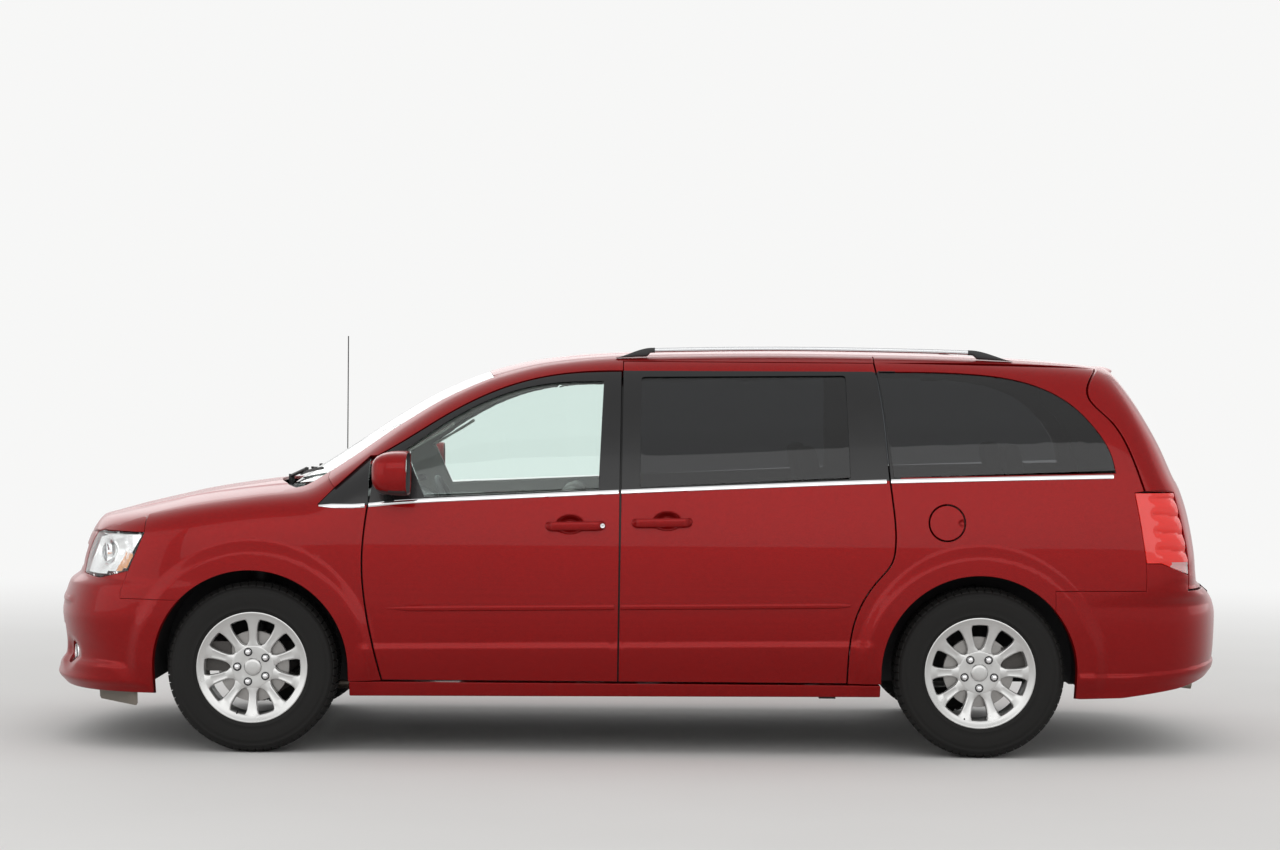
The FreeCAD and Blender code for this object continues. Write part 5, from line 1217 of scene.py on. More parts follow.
def clipped(line: Array, outline: Array, gap: float = 4.0) -> list[Array]:
    """The parts of a line that lie inside an outline."""
    ok = inside(line, drawn_in(outline, gap))
    runs, run = [], []
    for p, good in zip(line, ok):
        if good:
            run.append(p)
            continue
        if len(run) > 1:
            runs.append(np.array(run))
        run = []
    if len(run) > 1:
        runs.append(np.array(run))
    return runs


def arch_run(axle: float, z_low: float, z_high: float, way: int) -> Array:
    """Points up one side of a wheel arch, from z_low to z_high; way is 1 ahead of the axle."""
    z = np.concatenate([[z_low], np.linspace(max(z_low, AXLE_Z), z_high, 40)])
    rise = np.maximum(0.0, z - AXLE_Z)
    return column(axle + ARCH_SHIFT + way * np.sqrt(np.maximum(0.0, ARCH_RADIUS**2 - rise**2)), z)


def arch_over(axle: float, start_z: float, end_z: float) -> Array:
    """Points over a wheel arch from its rear side to its front side, in (x, z), with upright legs."""
    a0 = math.pi - math.asin(min(1.0, max(0.0, (start_z - AXLE_Z) / ARCH_RADIUS)))
    a1 = math.asin(min(1.0, max(0.0, (end_z - AXLE_Z) / ARCH_RADIUS)))
    t = np.linspace(a0, a1, 90)
    curve = column(axle + ARCH_SHIFT + ARCH_RADIUS * np.cos(t), AXLE_Z + ARCH_RADIUS * np.sin(t))
    legs = [[(float(curve[k, 0]), z)] if z < AXLE_Z else np.zeros((0, 2))
            for k, z in ((0, start_z), (-1, end_z))]
    return np.concatenate([legs[0], curve, legs[1]])


def arch_z(axle: float, x: float) -> float:
    """Height of a wheel arch at x."""
    return AXLE_Z + math.sqrt(ARCH_RADIUS**2 - (x - axle - ARCH_SHIFT) ** 2)


def flare_points(axle: float, skin: Skin) -> Array:
    """Points on both sides of the edge of the flare over a wheel, as the skin's own."""
    runs = []
    for r in (FLARE_RADIUS + 5, FLARE_RADIUS - 4, FLARE_RADIUS - 16, FLARE_RADIUS - FLARE_RAMP / 2,
              FLARE_RADIUS - FLARE_RAMP + 8, FLARE_RADIUS - FLARE_RAMP - 6):
        t = np.linspace(0.02, math.pi - 0.02, 110)
        runs.append(column(axle + ARCH_SHIFT + r * np.cos(t), AXLE_Z + r * np.sin(t)))
    return side_rows(skin, np.concatenate(runs))


def screen_edge_y(x: Array) -> Array:
    """Distance of the edge of roof and windscreen from the middle."""
    return ROOF_EDGE_Y + np.maximum(0, x - ahead(-995)) * 0.14


def side_relief(top: Callable, cup: tuple[float, float] | None = None) -> Callable[[Array, Array], Array]:
    """Relief of a side panel: its pressings and, where it has one, its hand recess."""

    def relief(x: Array, w: Array) -> Array:
        """Depth at x and a row."""
        z = row_z(top, x, w)
        depth = pressed(x, z)
        return depth if cup is None else depth + dish(x, z, cup, CUP_HALF, CUP_DEPTH)

    return relief


def between(low: Array, high: Array | None = None, rear: float = -math.inf) -> Callable[[Array], Array]:
    """Zones of a side panel: 1 between two lines along it, ahead of a place, and 0 elsewhere."""

    def zones(c: Array) -> Array:
        """Zone of each point."""
        chosen = (c[:, 1] > np.interp(c[:, 0], low[:, 0], low[:, 1])) & (c[:, 0] > rear)
        if high is not None:
            chosen &= c[:, 1] < np.interp(c[:, 0], high[:, 0], high[:, 1])
        return chosen.astype(int)

    return zones


def above_belt(x: float, rise: float) -> float:
    """Height over the line of the belt trim."""
    return float(BELT_LINE(x)) + rise


def row_line(x: Array, z: Array) -> Array:
    """A line along the side in (x, row)."""
    return side_rows(CABIN_SIDE, column(x, z))


@dataclass
class Bodywork:
    """The painted panels."""

    palette: Palette
    fold: float = 2.5
    lining: float = 20.0

    def front_doors(self) -> None:
        """Front doors with their black window frames and hand recesses."""
        p = self.palette
        seam = loop(smooth(FRONT_EDGE), smooth(FRONT_TOP), (B_POST_X, 1628), B_FOOT)
        seam = side_rows(CABIN_SIDE, drawn_in(seam, SHUT_GAP / 2))
        window = side_rows(CABIN_SIDE, self.front_window())
        xs = np.arange(20.0, 1300.0, 16.0)
        frame_line = row_line(xs, BELT_LINE(xs) + 4)
        extra = np.concatenate([self.cup_points(FRONT_CUP), self.fold_points(120, 1170)])
        panel = Panel(CABIN_SIDE, seam, [window], clipped(frame_line, seam), extra, hem=self.fold,
                      wall=self.lining, relief=side_relief(FORM.cabin_top, FRONT_CUP),
                      zones=between(frame_line))
        settle_pair(panel, "front_door_panel_{}", [p.paint, p.black_frame, p.cabin], "front_door_{}",
                    "body_paint", "front_door_{}")

    @staticmethod
    def cup_points(cup: tuple[float, float]) -> Array:
        """Closer points over a hand recess."""
        return cluster(tuple(side_rows(CABIN_SIDE, np.array([cup]))[0]), (78, 54), 6.0)

    @staticmethod
    def fold_points(x0: float, x1: float) -> Array:
        """Closer points along the low fold."""
        x = np.arange(x0, x1, 16.0)
        rows = [column(x, crease_z(x) + dz) for dz in (3.0, -6.0, -15.0, -24.0, -32.0)]
        return side_rows(CABIN_SIDE, np.concatenate(rows))

    @staticmethod
    def front_window() -> Array:
        """Outline of the front door's glass."""
        return loop(
            (ahead(-722), above_belt(ahead(-722), 16)), (B_POST_X + 96, above_belt(B_POST_X + 96, 13)),
            (B_POST_X + 78, 1584),
            smooth([(B_POST_X + 78, 1584), (ahead(-1270), 1576), (ahead(-1116), 1547), (ahead(-909), 1464),
                    (ahead(-755), 1370), (ahead(-638), 1286)]))

    @staticmethod
    def slide_window() -> Array:
        """Outline of the sliding door's glass."""
        return rounded([(B_POST_X - 80, above_belt(-12, 15)), (C_POST_TOP_X + 112, above_belt(-900, 15)),
                        (C_POST_TOP_X + 126, 1616), (B_POST_X - 84, 1604)], 14)

    @staticmethod
    def quarter_window() -> Array:
        """Outline of the rear side glass."""
        foot = (behind(-575), above_belt(-2012, 14))
        return loop(
            (behind(368), above_belt(-1088, 14)), foot,
            smooth([foot, (behind(-560), 1280), (behind(-488), 1405), (behind(-400), 1496),
                    (behind(-290), 1562), (behind(-150), 1606), (behind(30), 1628), (behind(422), 1634)]))

    def sliding_doors(self) -> None:
        """Sliding side doors."""
        p = self.palette
        seam = loop(smooth(SLIDE_REAR), B_FOOT, (B_POST_X - 3, SLIDE_TOP_Z))
        seam = side_rows(CABIN_SIDE, drawn_in(seam, SHUT_GAP / 2))
        window = side_rows(CABIN_SIDE, self.slide_window())
        xs = np.arange(-1130.0, 90.0, 16.0)
        low, high = row_line(xs, BELT_LINE(xs) + 4), row_line(xs, 1629 + (B_POST_X - xs) * 0.004)
        extra = np.concatenate([self.cup_points(SLIDE_CUP), self.fold_points(-1010, 60)])
        panel = Panel(CABIN_SIDE, seam, [window], clipped(low, seam) + clipped(high, seam), extra,
                      hem=self.fold, wall=self.lining, relief=side_relief(FORM.cabin_top, SLIDE_CUP),
                      zones=between(low, high))
        settle_pair(panel, "sliding_door_panel_{}", [p.paint, p.black_frame, p.cabin], "body", "body_paint",
                    "sliding_doors")

    def quarters(self) -> None:
        """Rear sides, from the sliding doors to the tail lamps."""
        p = self.palette
        front = smooth([(x - SHUT_GAP / 2, z) for x, z in SLIDE_REAR])
        hatch = smooth([(x + SHUT_GAP, z) for x, z in HATCH_SIDE])[::-1]
        lamp = smooth(LAMP_FRONT)[::-1]
        lower = np.array([(behind(563) - 3, SILL_TOP_Z)])
        arch = arch_over(REAR_AXLE_X, arch_z(REAR_AXLE_X, REAR_BUMPER_X), SILL_TOP_Z)[::-1]
        step_z = REAR_BUMPER_Z + 1
        side = loop(front, lower, arch, (REAR_BUMPER_X, step_z), (QUARTER_REAR_X, step_z), lamp, hatch)
        x_top = np.linspace(HATCH_X + SHUT_GAP, C_POST_TOP_X - 3, 60)
        outline = loop(side_rows(CABIN_SIDE, side), reach_rows(CABIN_SIDE, x_top, ROOF_EDGE_Y + 0.3))
        window = side_rows(CABIN_SIDE, self.quarter_window())
        cap = side_rows(CABIN_SIDE, circle(FUEL_DOOR, FUEL_DOOR_RADIUS + SHUT_GAP))
        xs = np.arange(-1150.0, C_POST_TOP_X - 10.0, 6.0)
        low, high = row_line(xs, BELT_LINE(xs) + 6), row_line(xs, 1636.0 + 0 * xs)
        lines = clipped(low, outline) + clipped(high, outline)
        for side, holes in ((Side.LEFT, [window, cap]), (Side.RIGHT, [window])):
            panel = Panel(CABIN_SIDE, outline, holes, lines, flare_points(REAR_AXLE_X, CABIN_SIDE),
                          hem=self.fold, wall=30.0, relief=side_relief(FORM.cabin_top),
                          zones=between(low, high, -1120.0))
            piece = panel.make(f"quarter_panel_{side.word}", [p.paint, p.black_frame, p.back], side)
            settle(piece, "body", "body_paint", "quarter_panels")
        self.fuel_flap()

    def fuel_flap(self) -> None:
        """Fuel door with its finger notch."""
        p = self.palette
        finger = (FUEL_DOOR[0] - 66.0, FUEL_DOOR[1])

        def notch(x: Array, w: Array) -> Array:
            """Depth at x and a row."""
            return dish(x, row_z(FORM.cabin_top, x, w), finger, (22, 17), 8)

        at = side_rows(CABIN_SIDE, np.array([finger]))[0]
        disc = side_rows(CABIN_SIDE, circle(FUEL_DOOR, FUEL_DOOR_RADIUS))
        flap = Panel(CABIN_SIDE, disc, extra=cluster(tuple(at), (26, 22), 4.0), hem=1.6, wall=10.0,
                     relief=notch)
        settle(flap.make("fuel_flap", [p.paint, p.back]), "fuel_door", "body_paint", "fuel_door")

    def wings(self) -> None:
        """Front wings."""
        p = self.palette
        rear = smooth([(x + SHUT_GAP / 2, z) for x, z in FRONT_EDGE[:5]][::-1])
        over_wheel = arch_over(FRONT_AXLE_X, SILL_TOP_Z - 5, BUMPER_TOP_Z + 0.6)
        side = loop(rear, over_wheel, (WING_FRONT_X, BUMPER_TOP_Z + 0.6), (WING_FRONT_X, WING_STEP_Z),
                    LAMP_HEEL, LAMP_CORNER)
        # loop() closes itself, so the run back to its start is cut off: the top edge follows the bonnet
        rows = side_rows(WING_SIDE, side_open(side, LAMP_CORNER))
        x_top = np.concatenate([np.linspace(ahead(-300), ahead(-60), 20),
                                np.linspace(ahead(-50), ahead(466), 40)])
        blend = ease((x_top - ahead(-140)) / 60)
        y_top = screen_edge_y(x_top) * (1 - blend) + (774.0 + SHUT_GAP) * blend
        y_top = y_top + np.where(x_top < ahead(-140), 0.3, 0.0)
        top = reach_rows(WING_SIDE, x_top[::-1], y_top[::-1])
        sail = side_rows(WING_SIDE, np.array([(ahead(-300), 1163.0), (ahead(-338), 1123.0),
                                              (ahead(-270), 1052.0)]))
        panel = Panel(WING_SIDE, loop(rows, top, sail), extra=flare_points(FRONT_AXLE_X, WING_SIDE),
                      hem=self.fold, wall=16.0, relief=side_relief(FORM.wing_top))
        settle_pair(panel, "front_wing_{}", [p.paint, p.back], "body", "body_paint", "front_wings")

    def arch_liners(self) -> None:
        """Bands that carry the inner wings out to the edges of the outer panels."""
        t = np.linspace(-0.1, math.pi + 0.1, 70)
        for name, axle, skin in (("arch_liner_front_{}", FRONT_AXLE_X, WING_SIDE),
                                 ("arch_liner_rear_{}", REAR_AXLE_X, CABIN_SIDE)):
            rings = []
            for radius in (LINER_RADIUS + 1, LINER_RADIUS + 5):
                rings.append(column(axle + radius * np.cos(t), LINER_Y, AXLE_Z + radius * np.sin(t)))
            for radius in (ARCH_RADIUS + 9, ARCH_RADIUS + 5):
                at = column(axle + ARCH_SHIFT + radius * np.cos(t), AXLE_Z + radius * np.sin(t))
                rows = side_rows(skin, at)
                rings.append(skin(rows[:, 0], rows[:, 1], 18.0))
            body = Body()
            body.grid(np.array(rings).transpose(1, 0, 2), 0, wrap_v=True, cap_u=True)
            settle_pair(body, name, [self.palette.underseal], "body", "black_trim")

    def roof_sides(self) -> None:
        """Windscreen posts and roof sides."""
        p = self.palette
        over_slide = smooth([(C_POST_TOP_X + 0.6, SLIDE_TOP_Z), (B_POST_X - 3, SLIDE_TOP_Z)])
        over_door = [(x, z + 3) for x, z in reversed(FRONT_TOP)][:-1]
        post = smooth([(B_POST_X - 3, 1631.0), *over_door, (ahead(-517), 1261)])
        foot = np.array([(ahead(-484), 1258.6), (ahead(-338), 1123.6), (ahead(-300.6), 1163.6)])
        lower = np.concatenate([over_slide, post, foot])
        x_top = np.linspace(ahead(-300.6), C_POST_TOP_X + 0.6, 150)
        top = reach_rows(CABIN_SIDE, x_top, screen_edge_y(x_top) + 0.3)
        panel = Panel(CABIN_SIDE, loop(side_rows(CABIN_SIDE, densified(lower)), top), hem=1.5, wall=60.0)
        settle_pair(panel, "roof_side_{}", [p.paint, p.headlining], "body", "body_paint", "cant_rails")

    def sills(self) -> None:
        """Sills under the doors."""
        p = self.palette
        x0, x1 = behind(422), ahead(-412)
        corners = [(x0, SILL_BOTTOM_Z + 6), (x1, SILL_BOTTOM_Z - 6), (x1, SILL_TOP_Z - 6),
                   (x0, SILL_TOP_Z - 6)]
        panel = Panel(CABIN_SIDE, side_rows(CABIN_SIDE, rounded(corners, 6)), hem=4.0, wall=60.0)
        settle_pair(panel, "sill_{}", [p.paint, p.underseal], "body", "body_paint", "sills")

    def bonnet(self) -> None:
        """Bonnet with its two raised folds."""
        p = self.palette
        ys = np.linspace(-774, 774, 111)
        rear = column(BONNET_REAR_X - 3e-4 * ys * ys, ys)
        nose_y = np.concatenate([[774, 760, 738, 710], np.linspace(690, 0, 40)])
        nose = column(FRONT_AXLE_X + BONNET_FRONT(np.minimum(nose_y, 774)), nose_y)
        outline = loop(rear, nose, (nose * [1, -1])[::-1][1:])

        def relief(x: Array, y: Array) -> Array:
            """Depth at x and y."""
            line = 470 - 0.144 * np.maximum(0.0, x - FRONT_AXLE_X)
            fade = ease((ahead(770) - x) / 260)
            return 5.0 * ease((np.abs(y) - line) / 46) * fade

        panel = Panel(BONNET_SKIN, outline, hem=self.fold, wall=14.0, relief=relief, outward=UPWARD,
                      step=19.0)
        settle(panel.make("bonnet_panel", [p.paint, p.underseal]), "bonnet", "body_paint", "bonnet")

    def roof(self) -> None:
        """Roof panel with two shallow channels."""
        p = self.palette
        ys = np.linspace(-ROOF_EDGE_Y, ROOF_EDGE_Y, 81)
        rear = column(HATCH_X + SHUT_GAP / 2 + ys * 0, ys)
        front = column(SCREEN_TOP_X - 0.3 - 1.2e-4 * ys * ys, ys)[::-1]
        outline = loop(rear, front)

        def relief(x: Array, y: Array) -> Array:
            """Depth at x and y."""
            swage = sum(ease((38 - np.abs(np.abs(y) - c)) / 26) for c in (150.0, 330.0))
            ends = ease((x + 1860) / 120) * ease((420 - x) / 160)
            channel = ease((26 - np.abs(np.abs(y) - 556)) / 14)
            return 3.0 * swage * ends + 4.0 * channel * ease((x + 1960) / 60)

        panel = Panel(ROOF_SKIN, outline, hem=1.5, wall=20.0, relief=relief, outward=UPWARD, step=18.0)
        settle(panel.make("roof_skin", [p.paint, p.headlining]), "body", "body_paint", "roof_panel")


GRILLE = ((500.0, 752.0), (520.0, 850.0))
INTAKE = ((470.0, 335.0), (520.0, 505.0))
LAMP_TOP_Z = 924.0
LAMP_INNER_Y = 596.0


def nose_at_x(z: Array, x: Array) -> Array:
    """Rows of the nose where its skin stands at x, in (row, z)."""
    w = solve(lambda t: x - nose_skin(t, z, 0.0)[:, 0], 0.0, NOSE_ROW * math.radians(88), len(z))
    return column(w, z)


def nose_at_y(z: Array, y: Array) -> Array:
    """Rows of the nose where its skin stands at y, in (row, z)."""
    w = solve(lambda t: nose_skin(t, z, 0.0)[:, 1] - y, 0.0, NOSE_ROW * math.radians(60), len(z))
    return column(w, z)


def nose_plan(points: Array) -> Array:
    """(x, y) points of the nose's upper edge as (row, z)."""
    w = np.arctan2(points[:, 1], points[:, 0] - FRONT_AXLE_X) * NOSE_ROW
    far = np.hypot(points[:, 0] - FRONT_AXLE_X, points[:, 1])

    def reach(z: Array) -> Array:
        """How far short of the points the skin stands."""
        p = nose_skin(w, z, 0.0)
        return far - np.hypot(p[:, 0] - FRONT_AXLE_X, p[:, 1])

    return column(w, solve(reach, 700.0, 1040.0, len(points)))


def tail_at_x(v: Array, x: Array) -> Array:
    """Rows of the tail where its skin stands at x, in (row, v)."""
    w = solve(lambda t: tail_skin(t, v, 0.0)[:, 0] - x, 0.0, TAIL_ROW * math.radians(86), len(v))
    return column(w, v)


def rings_about(centre: Array, way: Array, pairs: Sequence[tuple[float, float]], count: int) -> Array:
    """Rings of (radius, distance) pairs about a level line from a centre."""
    side = np.array([-way[1], way[0], 0.0])
    t = turns(count)[:, None]
    spoke = side * np.cos(t) + np.array(UPWARD) * np.sin(t)
    return np.array([centre + way * d + spoke * r for r, d in pairs])


def mirrored_rows(points: Array) -> Array:
    """Rows of the other side, in the opposite order."""
    return (points * [-1, 1])[::-1]


@dataclass
class Ends:
    """Bumpers, lamps, grilles and the rear hatch."""

    palette: Palette
    lamp_side: tuple = (LAMP_CORNER, LAMP_HEEL, (ahead(674), 726.0), (ahead(760), 733.0))
    fog: tuple[float, float] = (620.0, 392.0)

    def lamp_foot(self) -> Array:
        """Lower edge of the left headlamp, from its rear corner inwards, in (row, z)."""
        pts = densified(np.array(self.lamp_side, float))
        rows = nose_at_x(pts[:, 1], pts[:, 0])
        end = nose_at_y(np.array([736.0]), np.array([LAMP_INNER_Y - 9.0]))
        rows = rows[rows[:, 0] > end[0, 0] + 4]
        return np.concatenate([rows, densified(np.array([rows[-1], end[0]]))[1:]])

    def lamp_inner(self) -> Array:
        """Inner edge of the left headlamp, from its foot up to the bonnet, in (row, z)."""
        z = np.linspace(740.0, 905.0, 16)
        return nose_at_y(z, LAMP_INNER_Y - 14 + 28 * (z - 700) / 300)

    def bonnet_line(self, y0: float, y1: float, gap: float) -> Array:
        """The bonnet's front edge between two distances from the middle, in (row, z)."""
        y = np.linspace(y0, y1, 60)
        return nose_plan(column(FRONT_AXLE_X + BONNET_FRONT(np.abs(y)) + gap, y))

    def lamp_top(self) -> Array:
        """Upper edge of the left headlamp: along the bonnet, then level back to the wing, in (row, z)."""
        line = self.bonnet_line(LAMP_INNER_Y + 4, 774.0, SHUT_GAP)
        line = line[line[:, 1] < LAMP_TOP_Z - 2]
        end = nose_at_x(np.array([LAMP_TOP_Z]), np.array([ahead(470.5)]))[0]
        return np.concatenate([line, densified(np.array([(line[-1, 0] + 6, LAMP_TOP_Z), end]))])

    def brows(self) -> None:
        """Painted slips between the headlamps and the bonnet's corners."""
        line = self.bonnet_line(600.0, 738.0, SHUT_GAP)
        line = line[line[:, 1] > LAMP_TOP_Z + 3]
        upper = np.concatenate([line, brow_rear()])
        foot_z = LAMP_TOP_Z + 2.5
        upper = upper[upper[:, 1] > foot_z]
        foot = densified(np.array([(upper[-1, 0], foot_z), (line[0, 0] - 4, foot_z)]))
        panel = Panel(nose_skin, loop(upper, foot), step=12.0, hem=1.5, wall=14.0, outward=FORWARD)
        settle_pair(panel, "lamp_brow_{}", [self.palette.paint, self.palette.back], "body", "body_paint")

    def front_bumper(self) -> None:
        """Front bumper with its mouths, shelf and lower lip."""
        p = self.palette
        arch = arch_run(FRONT_AXLE_X, 246.0, BUMPER_TOP_Z, 1)
        arch = arch[arch[:, 1] <= BUMPER_TOP_Z]
        arch_rows = nose_at_x(arch[:, 1], arch[:, 0])
        seam = densified(np.array([(arch[-1, 0], BUMPER_TOP_Z), (WING_FRONT_X, BUMPER_TOP_Z),
                                   (WING_FRONT_X, WING_STEP_Z), LAMP_HEEL]))
        seam_rows = nose_at_x(seam[:, 1], seam[:, 0])
        foot = self.lamp_foot()
        foot = foot[foot[:, 0] < seam_rows[-1, 0] - 2]
        inner = self.lamp_inner()
        top_line = self.bonnet_line(LAMP_INNER_Y + 4, 0.0, SHUT_GAP)
        inner = inner[inner[:, 1] < top_line[0, 1] - 6]
        half = np.concatenate([arch_rows, seam_rows[1:], foot, inner, top_line])
        outline = loop(half, mirrored_rows(half)[1:])
        fog = circle(self.fog, 46, 40)
        fog_rows = nose_at_y(fog[:, 1], fog[:, 0])
        fog_row = float(np.mean(fog_rows[:, 0]))
        holes = [self.mouth(GRILLE), self.mouth(INTAKE), fog_rows, mirrored_rows(fog_rows)]

        def relief(w: Array, z: Array) -> Array:
            """Depth at a row and z: the lip, the shelf over it, the ridge and the fog lamps' scoops."""
            turn = np.abs(w) / NOSE_ROW
            reach = 1 - ease((turn - 1.0 + (z - 300) * 0.0012) / 0.14)
            lip = np.clip((374 - z) / 24, 0, 1) * ease((z - 262) / 34) * reach
            lip = lip * (13 * ease((turn - 0.12) / 0.3) - 1.5)
            above = ease((z - 366) / 16) * (1 - ease((z - 400) / 120)) * reach * 4.0
            under = ease((286 - z) / 30)
            ridge = 5.0 * (1 - ease((np.abs(z - 618 - 4 * turn) - 5) / 12))
            ridge = ridge * ease((turn - 0.15) / 0.1) * (1 - ease((turn - 0.62) / 0.1))
            scoop = dish(np.abs(w), z, (fog_row, self.fog[1]), (120, 82), 16)
            return above - lip - ridge + under + scoop

        levels = (266, 276, 286, 296, 310, 326, 340, 349, 353, 361, 370, 375, 382, 394, 606, 612, 618, 624,
                  630, 694, 700, 706, 712, 720, 730)
        extra = np.concatenate([column(np.arange(-1130.0, 1130.0, 14.0), z) for z in levels])
        panel = Panel(nose_skin, outline, holes, extra=extra, hem=3.0, wall=16.0, relief=relief,
                      outward=FORWARD)
        settle(panel.make("front_bumper_skin", [p.paint, p.black_plastic]), "body", "body_paint",
               "front_bumper")
        self.fogs(fog_row)
        self.air_dam()

    @staticmethod
    def mouth(corners: Sequence[tuple[float, float]], radius: float = 26.0) -> Array:
        """A mouth across the nose with rounded corners, in (row, z)."""
        (y0, z0), (y1, z1) = corners
        shape = rounded([(-y0, z0), (y0, z0), (y1, z1), (-y1, z1)], radius)
        rows = nose_at_y(shape[:, 1], np.abs(shape[:, 0]))
        return column(np.sign(shape[:, 0]) * rows[:, 0], shape[:, 1])

    def fogs(self, row: float) -> None:
        """Round fog lamps low in the bumper."""
        p = self.palette
        centre = nose_skin(np.array([row]), np.array([self.fog[1]]), 30.0)[0]
        way = np.array([math.cos(0.35), math.sin(0.35), 0.0])
        body = Body()
        housing = ((56, -16), (56, 6), (50, 10), (44, 8), (43, 2), (30, -6), (12, -12), (2, -13))
        body.grid(rings_about(centre, way, housing, 36), 0, wrap_v=True, cap_u=True)
        cover = ((42, 3), (42, 6), (30, 10), (12, 12.5), (1, 13))
        body.grid(rings_about(centre, way, cover, 36), 1, wrap_v=True, cap_u=True)
        settle_pair(body, "fog_lamp_{}", [p.reflector, p.lamp_glass], "body", "lamp_clear")

    def air_dam(self) -> None:
        """Dull flexible dam under the front bumper, ahead of each wheel."""
        body = Body()
        for s in (1, -1):
            t = np.linspace(0, 1, 14)
            x = 2330 - 190 * t
            y = s * (600 + 250 * t)
            profile = ((256, 0), (198, -4), (188, -10), (188, -16), (198, -22), (256, -20))
            rows = [column(x + d, y, z + t * 0) for z, d in profile]
            body.grid(np.array(rows).transpose(1, 0, 2), 0, wrap_v=True, cap_u=True)
        settle(body.make("air_dam", [self.palette.valance]), "body", "black_trim")

    def grilles(self) -> None:
        """Upper grille of bright bars and a dark lower mesh, before dark linings."""
        p = self.palette
        body = Body()
        for count, corners, slot, thick in ((5, GRILLE, 0, 7.0), (6, INTAKE, 1, 6.0)):
            (y0, z0), (y1, z1) = corners
            z = (z0 - 4 + (z1 - z0 + 8) * np.arange(count + 1) / count)[:, None]
            half = y0 + (y1 - y0) * (z - z0) / (z1 - z0) + 3
            section = ((-thick, 20), (-thick * 0.8, 12), (0, 9), (thick * 0.8, 12), (thick, 20),
                       (thick * 0.4, 28), (-thick * 0.4, 28))
            self.bars(body, half * np.linspace(-1, 1, 60), z, [(0, dz, depth) for dz, depth in section],
                      slot)
            y = (np.arange(-12, 13) * (y0 / 12.5))[:, None]
            section = ((-2.5, 24), (-2.5, 17), (2.5, 17), (2.5, 24))
            self.bars(body, y, np.linspace(z0 - 4, z1 + 4, 8), [(dw, 0, depth) for dw, depth in section], 1)
        settle(body.make("grille_bars", [p.chrome, p.black_plastic]), "body", "chrome", "grilles")
        for name, corners in (("upper_mouth_lining", GRILLE), ("lower_mouth_lining", INTAKE)):
            lining = Panel(nose_skin, self.mouth(corners), step=30.0, hem=1.0, wall=3.0, proud=-42.0,
                           outward=FORWARD)
            settle(lining.make(name, [p.black_plastic]), "body", "black_trim")

    @staticmethod
    def bars(body: Body, y: Array, z: Array, section: Sequence[tuple[float, float, float]],
             slot: int) -> None:
        """Adds bars along lines of the nose, from a section of (row step, height step, depth) points."""
        y, z = np.broadcast_arrays(y, z)
        rows = nose_at_y(z.ravel(), np.abs(y).ravel())[:, 0] * np.sign(y + 1e-6).ravel()
        rings = [nose_skin(rows + dw, z.ravel() + dz, depth).reshape(*y.shape, 3)
                 for dw, dz, depth in section]
        for ring in np.stack(rings, axis=1):
            body.grid(ring, slot, wrap_u=True)

    def headlamps(self) -> None:
        """Headlamps: a dark-edged bowl with a bright reflector under a clear cover."""
        p = self.palette
        top = self.lamp_top()
        inner = self.lamp_inner()
        inner = inner[inner[:, 1] < top[0, 1] - 2]
        outline = drawn_in(loop(self.lamp_foot(), inner, top), 0.8)
        cover = Panel(nose_skin, outline, step=16.0, hem=2.0, wall=4.0, proud=-1.0, outward=FORWARD)
        mid = outline.mean(0)

        def bowl(w: Array, z: Array) -> Array:
            """Depth of the two hollows at a row and z."""
            main = 46 * np.exp(-(((w - mid[0] + 30) / 95) ** 2 + ((z - 828) / 62) ** 2))
            return main + 34 * np.exp(-(((w - mid[0] - 95) / 55) ** 2 + ((z - 835) / 60) ** 2))

        def zones(c: Array) -> Array:
            """Zone of each point: 1 in the dark edge, 2 in the amber corner."""
            corner = (c[:, 0] > mid[0] + 92) & (c[:, 1] < 836)
            edge = ~inside(c, drawn_in(outline, 9.0))
            return np.where(edge, 1, np.where(corner, 2, 0))

        shell = Panel(nose_skin, drawn_in(outline, 2.5), step=9.0, hem=2.0, wall=10.0, proud=-12.0,
                      relief=bowl, zones=zones, outward=FORWARD)
        centre = nose_skin(np.array([mid[0] - 30]), np.array([828.0]), 38.0)[0]
        way = np.array([0.93, 0.36, 0.0])
        bulb = Body()
        bulb.grid(rings_about(centre, way, ((40, -14), (43, 6), (40, 9), (36, 8)), 32), 0, wrap_v=True)
        lens = ((37, -8), (36, 6), (30, 15), (18, 21), (2, 24))
        bulb.grid(rings_about(centre, way, lens, 32), 1, wrap_v=True, cap_u=True)
        settle_pair(cover, "headlamp_cover_{}", [p.lamp_glass], "body", "lamp_clear", "headlamps")
        finishes = [p.reflector, p.black_plastic, p.amber, p.black_plastic]
        settle_pair(shell, "headlamp_bowl_{}", finishes, "body", "lamp_clear")
        settle_pair(bulb, "headlamp_projector_{}", [p.chrome, p.lamp_glass], "body", "lamp_clear")

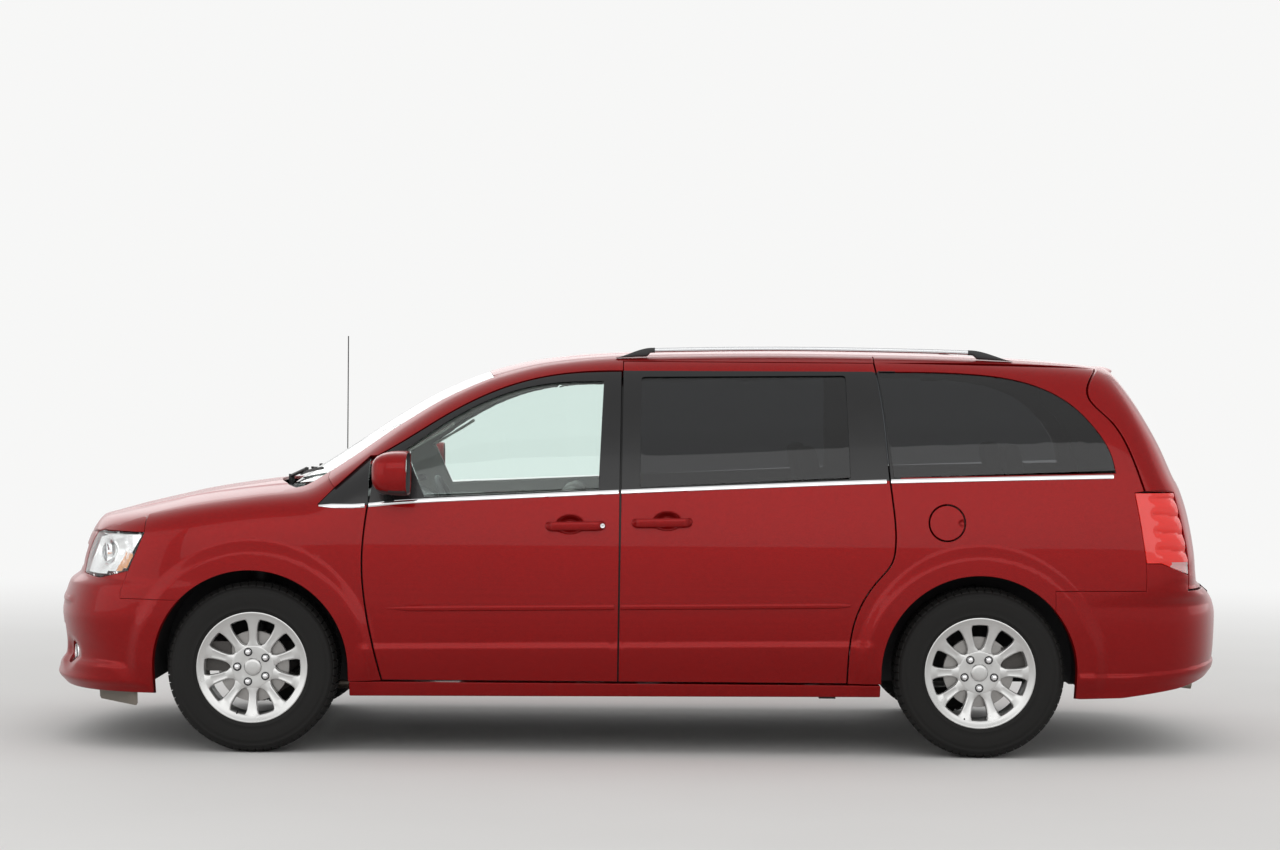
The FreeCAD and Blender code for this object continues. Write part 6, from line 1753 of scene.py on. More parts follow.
    def rear_bumper(self) -> None:
        """Rear bumper with its step and low fold."""
        p = self.palette
        foot_z = 254.0
        reach = REAR_BUMPER_X - 0.6
        lamp_x = QUARTER_REAR_X - 0.6
        arch = arch_run(REAR_AXLE_X, foot_z, arch_z(REAR_AXLE_X, reach), -1)
        arch_rows = tail_at_x(arch[:, 1], arch[:, 0])
        top = densified(np.array([(reach, float(arch[-1, 1]) + 2), (reach, REAR_BUMPER_Z),
                                  (lamp_x, REAR_BUMPER_Z), (lamp_x, 829.0), (TAIL_X + 352, 829.0),
                                  (TAIL_X + 226, 780.0), (TAIL_X + 226, REAR_BUMPER_Z)]))
        top_rows = tail_at_x(top[:, 1], top[:, 0])
        middle = densified(np.array([top_rows[-1], (0.0, REAR_BUMPER_Z - 2)]))[1:]
        foot_w = np.linspace(0.0, arch_rows[0, 0], 60)[:-1]
        foot_v = np.full(len(foot_w), foot_z)
        for _ in range(4):
            foot_x = -tail_skin(foot_w, foot_v, 0.0)[:, 0]
            foot_v = np.interp(foot_x, (1870, 2067, 2318, 2481, 2560), (252, 256, 290, 326, 332))
        half = np.concatenate([column(foot_w, foot_v), arch_rows, top_rows, middle])
        outline = loop(half, mirrored_rows(half)[1:-1])

        def relief(w: Array, z: Array) -> Array:
            """Depth of the low fold at a row and z."""
            turn = np.abs(w) / TAIL_ROW
            below = 399 - 36.4 * ease((turn - 0.5) / 0.5) - z
            return -8.0 * ease(below / 16) * (1 - ease((below - 26) / 60)) * ease((turn - 0.15) / 0.1)

        levels = (330, 340, 350, 358, 366, 374, 382, 390, 398, 640, 650, 660, 670, 680, 690, 700)
        extra = np.concatenate([column(np.arange(-1150.0, 1150.0, 14.0), z) for z in levels])
        panel = Panel(tail_skin, outline, extra=extra, hem=3.0, wall=16.0, relief=relief, outward=BACKWARD)
        settle(panel.make("rear_bumper_skin", [p.paint, p.black_plastic]), "body", "body_paint",
               "rear_bumper")
        pad = Body()
        y = np.linspace(-520, 520, 40)
        w = np.arctan2(y, REAR_AXLE_X - (TAIL_X + 100.0)) * TAIL_ROW
        section = ((716, 2), (718, -3), (708, -3), (690, -4), (684, 2), (696, 6), (708, 6))
        pad.grid(np.array([tail_skin(w, np.full_like(w, z), d) for z, d in section]), 0, wrap_u=True)
        settle(pad.make("rear_step_pad", [p.black_plastic]), "body", "black_trim")

    def tail_lamps(self) -> None:
        """Tail lamps with stepped red lenses and a clear part."""
        p = self.palette
        front = densified(np.array([(TAIL_X + 352, 830.0), *LAMP_FRONT[::-1]]))
        rear = smooth(LAMP_REAR[:3])
        pts = loop(front, rear, (TAIL_X + 229, 782.0))
        rows = tail_at_x(pts[:, 1], pts[:, 0])
        outline = drawn_in(rows, 1.2)
        mid = outline.mean(0)

        def relief(w: Array, z: Array) -> Array:
            """Depth of the lens's steps at a row and z."""
            edge = ease((z - 800) / 30) * ease((1118 - z) / 20)
            scallop = 9.0 * np.abs(np.sin((z - 812 - 0.10 * (w - mid[0])) / 74.0 * math.pi)) ** 0.6
            band = 1 - ease((w - mid[0] - 26) / 24)
            return (9.0 - scallop) * band * edge

        def zones(c: Array) -> Array:
            """Zone of each point: 1 in the clear part."""
            return ((c[:, 0] < mid[0] - 4) & (c[:, 1] < 836)).astype(int)

        lens = Panel(tail_skin, outline, step=7.0, hem=2.5, wall=12.0, proud=1.5, relief=relief,
                     zones=zones, outward=BACKWARD)
        box = Panel(tail_skin, drawn_in(outline, 2.0), step=22.0, hem=1.0, wall=20.0, proud=-18.0,
                    outward=BACKWARD)
        settle_pair(lens, "tail_lamp_lens_{}", [p.lens_red, p.lens_clear, p.lens_red], "body", "lamp_red",
                    "tail_lamps")
        settle_pair(box, "tail_lamp_bowl_{}", [p.reflector], "body", "lamp_red")

    def hatch(self) -> None:
        """Rear hatch with its plate recess, and its glass."""
        p = self.palette
        edge_rows = tail_from_xz(smooth(HATCH_SIDE) - [SHUT_GAP / 2, 0])
        lamp = smooth([(x - 3, z) for x, z in LAMP_REAR])
        lamp = lamp[lamp[:, 1] > 719.0]
        lamp_rows = tail_from_xz(np.concatenate([lamp, [[TAIL_X + 223, 719.0]]]))
        w = np.linspace(0, edge_rows[0, 0] - 6, 70)
        top = column(w, roof_rows(w, HATCH_X - SHUT_GAP / 2))
        foot = densified(np.array([lamp_rows[-1], (0.0, 719.0)]))[1:]
        half = np.concatenate([top, edge_rows, lamp_rows, foot])
        outline = loop(half, mirrored_rows(half)[1:-1])
        glass = self.hatch_window()

        def relief(w: Array, z: Array) -> Array:
            """Depth of the plate recess and the fold over it at a row and z."""
            y = w / TAIL_ROW * 1000
            recess = 30 * ease((215 - np.abs(y)) / 24) * ease((z - 812) / 18) * ease((990 - z) / 18)
            fold = 5 * ease((1075 - z) / 16) * ease((z - 1000) / 30) * ease((620 - np.abs(y)) / 40)
            return recess + fold

        extra = cluster((0.0, 900.0), (260, 104), 8.0)
        panel = Panel(tail_skin, outline, [glass], extra=extra, step=19.0, hem=3.0, wall=26.0,
                      relief=relief, outward=BACKWARD)
        settle(panel.make("hatch_panel", [p.paint, p.cabin]), "hatch", "body_paint", "hatch")
        pane = Panel(tail_skin, drawn_in(glass, 0.8), step=24.0, hem=1.5, wall=5.0, proud=-3.0,
                     outward=BACKWARD)
        settle(pane.make("hatch_pane", [p.dark_glass]), "hatch", "dark_glass", "hatch_glass")
        self.hatch_trim()

    @staticmethod
    def hatch_window() -> Array:
        """Outline of the hatch glass, in (row, v)."""
        left = smooth([(690, 1172), (668, 1320), (620, 1468), (560, 1540)])
        right = smooth([(-560, 1540), (-620, 1468), (-668, 1320), (-690, 1172)])
        top = smooth([(560, 1540), (0, 1556), (-560, 1540)])
        return tail_from_yz(loop((-690.0, 1172.0), (690.0, 1172.0), left, top, right, step=20))

    def hatch_trim(self) -> None:
        """Bright bar and pull over the plate recess, high brake lamp and rear wiper."""
        p = self.palette
        w = np.linspace(-330, 330, 50)
        bar = Body()
        section = ((-13, 4), (-13, -6), (-8, -11), (8, -11), (13, -6), (13, 4))
        rows = [tail_skin(w, np.full_like(w, 1000.0 + dz), d) for dz, d in section]
        bar.grid(np.array(rows), 0, wrap_u=True)
        settle(bar.make("hatch_bright_bar", [p.chrome]), "hatch", "chrome")
        w = np.linspace(-640, 640, 90)
        fade = ease((640 - np.abs(w)) / 180)
        tip = solve(lambda q: tail_skin(w, q, 0.0)[:, 2] - 1650.0, 1480.0, 1640.0, len(w))
        start = roof_rows(w, HATCH_X - 14.0)
        spoiler = Body()
        section = ((0, 0, 0), (0.3, 0, 3), (0.6, 0, 9), (0.85, 0, 17), (1, 0, 24), (1, -4, 26), (1, -8, 24),
                   (1, -11, 14), (1, -22, 0), (1, -12, -6), (0.5, 0, -6))
        rows = [tail_skin(w, start + (tip - start) * s + drop, 1.5 - out * fade)
                for s, drop, out in section]
        spoiler.grid(np.array(rows), 0, wrap_u=True)
        settle(spoiler.make("hatch_spoiler", [p.paint], angle=40), "hatch", "body_paint")
        lamp = Body()
        w = np.linspace(-150, 150, 30)
        section = ((1588, -12), (1590, -27.5), (1584, -26), (1578, -6))
        rows = [tail_skin(w, np.full_like(w, v), d) for v, d in section]
        lamp.grid(np.array(rows), 0, wrap_u=True)
        settle(lamp.make("high_brake_lamp", [p.lens_red]), "hatch", "lamp_red")
        wiper = Body()
        foot = tail_skin(np.array([0.0]), np.array([1140.0]), -14.0)[0]
        wiper.lathe([(0, -16), (17, -16), (19, -6), (16, 6), (0, 8)], foot, axis=0, count=28)
        path = tail_skin(np.linspace(0, 330, 16), np.linspace(1140, 1205, 16), -18.0)
        wiper.tube(path, np.linspace(9, 6, 16), flat=0.7)
        blade = tail_skin(np.linspace(40, 400, 20), np.linspace(1186, 1210, 20), -7.0)
        wiper.tube(blade, 5.0)
        settle(wiper.make("rear_wiper", [p.black_plastic]), "hatch", "black_trim")


def roof_rows(w: Array, x: float) -> Array:
    """Heights v of the tail, over the roof's edge, where its skin stands at x."""
    low = FORM.tail_fan_z
    return solve(lambda v: tail_skin(w, v, 0.0)[:, 0] - x, low, low + 620.0, len(w))


def tail_from_xz(points: Array) -> Array:
    """(x, z) points of the tail's side edge as (row, v)."""
    x, z = points[:, 0], points[:, 1]
    v = z.copy()
    rows = tail_at_x(v, x)
    for _ in range(9):
        v = v + (z - tail_skin(rows[:, 0], v, 0.0)[:, 2]) * np.where(z > FORM.tail_fan_z, 0.9, 1.0)
        rows = tail_at_x(v, x)
    return rows


def tail_from_yz(points: Array) -> Array:
    """(y, z) points of the tail as (row, v)."""
    y, z = np.abs(points[:, 0]), points[:, 1]
    v = z.copy()
    w = y.copy()
    for _ in range(24):
        p = tail_skin(w, v, 0.0)
        w = w + (y - p[:, 1]) * 0.8
        v = v + (z - p[:, 2]) * 0.7
    return column(np.sign(points[:, 0]) * w, v)


def brow_rear() -> Array:
    """The painted slip's edge from the bonnet's corner across to the wing, in (row, z)."""
    y = np.linspace(742, 774, 7)
    x = FRONT_AXLE_X + BONNET_FRONT(y) + SHUT_GAP
    keep = x > ahead(476)
    corner = nose_plan(column(x[keep], y[keep] + SHUT_GAP * 0.8))
    z = np.linspace(LAMP_TOP_Z, corner[-1, 1], 14)[::-1]
    across = nose_at_x(z, np.full(len(z), ahead(470.5)))
    return np.concatenate([corner, across[across[:, 0] > corner[-1, 0] + 4]])


class Copies:
    """Copies of a template turned about the Y axis, made by geometry nodes."""

    def __init__(self) -> None:
        """Builds the node tree with its named inputs."""
        tree = bpy.data.node_groups.new("turned_copies", "GeometryNodeTree")
        sockets = tree.interface
        self.tree = tree
        sockets.new_socket("Geometry", in_out="INPUT", socket_type="NodeSocketGeometry")
        self.count = sockets.new_socket("Count", in_out="INPUT", socket_type="NodeSocketInt").identifier
        self.start = sockets.new_socket("Start", in_out="INPUT", socket_type="NodeSocketFloat").identifier
        self.material = sockets.new_socket("Material", in_out="INPUT",
                                           socket_type="NodeSocketMaterial").identifier
        sockets.new_socket("Geometry", in_out="OUTPUT", socket_type="NodeSocketGeometry")
        new, link = tree.nodes.new, tree.links.new
        given, result = new("NodeGroupInput"), new("NodeGroupOutput")
        points, index = new("GeometryNodePoints"), new("GeometryNodeInputIndex")
        step, turn, start = (new("ShaderNodeMath") for _ in range(3))
        step.operation, turn.operation, start.operation = "DIVIDE", "MULTIPLY", "ADD"
        step.inputs[0].default_value = 2 * math.pi
        angles, euler = new("ShaderNodeCombineXYZ"), new("FunctionNodeEulerToRotation")
        place, real = new("GeometryNodeInstanceOnPoints"), new("GeometryNodeRealizeInstances")
        dress = new("GeometryNodeSetMaterial")
        link(given.outputs["Count"], points.inputs["Count"])
        link(given.outputs["Count"], step.inputs[1])
        link(index.outputs[0], turn.inputs[0])
        link(step.outputs[0], turn.inputs[1])
        link(turn.outputs[0], start.inputs[0])
        link(given.outputs["Start"], start.inputs[1])
        link(start.outputs[0], angles.inputs["Y"])
        link(angles.outputs[0], euler.inputs[0])
        link(points.outputs[0], place.inputs["Points"])
        link(given.outputs["Geometry"], place.inputs["Instance"])
        link(euler.outputs[0], place.inputs["Rotation"])
        link(place.outputs[0], real.inputs[0])
        link(real.outputs[0], dress.inputs["Geometry"])
        link(given.outputs["Material"], dress.inputs["Material"])
        link(dress.outputs[0], result.inputs[0])

    def arrays(self, template: Body, count: int, start: float,
               material: bpy.types.Material) -> tuple[Array, list]:
        """Points and faces of the copies.

        Args:
            template: the shape copied, at the top of its circle.
            count: how many copies.
            start: the first copy's turn, in degrees.
            material: the copies' material.

        Returns:
            Their points, in millimetres, and their faces.
        """
        obj = template.make("template", [material])
        modifier = obj.modifiers.new("copies", "NODES")
        modifier.node_group = self.tree
        modifier[self.count] = count
        modifier[self.start] = math.radians(start)
        modifier[self.material] = material
        evaluated = obj.evaluated_get(bpy.context.evaluated_depsgraph_get())
        mesh = bpy.data.meshes.new_from_object(evaluated)
        points = np.empty(len(mesh.vertices) * 3)
        mesh.vertices.foreach_get("co", points)
        faces = [tuple(p.vertices) for p in mesh.polygons]
        obj.modifiers.remove(modifier)
        old = obj.data
        bpy.data.objects.remove(obj)
        bpy.data.meshes.remove(old)
        bpy.data.meshes.remove(mesh)
        return points.reshape(-1, 3) / MM, faces


@dataclass
class Wheels:
    """Wheels with their discs, nuts and tyres."""

    palette: Palette
    copies: Copies
    spoke_count: int = 10
    nut_count: int = 5
    nut_radius: float = 66.0
    tread_count: int = 66

    def spoke(self) -> Body:
        """One spoke, pointing up."""
        body = Body()
        rows = []
        widths = Profile([(58, 20), (92, 27), (99, 23.5), (106, 20), (116, 18), (132, 18), (160, 20),
                          (184, 24), (196, 29), (203, 37), (208, 45), (219, 52)])
        for r in (58, 80, 92, 99, 106, 112, 122, 134, 146, 160, 174, 185, 193, 199, 204, 209, 214, 219):
            t = (r - 58) / 161
            half = float(widths(np.array([float(r)]))[0])
            face = 72.0 + 24.5 * t - 5.0 * math.sin(math.pi * t)
            deep = 20.0 + 16.0 * (1 - t) * 0.6
            dip = 2.6 * ease((r - 96) / 30) * ease((214 - r) / 30)
            ring = [(-half, face - deep), (-half, face - 7), (-half + 2.5, face - 2.2), (-half + 7, face),
                    (0, face - dip), (half - 7, face), (half - 2.5, face - 2.2), (half, face - 7),
                    (half, face - deep), (0, face - deep - 3)]
            rows.append([(x, y, r) for x, y in ring])
        body.grid(np.array(rows), 0, wrap_v=True, cap_u=True)
        return body

    def nut_rings(self, profile: Sequence[tuple[float, float]], count: int) -> Array:
        """Rings of (radius, y) points about the place of the uppermost nut."""
        t = turns(count)
        return np.array([column(r * np.cos(t), y, self.nut_radius + r * np.sin(t)) for r, y in profile])

    def nut(self) -> Body:
        """One domed nut on its seat, at the top of its circle."""
        body = Body()
        profile = ((13.2, 69.5), (13.2, 76.5), (12.2, 77.0), (11.6, 86.0), (9.6, 89.5), (5.0, 91.4))
        body.grid(self.nut_rings(profile, 6), 0, wrap_v=True, cap_u=True)
        return body

    def seat_ring(self) -> Body:
        """Black ring round one nut: painted shade standing for the hollow the nut sits in."""
        body = Body()
        profile = ((12.0, 70), (18.0, 70), (18.0, 75.6), (16.6, 76.2), (15.6, 74.6), (12.0, 74.2))
        body.grid(self.nut_rings(profile, 20), 0, wrap_u=True, wrap_v=True)
        return body

    def wheel(self, turn: float) -> list[tuple[Array, list, int]]:
        """Shapes of the left front wheel about its own centre."""
        p = self.palette
        turned = Body()
        turned.lathe([(200, 58), (201.5, 84), (205, 92), (212, 95.5), (221, 98.5), (226, 102.5),
                      (231, 104.4), (234.4, 103.6), (234.6, 100.6), (230.5, 97.5), (229.2, 92), (229, 66),
                      (216, 46), (213, 20), (213, -60), (229, -82), (229, -96), (234, -99), (234.4, -103.6),
                      (228, -104.4), (219, -90), (205, -62), (204, 24)], (0, 0, 0), count=96)
        turned.lathe([(26, 46), (82, 46), (92, 53), (97, 62), (95.5, 70), (91, 73.5), (84, 74.5), (50, 71),
                      (38, 71), (34.5, 78.5), (31, 81), (22, 82.6), (0.05, 83.0), (0.05, 50)], (0, 0, 0),
                     count=72)
        tube = Body()
        tube.tube(np.array([(62.0, 78.0, -188.0), (64.0, 94.0, -196.0)]), 3.4, sides=10)
        disc = Body()
        disc.lathe([(24, 15), (149, 15), (150, 17), (150, 23), (143, 24), (143, 27), (150, 28), (150, 34),
                    (149, 36), (96, 36), (94, 34), (88, 34), (84, 37), (79, 41), (78, 45.5), (24, 45.5)],
                   (0, 0, 0), count=72)
        shapes = [(np.concatenate(body.verts), body.faces, slot)
                  for body, slot in ((turned, 0), (disc, 1), (tube, 2))]
        for template, count, start, material, slot in (
                (self.spoke(), self.spoke_count, turn, p.alloy, 0),
                (self.nut(), self.nut_count, 18 + turn, p.chrome, 3),
                # black rings round the nuts: painted shade for the hollows they sit in
                (self.seat_ring(), self.nut_count, 18 + turn, p.black_plastic, 2)):
            shapes.append((*self.copies.arrays(template, count, start, material), slot))
        return shapes

    def block(self) -> Body:
        """One pitch of the tread, at the top of the tyre."""
        body = Body()
        pitch = 2 * math.pi * AXLE_Z / self.tread_count
        for y0, y1, shift in ((-71, -43, 0.3), (-39, -15, 0.7), (-11, 11, 0.0), (15, 39, 0.3),
                              (43, 71, 0.7)):
            self.lug(body, (y0, y1), pitch * 0.41, shift * 6, (360.5, 360.5), 353)
        self.lug(body, (75, 101), pitch * 0.40, 0, (359.5, 347.5), 343)
        self.lug(body, (-101, -75), pitch * 0.40, 0, (347.5, 359.5), 343)
        return body

    @staticmethod
    def lug(body: Body, ys: tuple[float, float], half: float, shift: float, tops: tuple[float, float],
            base: float) -> None:
        """Adds one tread block with broken edges."""
        rows = []
        for inset, drop in ((0.0, None), (0.0, 2.0), (1.3, 0.0)):
            y0, y1 = ys[0] + inset, ys[1] - inset
            h = half - inset
            ring = [(-h, y0, 0), (h, y0, 0), (h, y1, 1), (-h, y1, 1)]
            rows.append([(x + shift, y, base if drop is None else tops[k] - drop) for x, y, k in ring])
        body.grid(np.array(rows), 0, wrap_v=True, cap_u=True)

    def tyre(self) -> list[tuple[Array, list, int]]:
        """Shapes of a tyre about its own centre."""
        outer = [(229.6, 98), (236, 103.5), (246, 107.5), (249, 110.2), (254, 110.2), (257, 109.3),
                 (270, 112.4), (288, 113.8), (306, 113.2), (312, 113.4), (314, 112.4), (326, 110.6),
                 (328, 111.2), (331, 110.6), (338, 106.5), (345, 99), (350, 88), (353.5, 72), (354.5, 40),
                 (354.5, 0)]
        lining = [(230, -84), (300, -98), (338, -76), (340, 0), (338, 76), (300, 98), (230, 84)]
        profile = outer + [(r, -y) for r, y in outer[:-1][::-1]] + lining
        body = Body()
        body.lathe(profile, (0, 0, 0), count=120)
        points, faces = self.copies.arrays(self.block(), self.tread_count, 0, self.palette.tyre)
        return [(np.concatenate(body.verts), body.faces, 0), (points, faces, 0)]

    def make(self) -> None:
        """Makes the four wheels and tyres."""
        p = self.palette
        tyre = self.tyre()
        half_turn = 180.0 / self.spoke_count
        for end, axle, turn in (("front", FRONT_AXLE_X, 0.0), ("rear", REAR_AXLE_X, half_turn)):
            wheel = self.wheel(turn)
            for side in Side:
                name = f"{end}_{side.word}"
                for kind, shapes, materials, slot in (
                        ("wheel", wheel, [p.alloy, p.steel, p.black_plastic, p.chrome], "alloy"),
                        ("tyre", tyre, [p.tyre], "tyre")):
                    body = Body()
                    for points, faces, number in shapes:
                        placed = points + [0, TRACK / 2, AXLE_Z]
                        placed = placed * [1, side.value, 1] + [axle, 0, 0]
                        body.add(placed, faces, number)
                    piece = body.make(f"{name}_{kind}_dressed", materials, angle=34)
                    settle(piece, f"{name}_wheel", slot, f"{name}_{kind}")


def skin_points(x: Array, z: Array, proud: Array | float = 0.0) -> Array:
    """Points on the left side at some places, standing out from it."""
    rows = side_rows(CABIN_SIDE, column(x, z))
    return CABIN_SIDE(rows[:, 0], rows[:, 1], -np.asarray(proud, float) + 0 * rows[:, 0])


@dataclass
class Trim:
    """Belt mouldings, rub strips, handles, mirrors and roof rails."""

    palette: Palette
    belt_section: tuple = ((-9, -3), (-9, 2.5), (-6.5, 5), (0, 6.2), (6.5, 5), (9, 2.5), (9, -3))
    rub_section: tuple = ((-13, -3), (-13, 3.5), (-10, 7.5), (0, 9.5), (9, 7.5), (13, 3.5), (13, -3))

    @staticmethod
    def moulding(name: str, xs: Array, zs: Array, section: Sequence[tuple[float, float]], rider: str,
                 material: bpy.types.Material, slot: str, taper: tuple[float, float] = (1.0, 1.0),
                 skin: Skin = CABIN_SIDE) -> None:
        """Makes a moulding along each side, from its section of (height, standing out) points."""
        line = column(xs, zs)
        along = np.arange(len(line)) / 6.0
        full = np.minimum(1.0, np.minimum(along + taper[0], along[::-1] + taper[1]))
        rings = []
        for dz, out in section:
            rows = side_rows(skin, line + column(0.0, dz * full))
            rings.append(skin(rows[:, 0], rows[:, 1], -out * np.where(out > 0, full, 1.0)))
        body = Body()
        body.grid(np.array(rings).transpose(1, 0, 2), 0, wrap_v=True, cap_u=True)
        settle_pair(body, name, [material], rider, slot)

    def belts(self) -> None:
        """Bright mouldings under the windows, and the strips low on the doors."""
        p = self.palette
        for name, x0, x1, rider in (("belt_moulding_1_{}", 1134.0, B_POST_X + 8, "front_door_{}"),
                                    ("belt_moulding_2_{}", B_POST_X - 1, -1066.0, "body"),
                                    ("belt_moulding_3_{}", -1074.0, -2036.0, "body")):
            xs = np.arange(x0, x1, -22.0)
            self.moulding(name, xs, BELT_LINE(xs), self.belt_section, rider, p.chrome, "chrome")
        xs = np.arange(1346.0, 1142.0, -14.0)
        self.moulding("belt_moulding_front_{}", xs, BELT_LINE(xs), self.belt_section, "body", p.chrome,
                      "chrome", (0.35, 1.0), WING_SIDE)
        for name, x0, x1, rider, taper in (
                ("rub_strip_1_{}", 1061.0, B_POST_X + 14, "front_door_{}", (0.12, 1.0)),
                ("rub_strip_2_{}", B_POST_X - 2, -908.0, "body", (1.0, 0.5))):
            xs = np.arange(x0, x1, -22.0)
            zs = 619.0 + (1061.0 - xs) * 0.0140
            self.moulding(name, xs, zs, self.rub_section, rider, p.paint, "body_paint", taper)

    def handle(self, x0: float, x1: float, z: float, name: str, rider: str, node: str, lock: bool) -> None:
        """Pull handle with rounded ends, and its lock."""
        p = self.palette
        t = np.linspace(0, 1, 40)
        x = x0 + (x1 - x0) * t
        lift = 4.0 + 26.0 * np.minimum(ease(t / 0.13), ease((1 - t) / 0.13))
        half = 18.5 * np.minimum(1, np.sqrt(np.clip(1 - (np.maximum(0, 0.06 - t) / 0.06) ** 2, 0.02, 1)))
        half = half * np.sqrt(np.clip(1 - (np.maximum(0, t - 0.94) / 0.06) ** 2, 0.02, 1))
        base = skin_points(x, z - 5.0 * t)
        rings = [base + column(0 * x, lift + c * 8.0 - 4, s * half) for c, s in squarish(18, 0.7)]
        body = Body()
        body.grid(np.array(rings).transpose(1, 0, 2), 0, wrap_v=True, cap_u=True)
        if lock:
            centre = base[2] + [0, 24.0, 0]
            barrel = [(0.05, -6), (10.5, -6), (11, 4), (9.5, 6.5), (8.2, 6.2), (7.8, 5.0), (0.05, 5.2)]
            body.lathe(barrel, centre, axis=1, count=28, slot=1)
            body.box(centre + [-4.6, 4.6, -0.7], centre + [4.6, 5.6, 0.7], 2)
        settle_pair(body, name, [p.paint, p.chrome, p.black_plastic], rider, "body_paint", node)

    def handles(self) -> None:
        """All the door handles."""
        self.handle(131, 387, 975, "front_pull_{}", "front_door_{}", "front_handle_{}", True)
        self.handle(-236, 23, 991, "sliding_pull_{}", "body", "sliding_door_handles", False)

    def mirrors(self) -> None:
        """Door mirrors with painted shells and black feet."""
        p = self.palette
        body = Body()
        sizes = ((968, 0.885), (967.5, 0.90), (956, 0.925), (954, 0.955), (957, 0.985), (970, 1.0),
                 (1000, 1.0), (1030, 0.975), (1060, 0.90), (1084, 0.77), (1099, 0.58), (1105.5, 0.30))
        a = turns(56)
        ey = np.sign(np.cos(a)) * np.abs(np.cos(a)) ** 0.55
        ez = np.sign(np.sin(a)) * np.abs(np.sin(a)) ** 0.62
        rings = []
        for x, size in sizes:
            y = 1086.0 + 109.0 * size * ey
            z = 1191.0 + 92.0 * size * ez * (1 - 0.07 * (y - 1086.0) / 109.0)
            rings.append(column(x + 8.0 * (y - 1086) / 109.0 * (size - 0.6), y, z))
        body.grid(np.array(rings), 0, wrap_v=True, cap_u=True)
        for k in range(len(a) * (len(sizes) - 1)):
            ring, place = divmod(k, len(a))
            low = ring > 2 and rings[ring][place][2] < 1118
            body.slots[k] = 1 if ring < 2 or low else 0
        body.slots[-2] = 2
        t = np.linspace(0, 1, 12)
        path = column(1052.0 + 8 * t, 898.0 + 128.0 * t, 1110.0 + 6 * t)
        body.tube(path, 20.0 + 14 * np.abs(t - 0.5), 1, sides=20, flat=0.62)
        settle_pair(body, "mirror_{}", [p.paint, p.black_plastic, p.mirror], "front_door_{}", "body_paint",
                    "door_mirror_{}")

    def rails(self) -> None:
        """Roof rails: satin bars between black feet."""
        p = self.palette

        def roof(x: Array) -> Array:
            """Height of the roof under the rail."""
            return np.maximum(*(ROOF_SKIN(x, RAIL_Y + d + 0 * x, 0.0)[:, 2] for d in (-12.0, 12.0)))

        def bar(x: Array, middle: Array, half: Array | float, reach: Array | float, slot: int) -> None:
            """Adds a bar with a squarish section."""
            rings = [column(x, RAIL_Y + c * half, middle + s * reach) for c, s in squarish(20, 0.6)]
            body.grid(np.array(rings).transpose(1, 0, 2), slot, wrap_v=True, cap_u=True)

        body = Body()
        x = np.linspace(-58.0, -1442.0, 70)
        bar(x, roof(x) + 28.5, 12.0, 10.0, 0)
        t = np.linspace(0, 1, 26)
        height = 2.0 + 37.0 * ease(t / 0.92) ** 0.8
        under = np.where(t > 0.78, 17.0 * ease((t - 0.78) / 0.12), 0.8)
        half = 12.8 * np.sqrt(np.clip(1 - (1 - np.minimum(1, t / 0.1)) ** 2, 0.05, 1))
        for x0, x1 in ((98.0, -72.0), (-1622.0, -1428.0)):
            x = x0 + (x1 - x0) * t
            bar(x, roof(x) + (height + under) / 2, half, (height - under) / 2, 1)
        settle_pair(body, "roof_rail_{}", [p.rail_silver, p.black_plastic], "body", "alloy", "roof_rails")


COLUMN_TILT = math.radians(26)
COLUMN_WAY = np.array([math.cos(COLUMN_TILT), 0.0, -math.sin(COLUMN_TILT)])
STEERING_CENTRE = np.array([ahead(-822), 400.0, 985.0])
BENCH_Z = 530.3


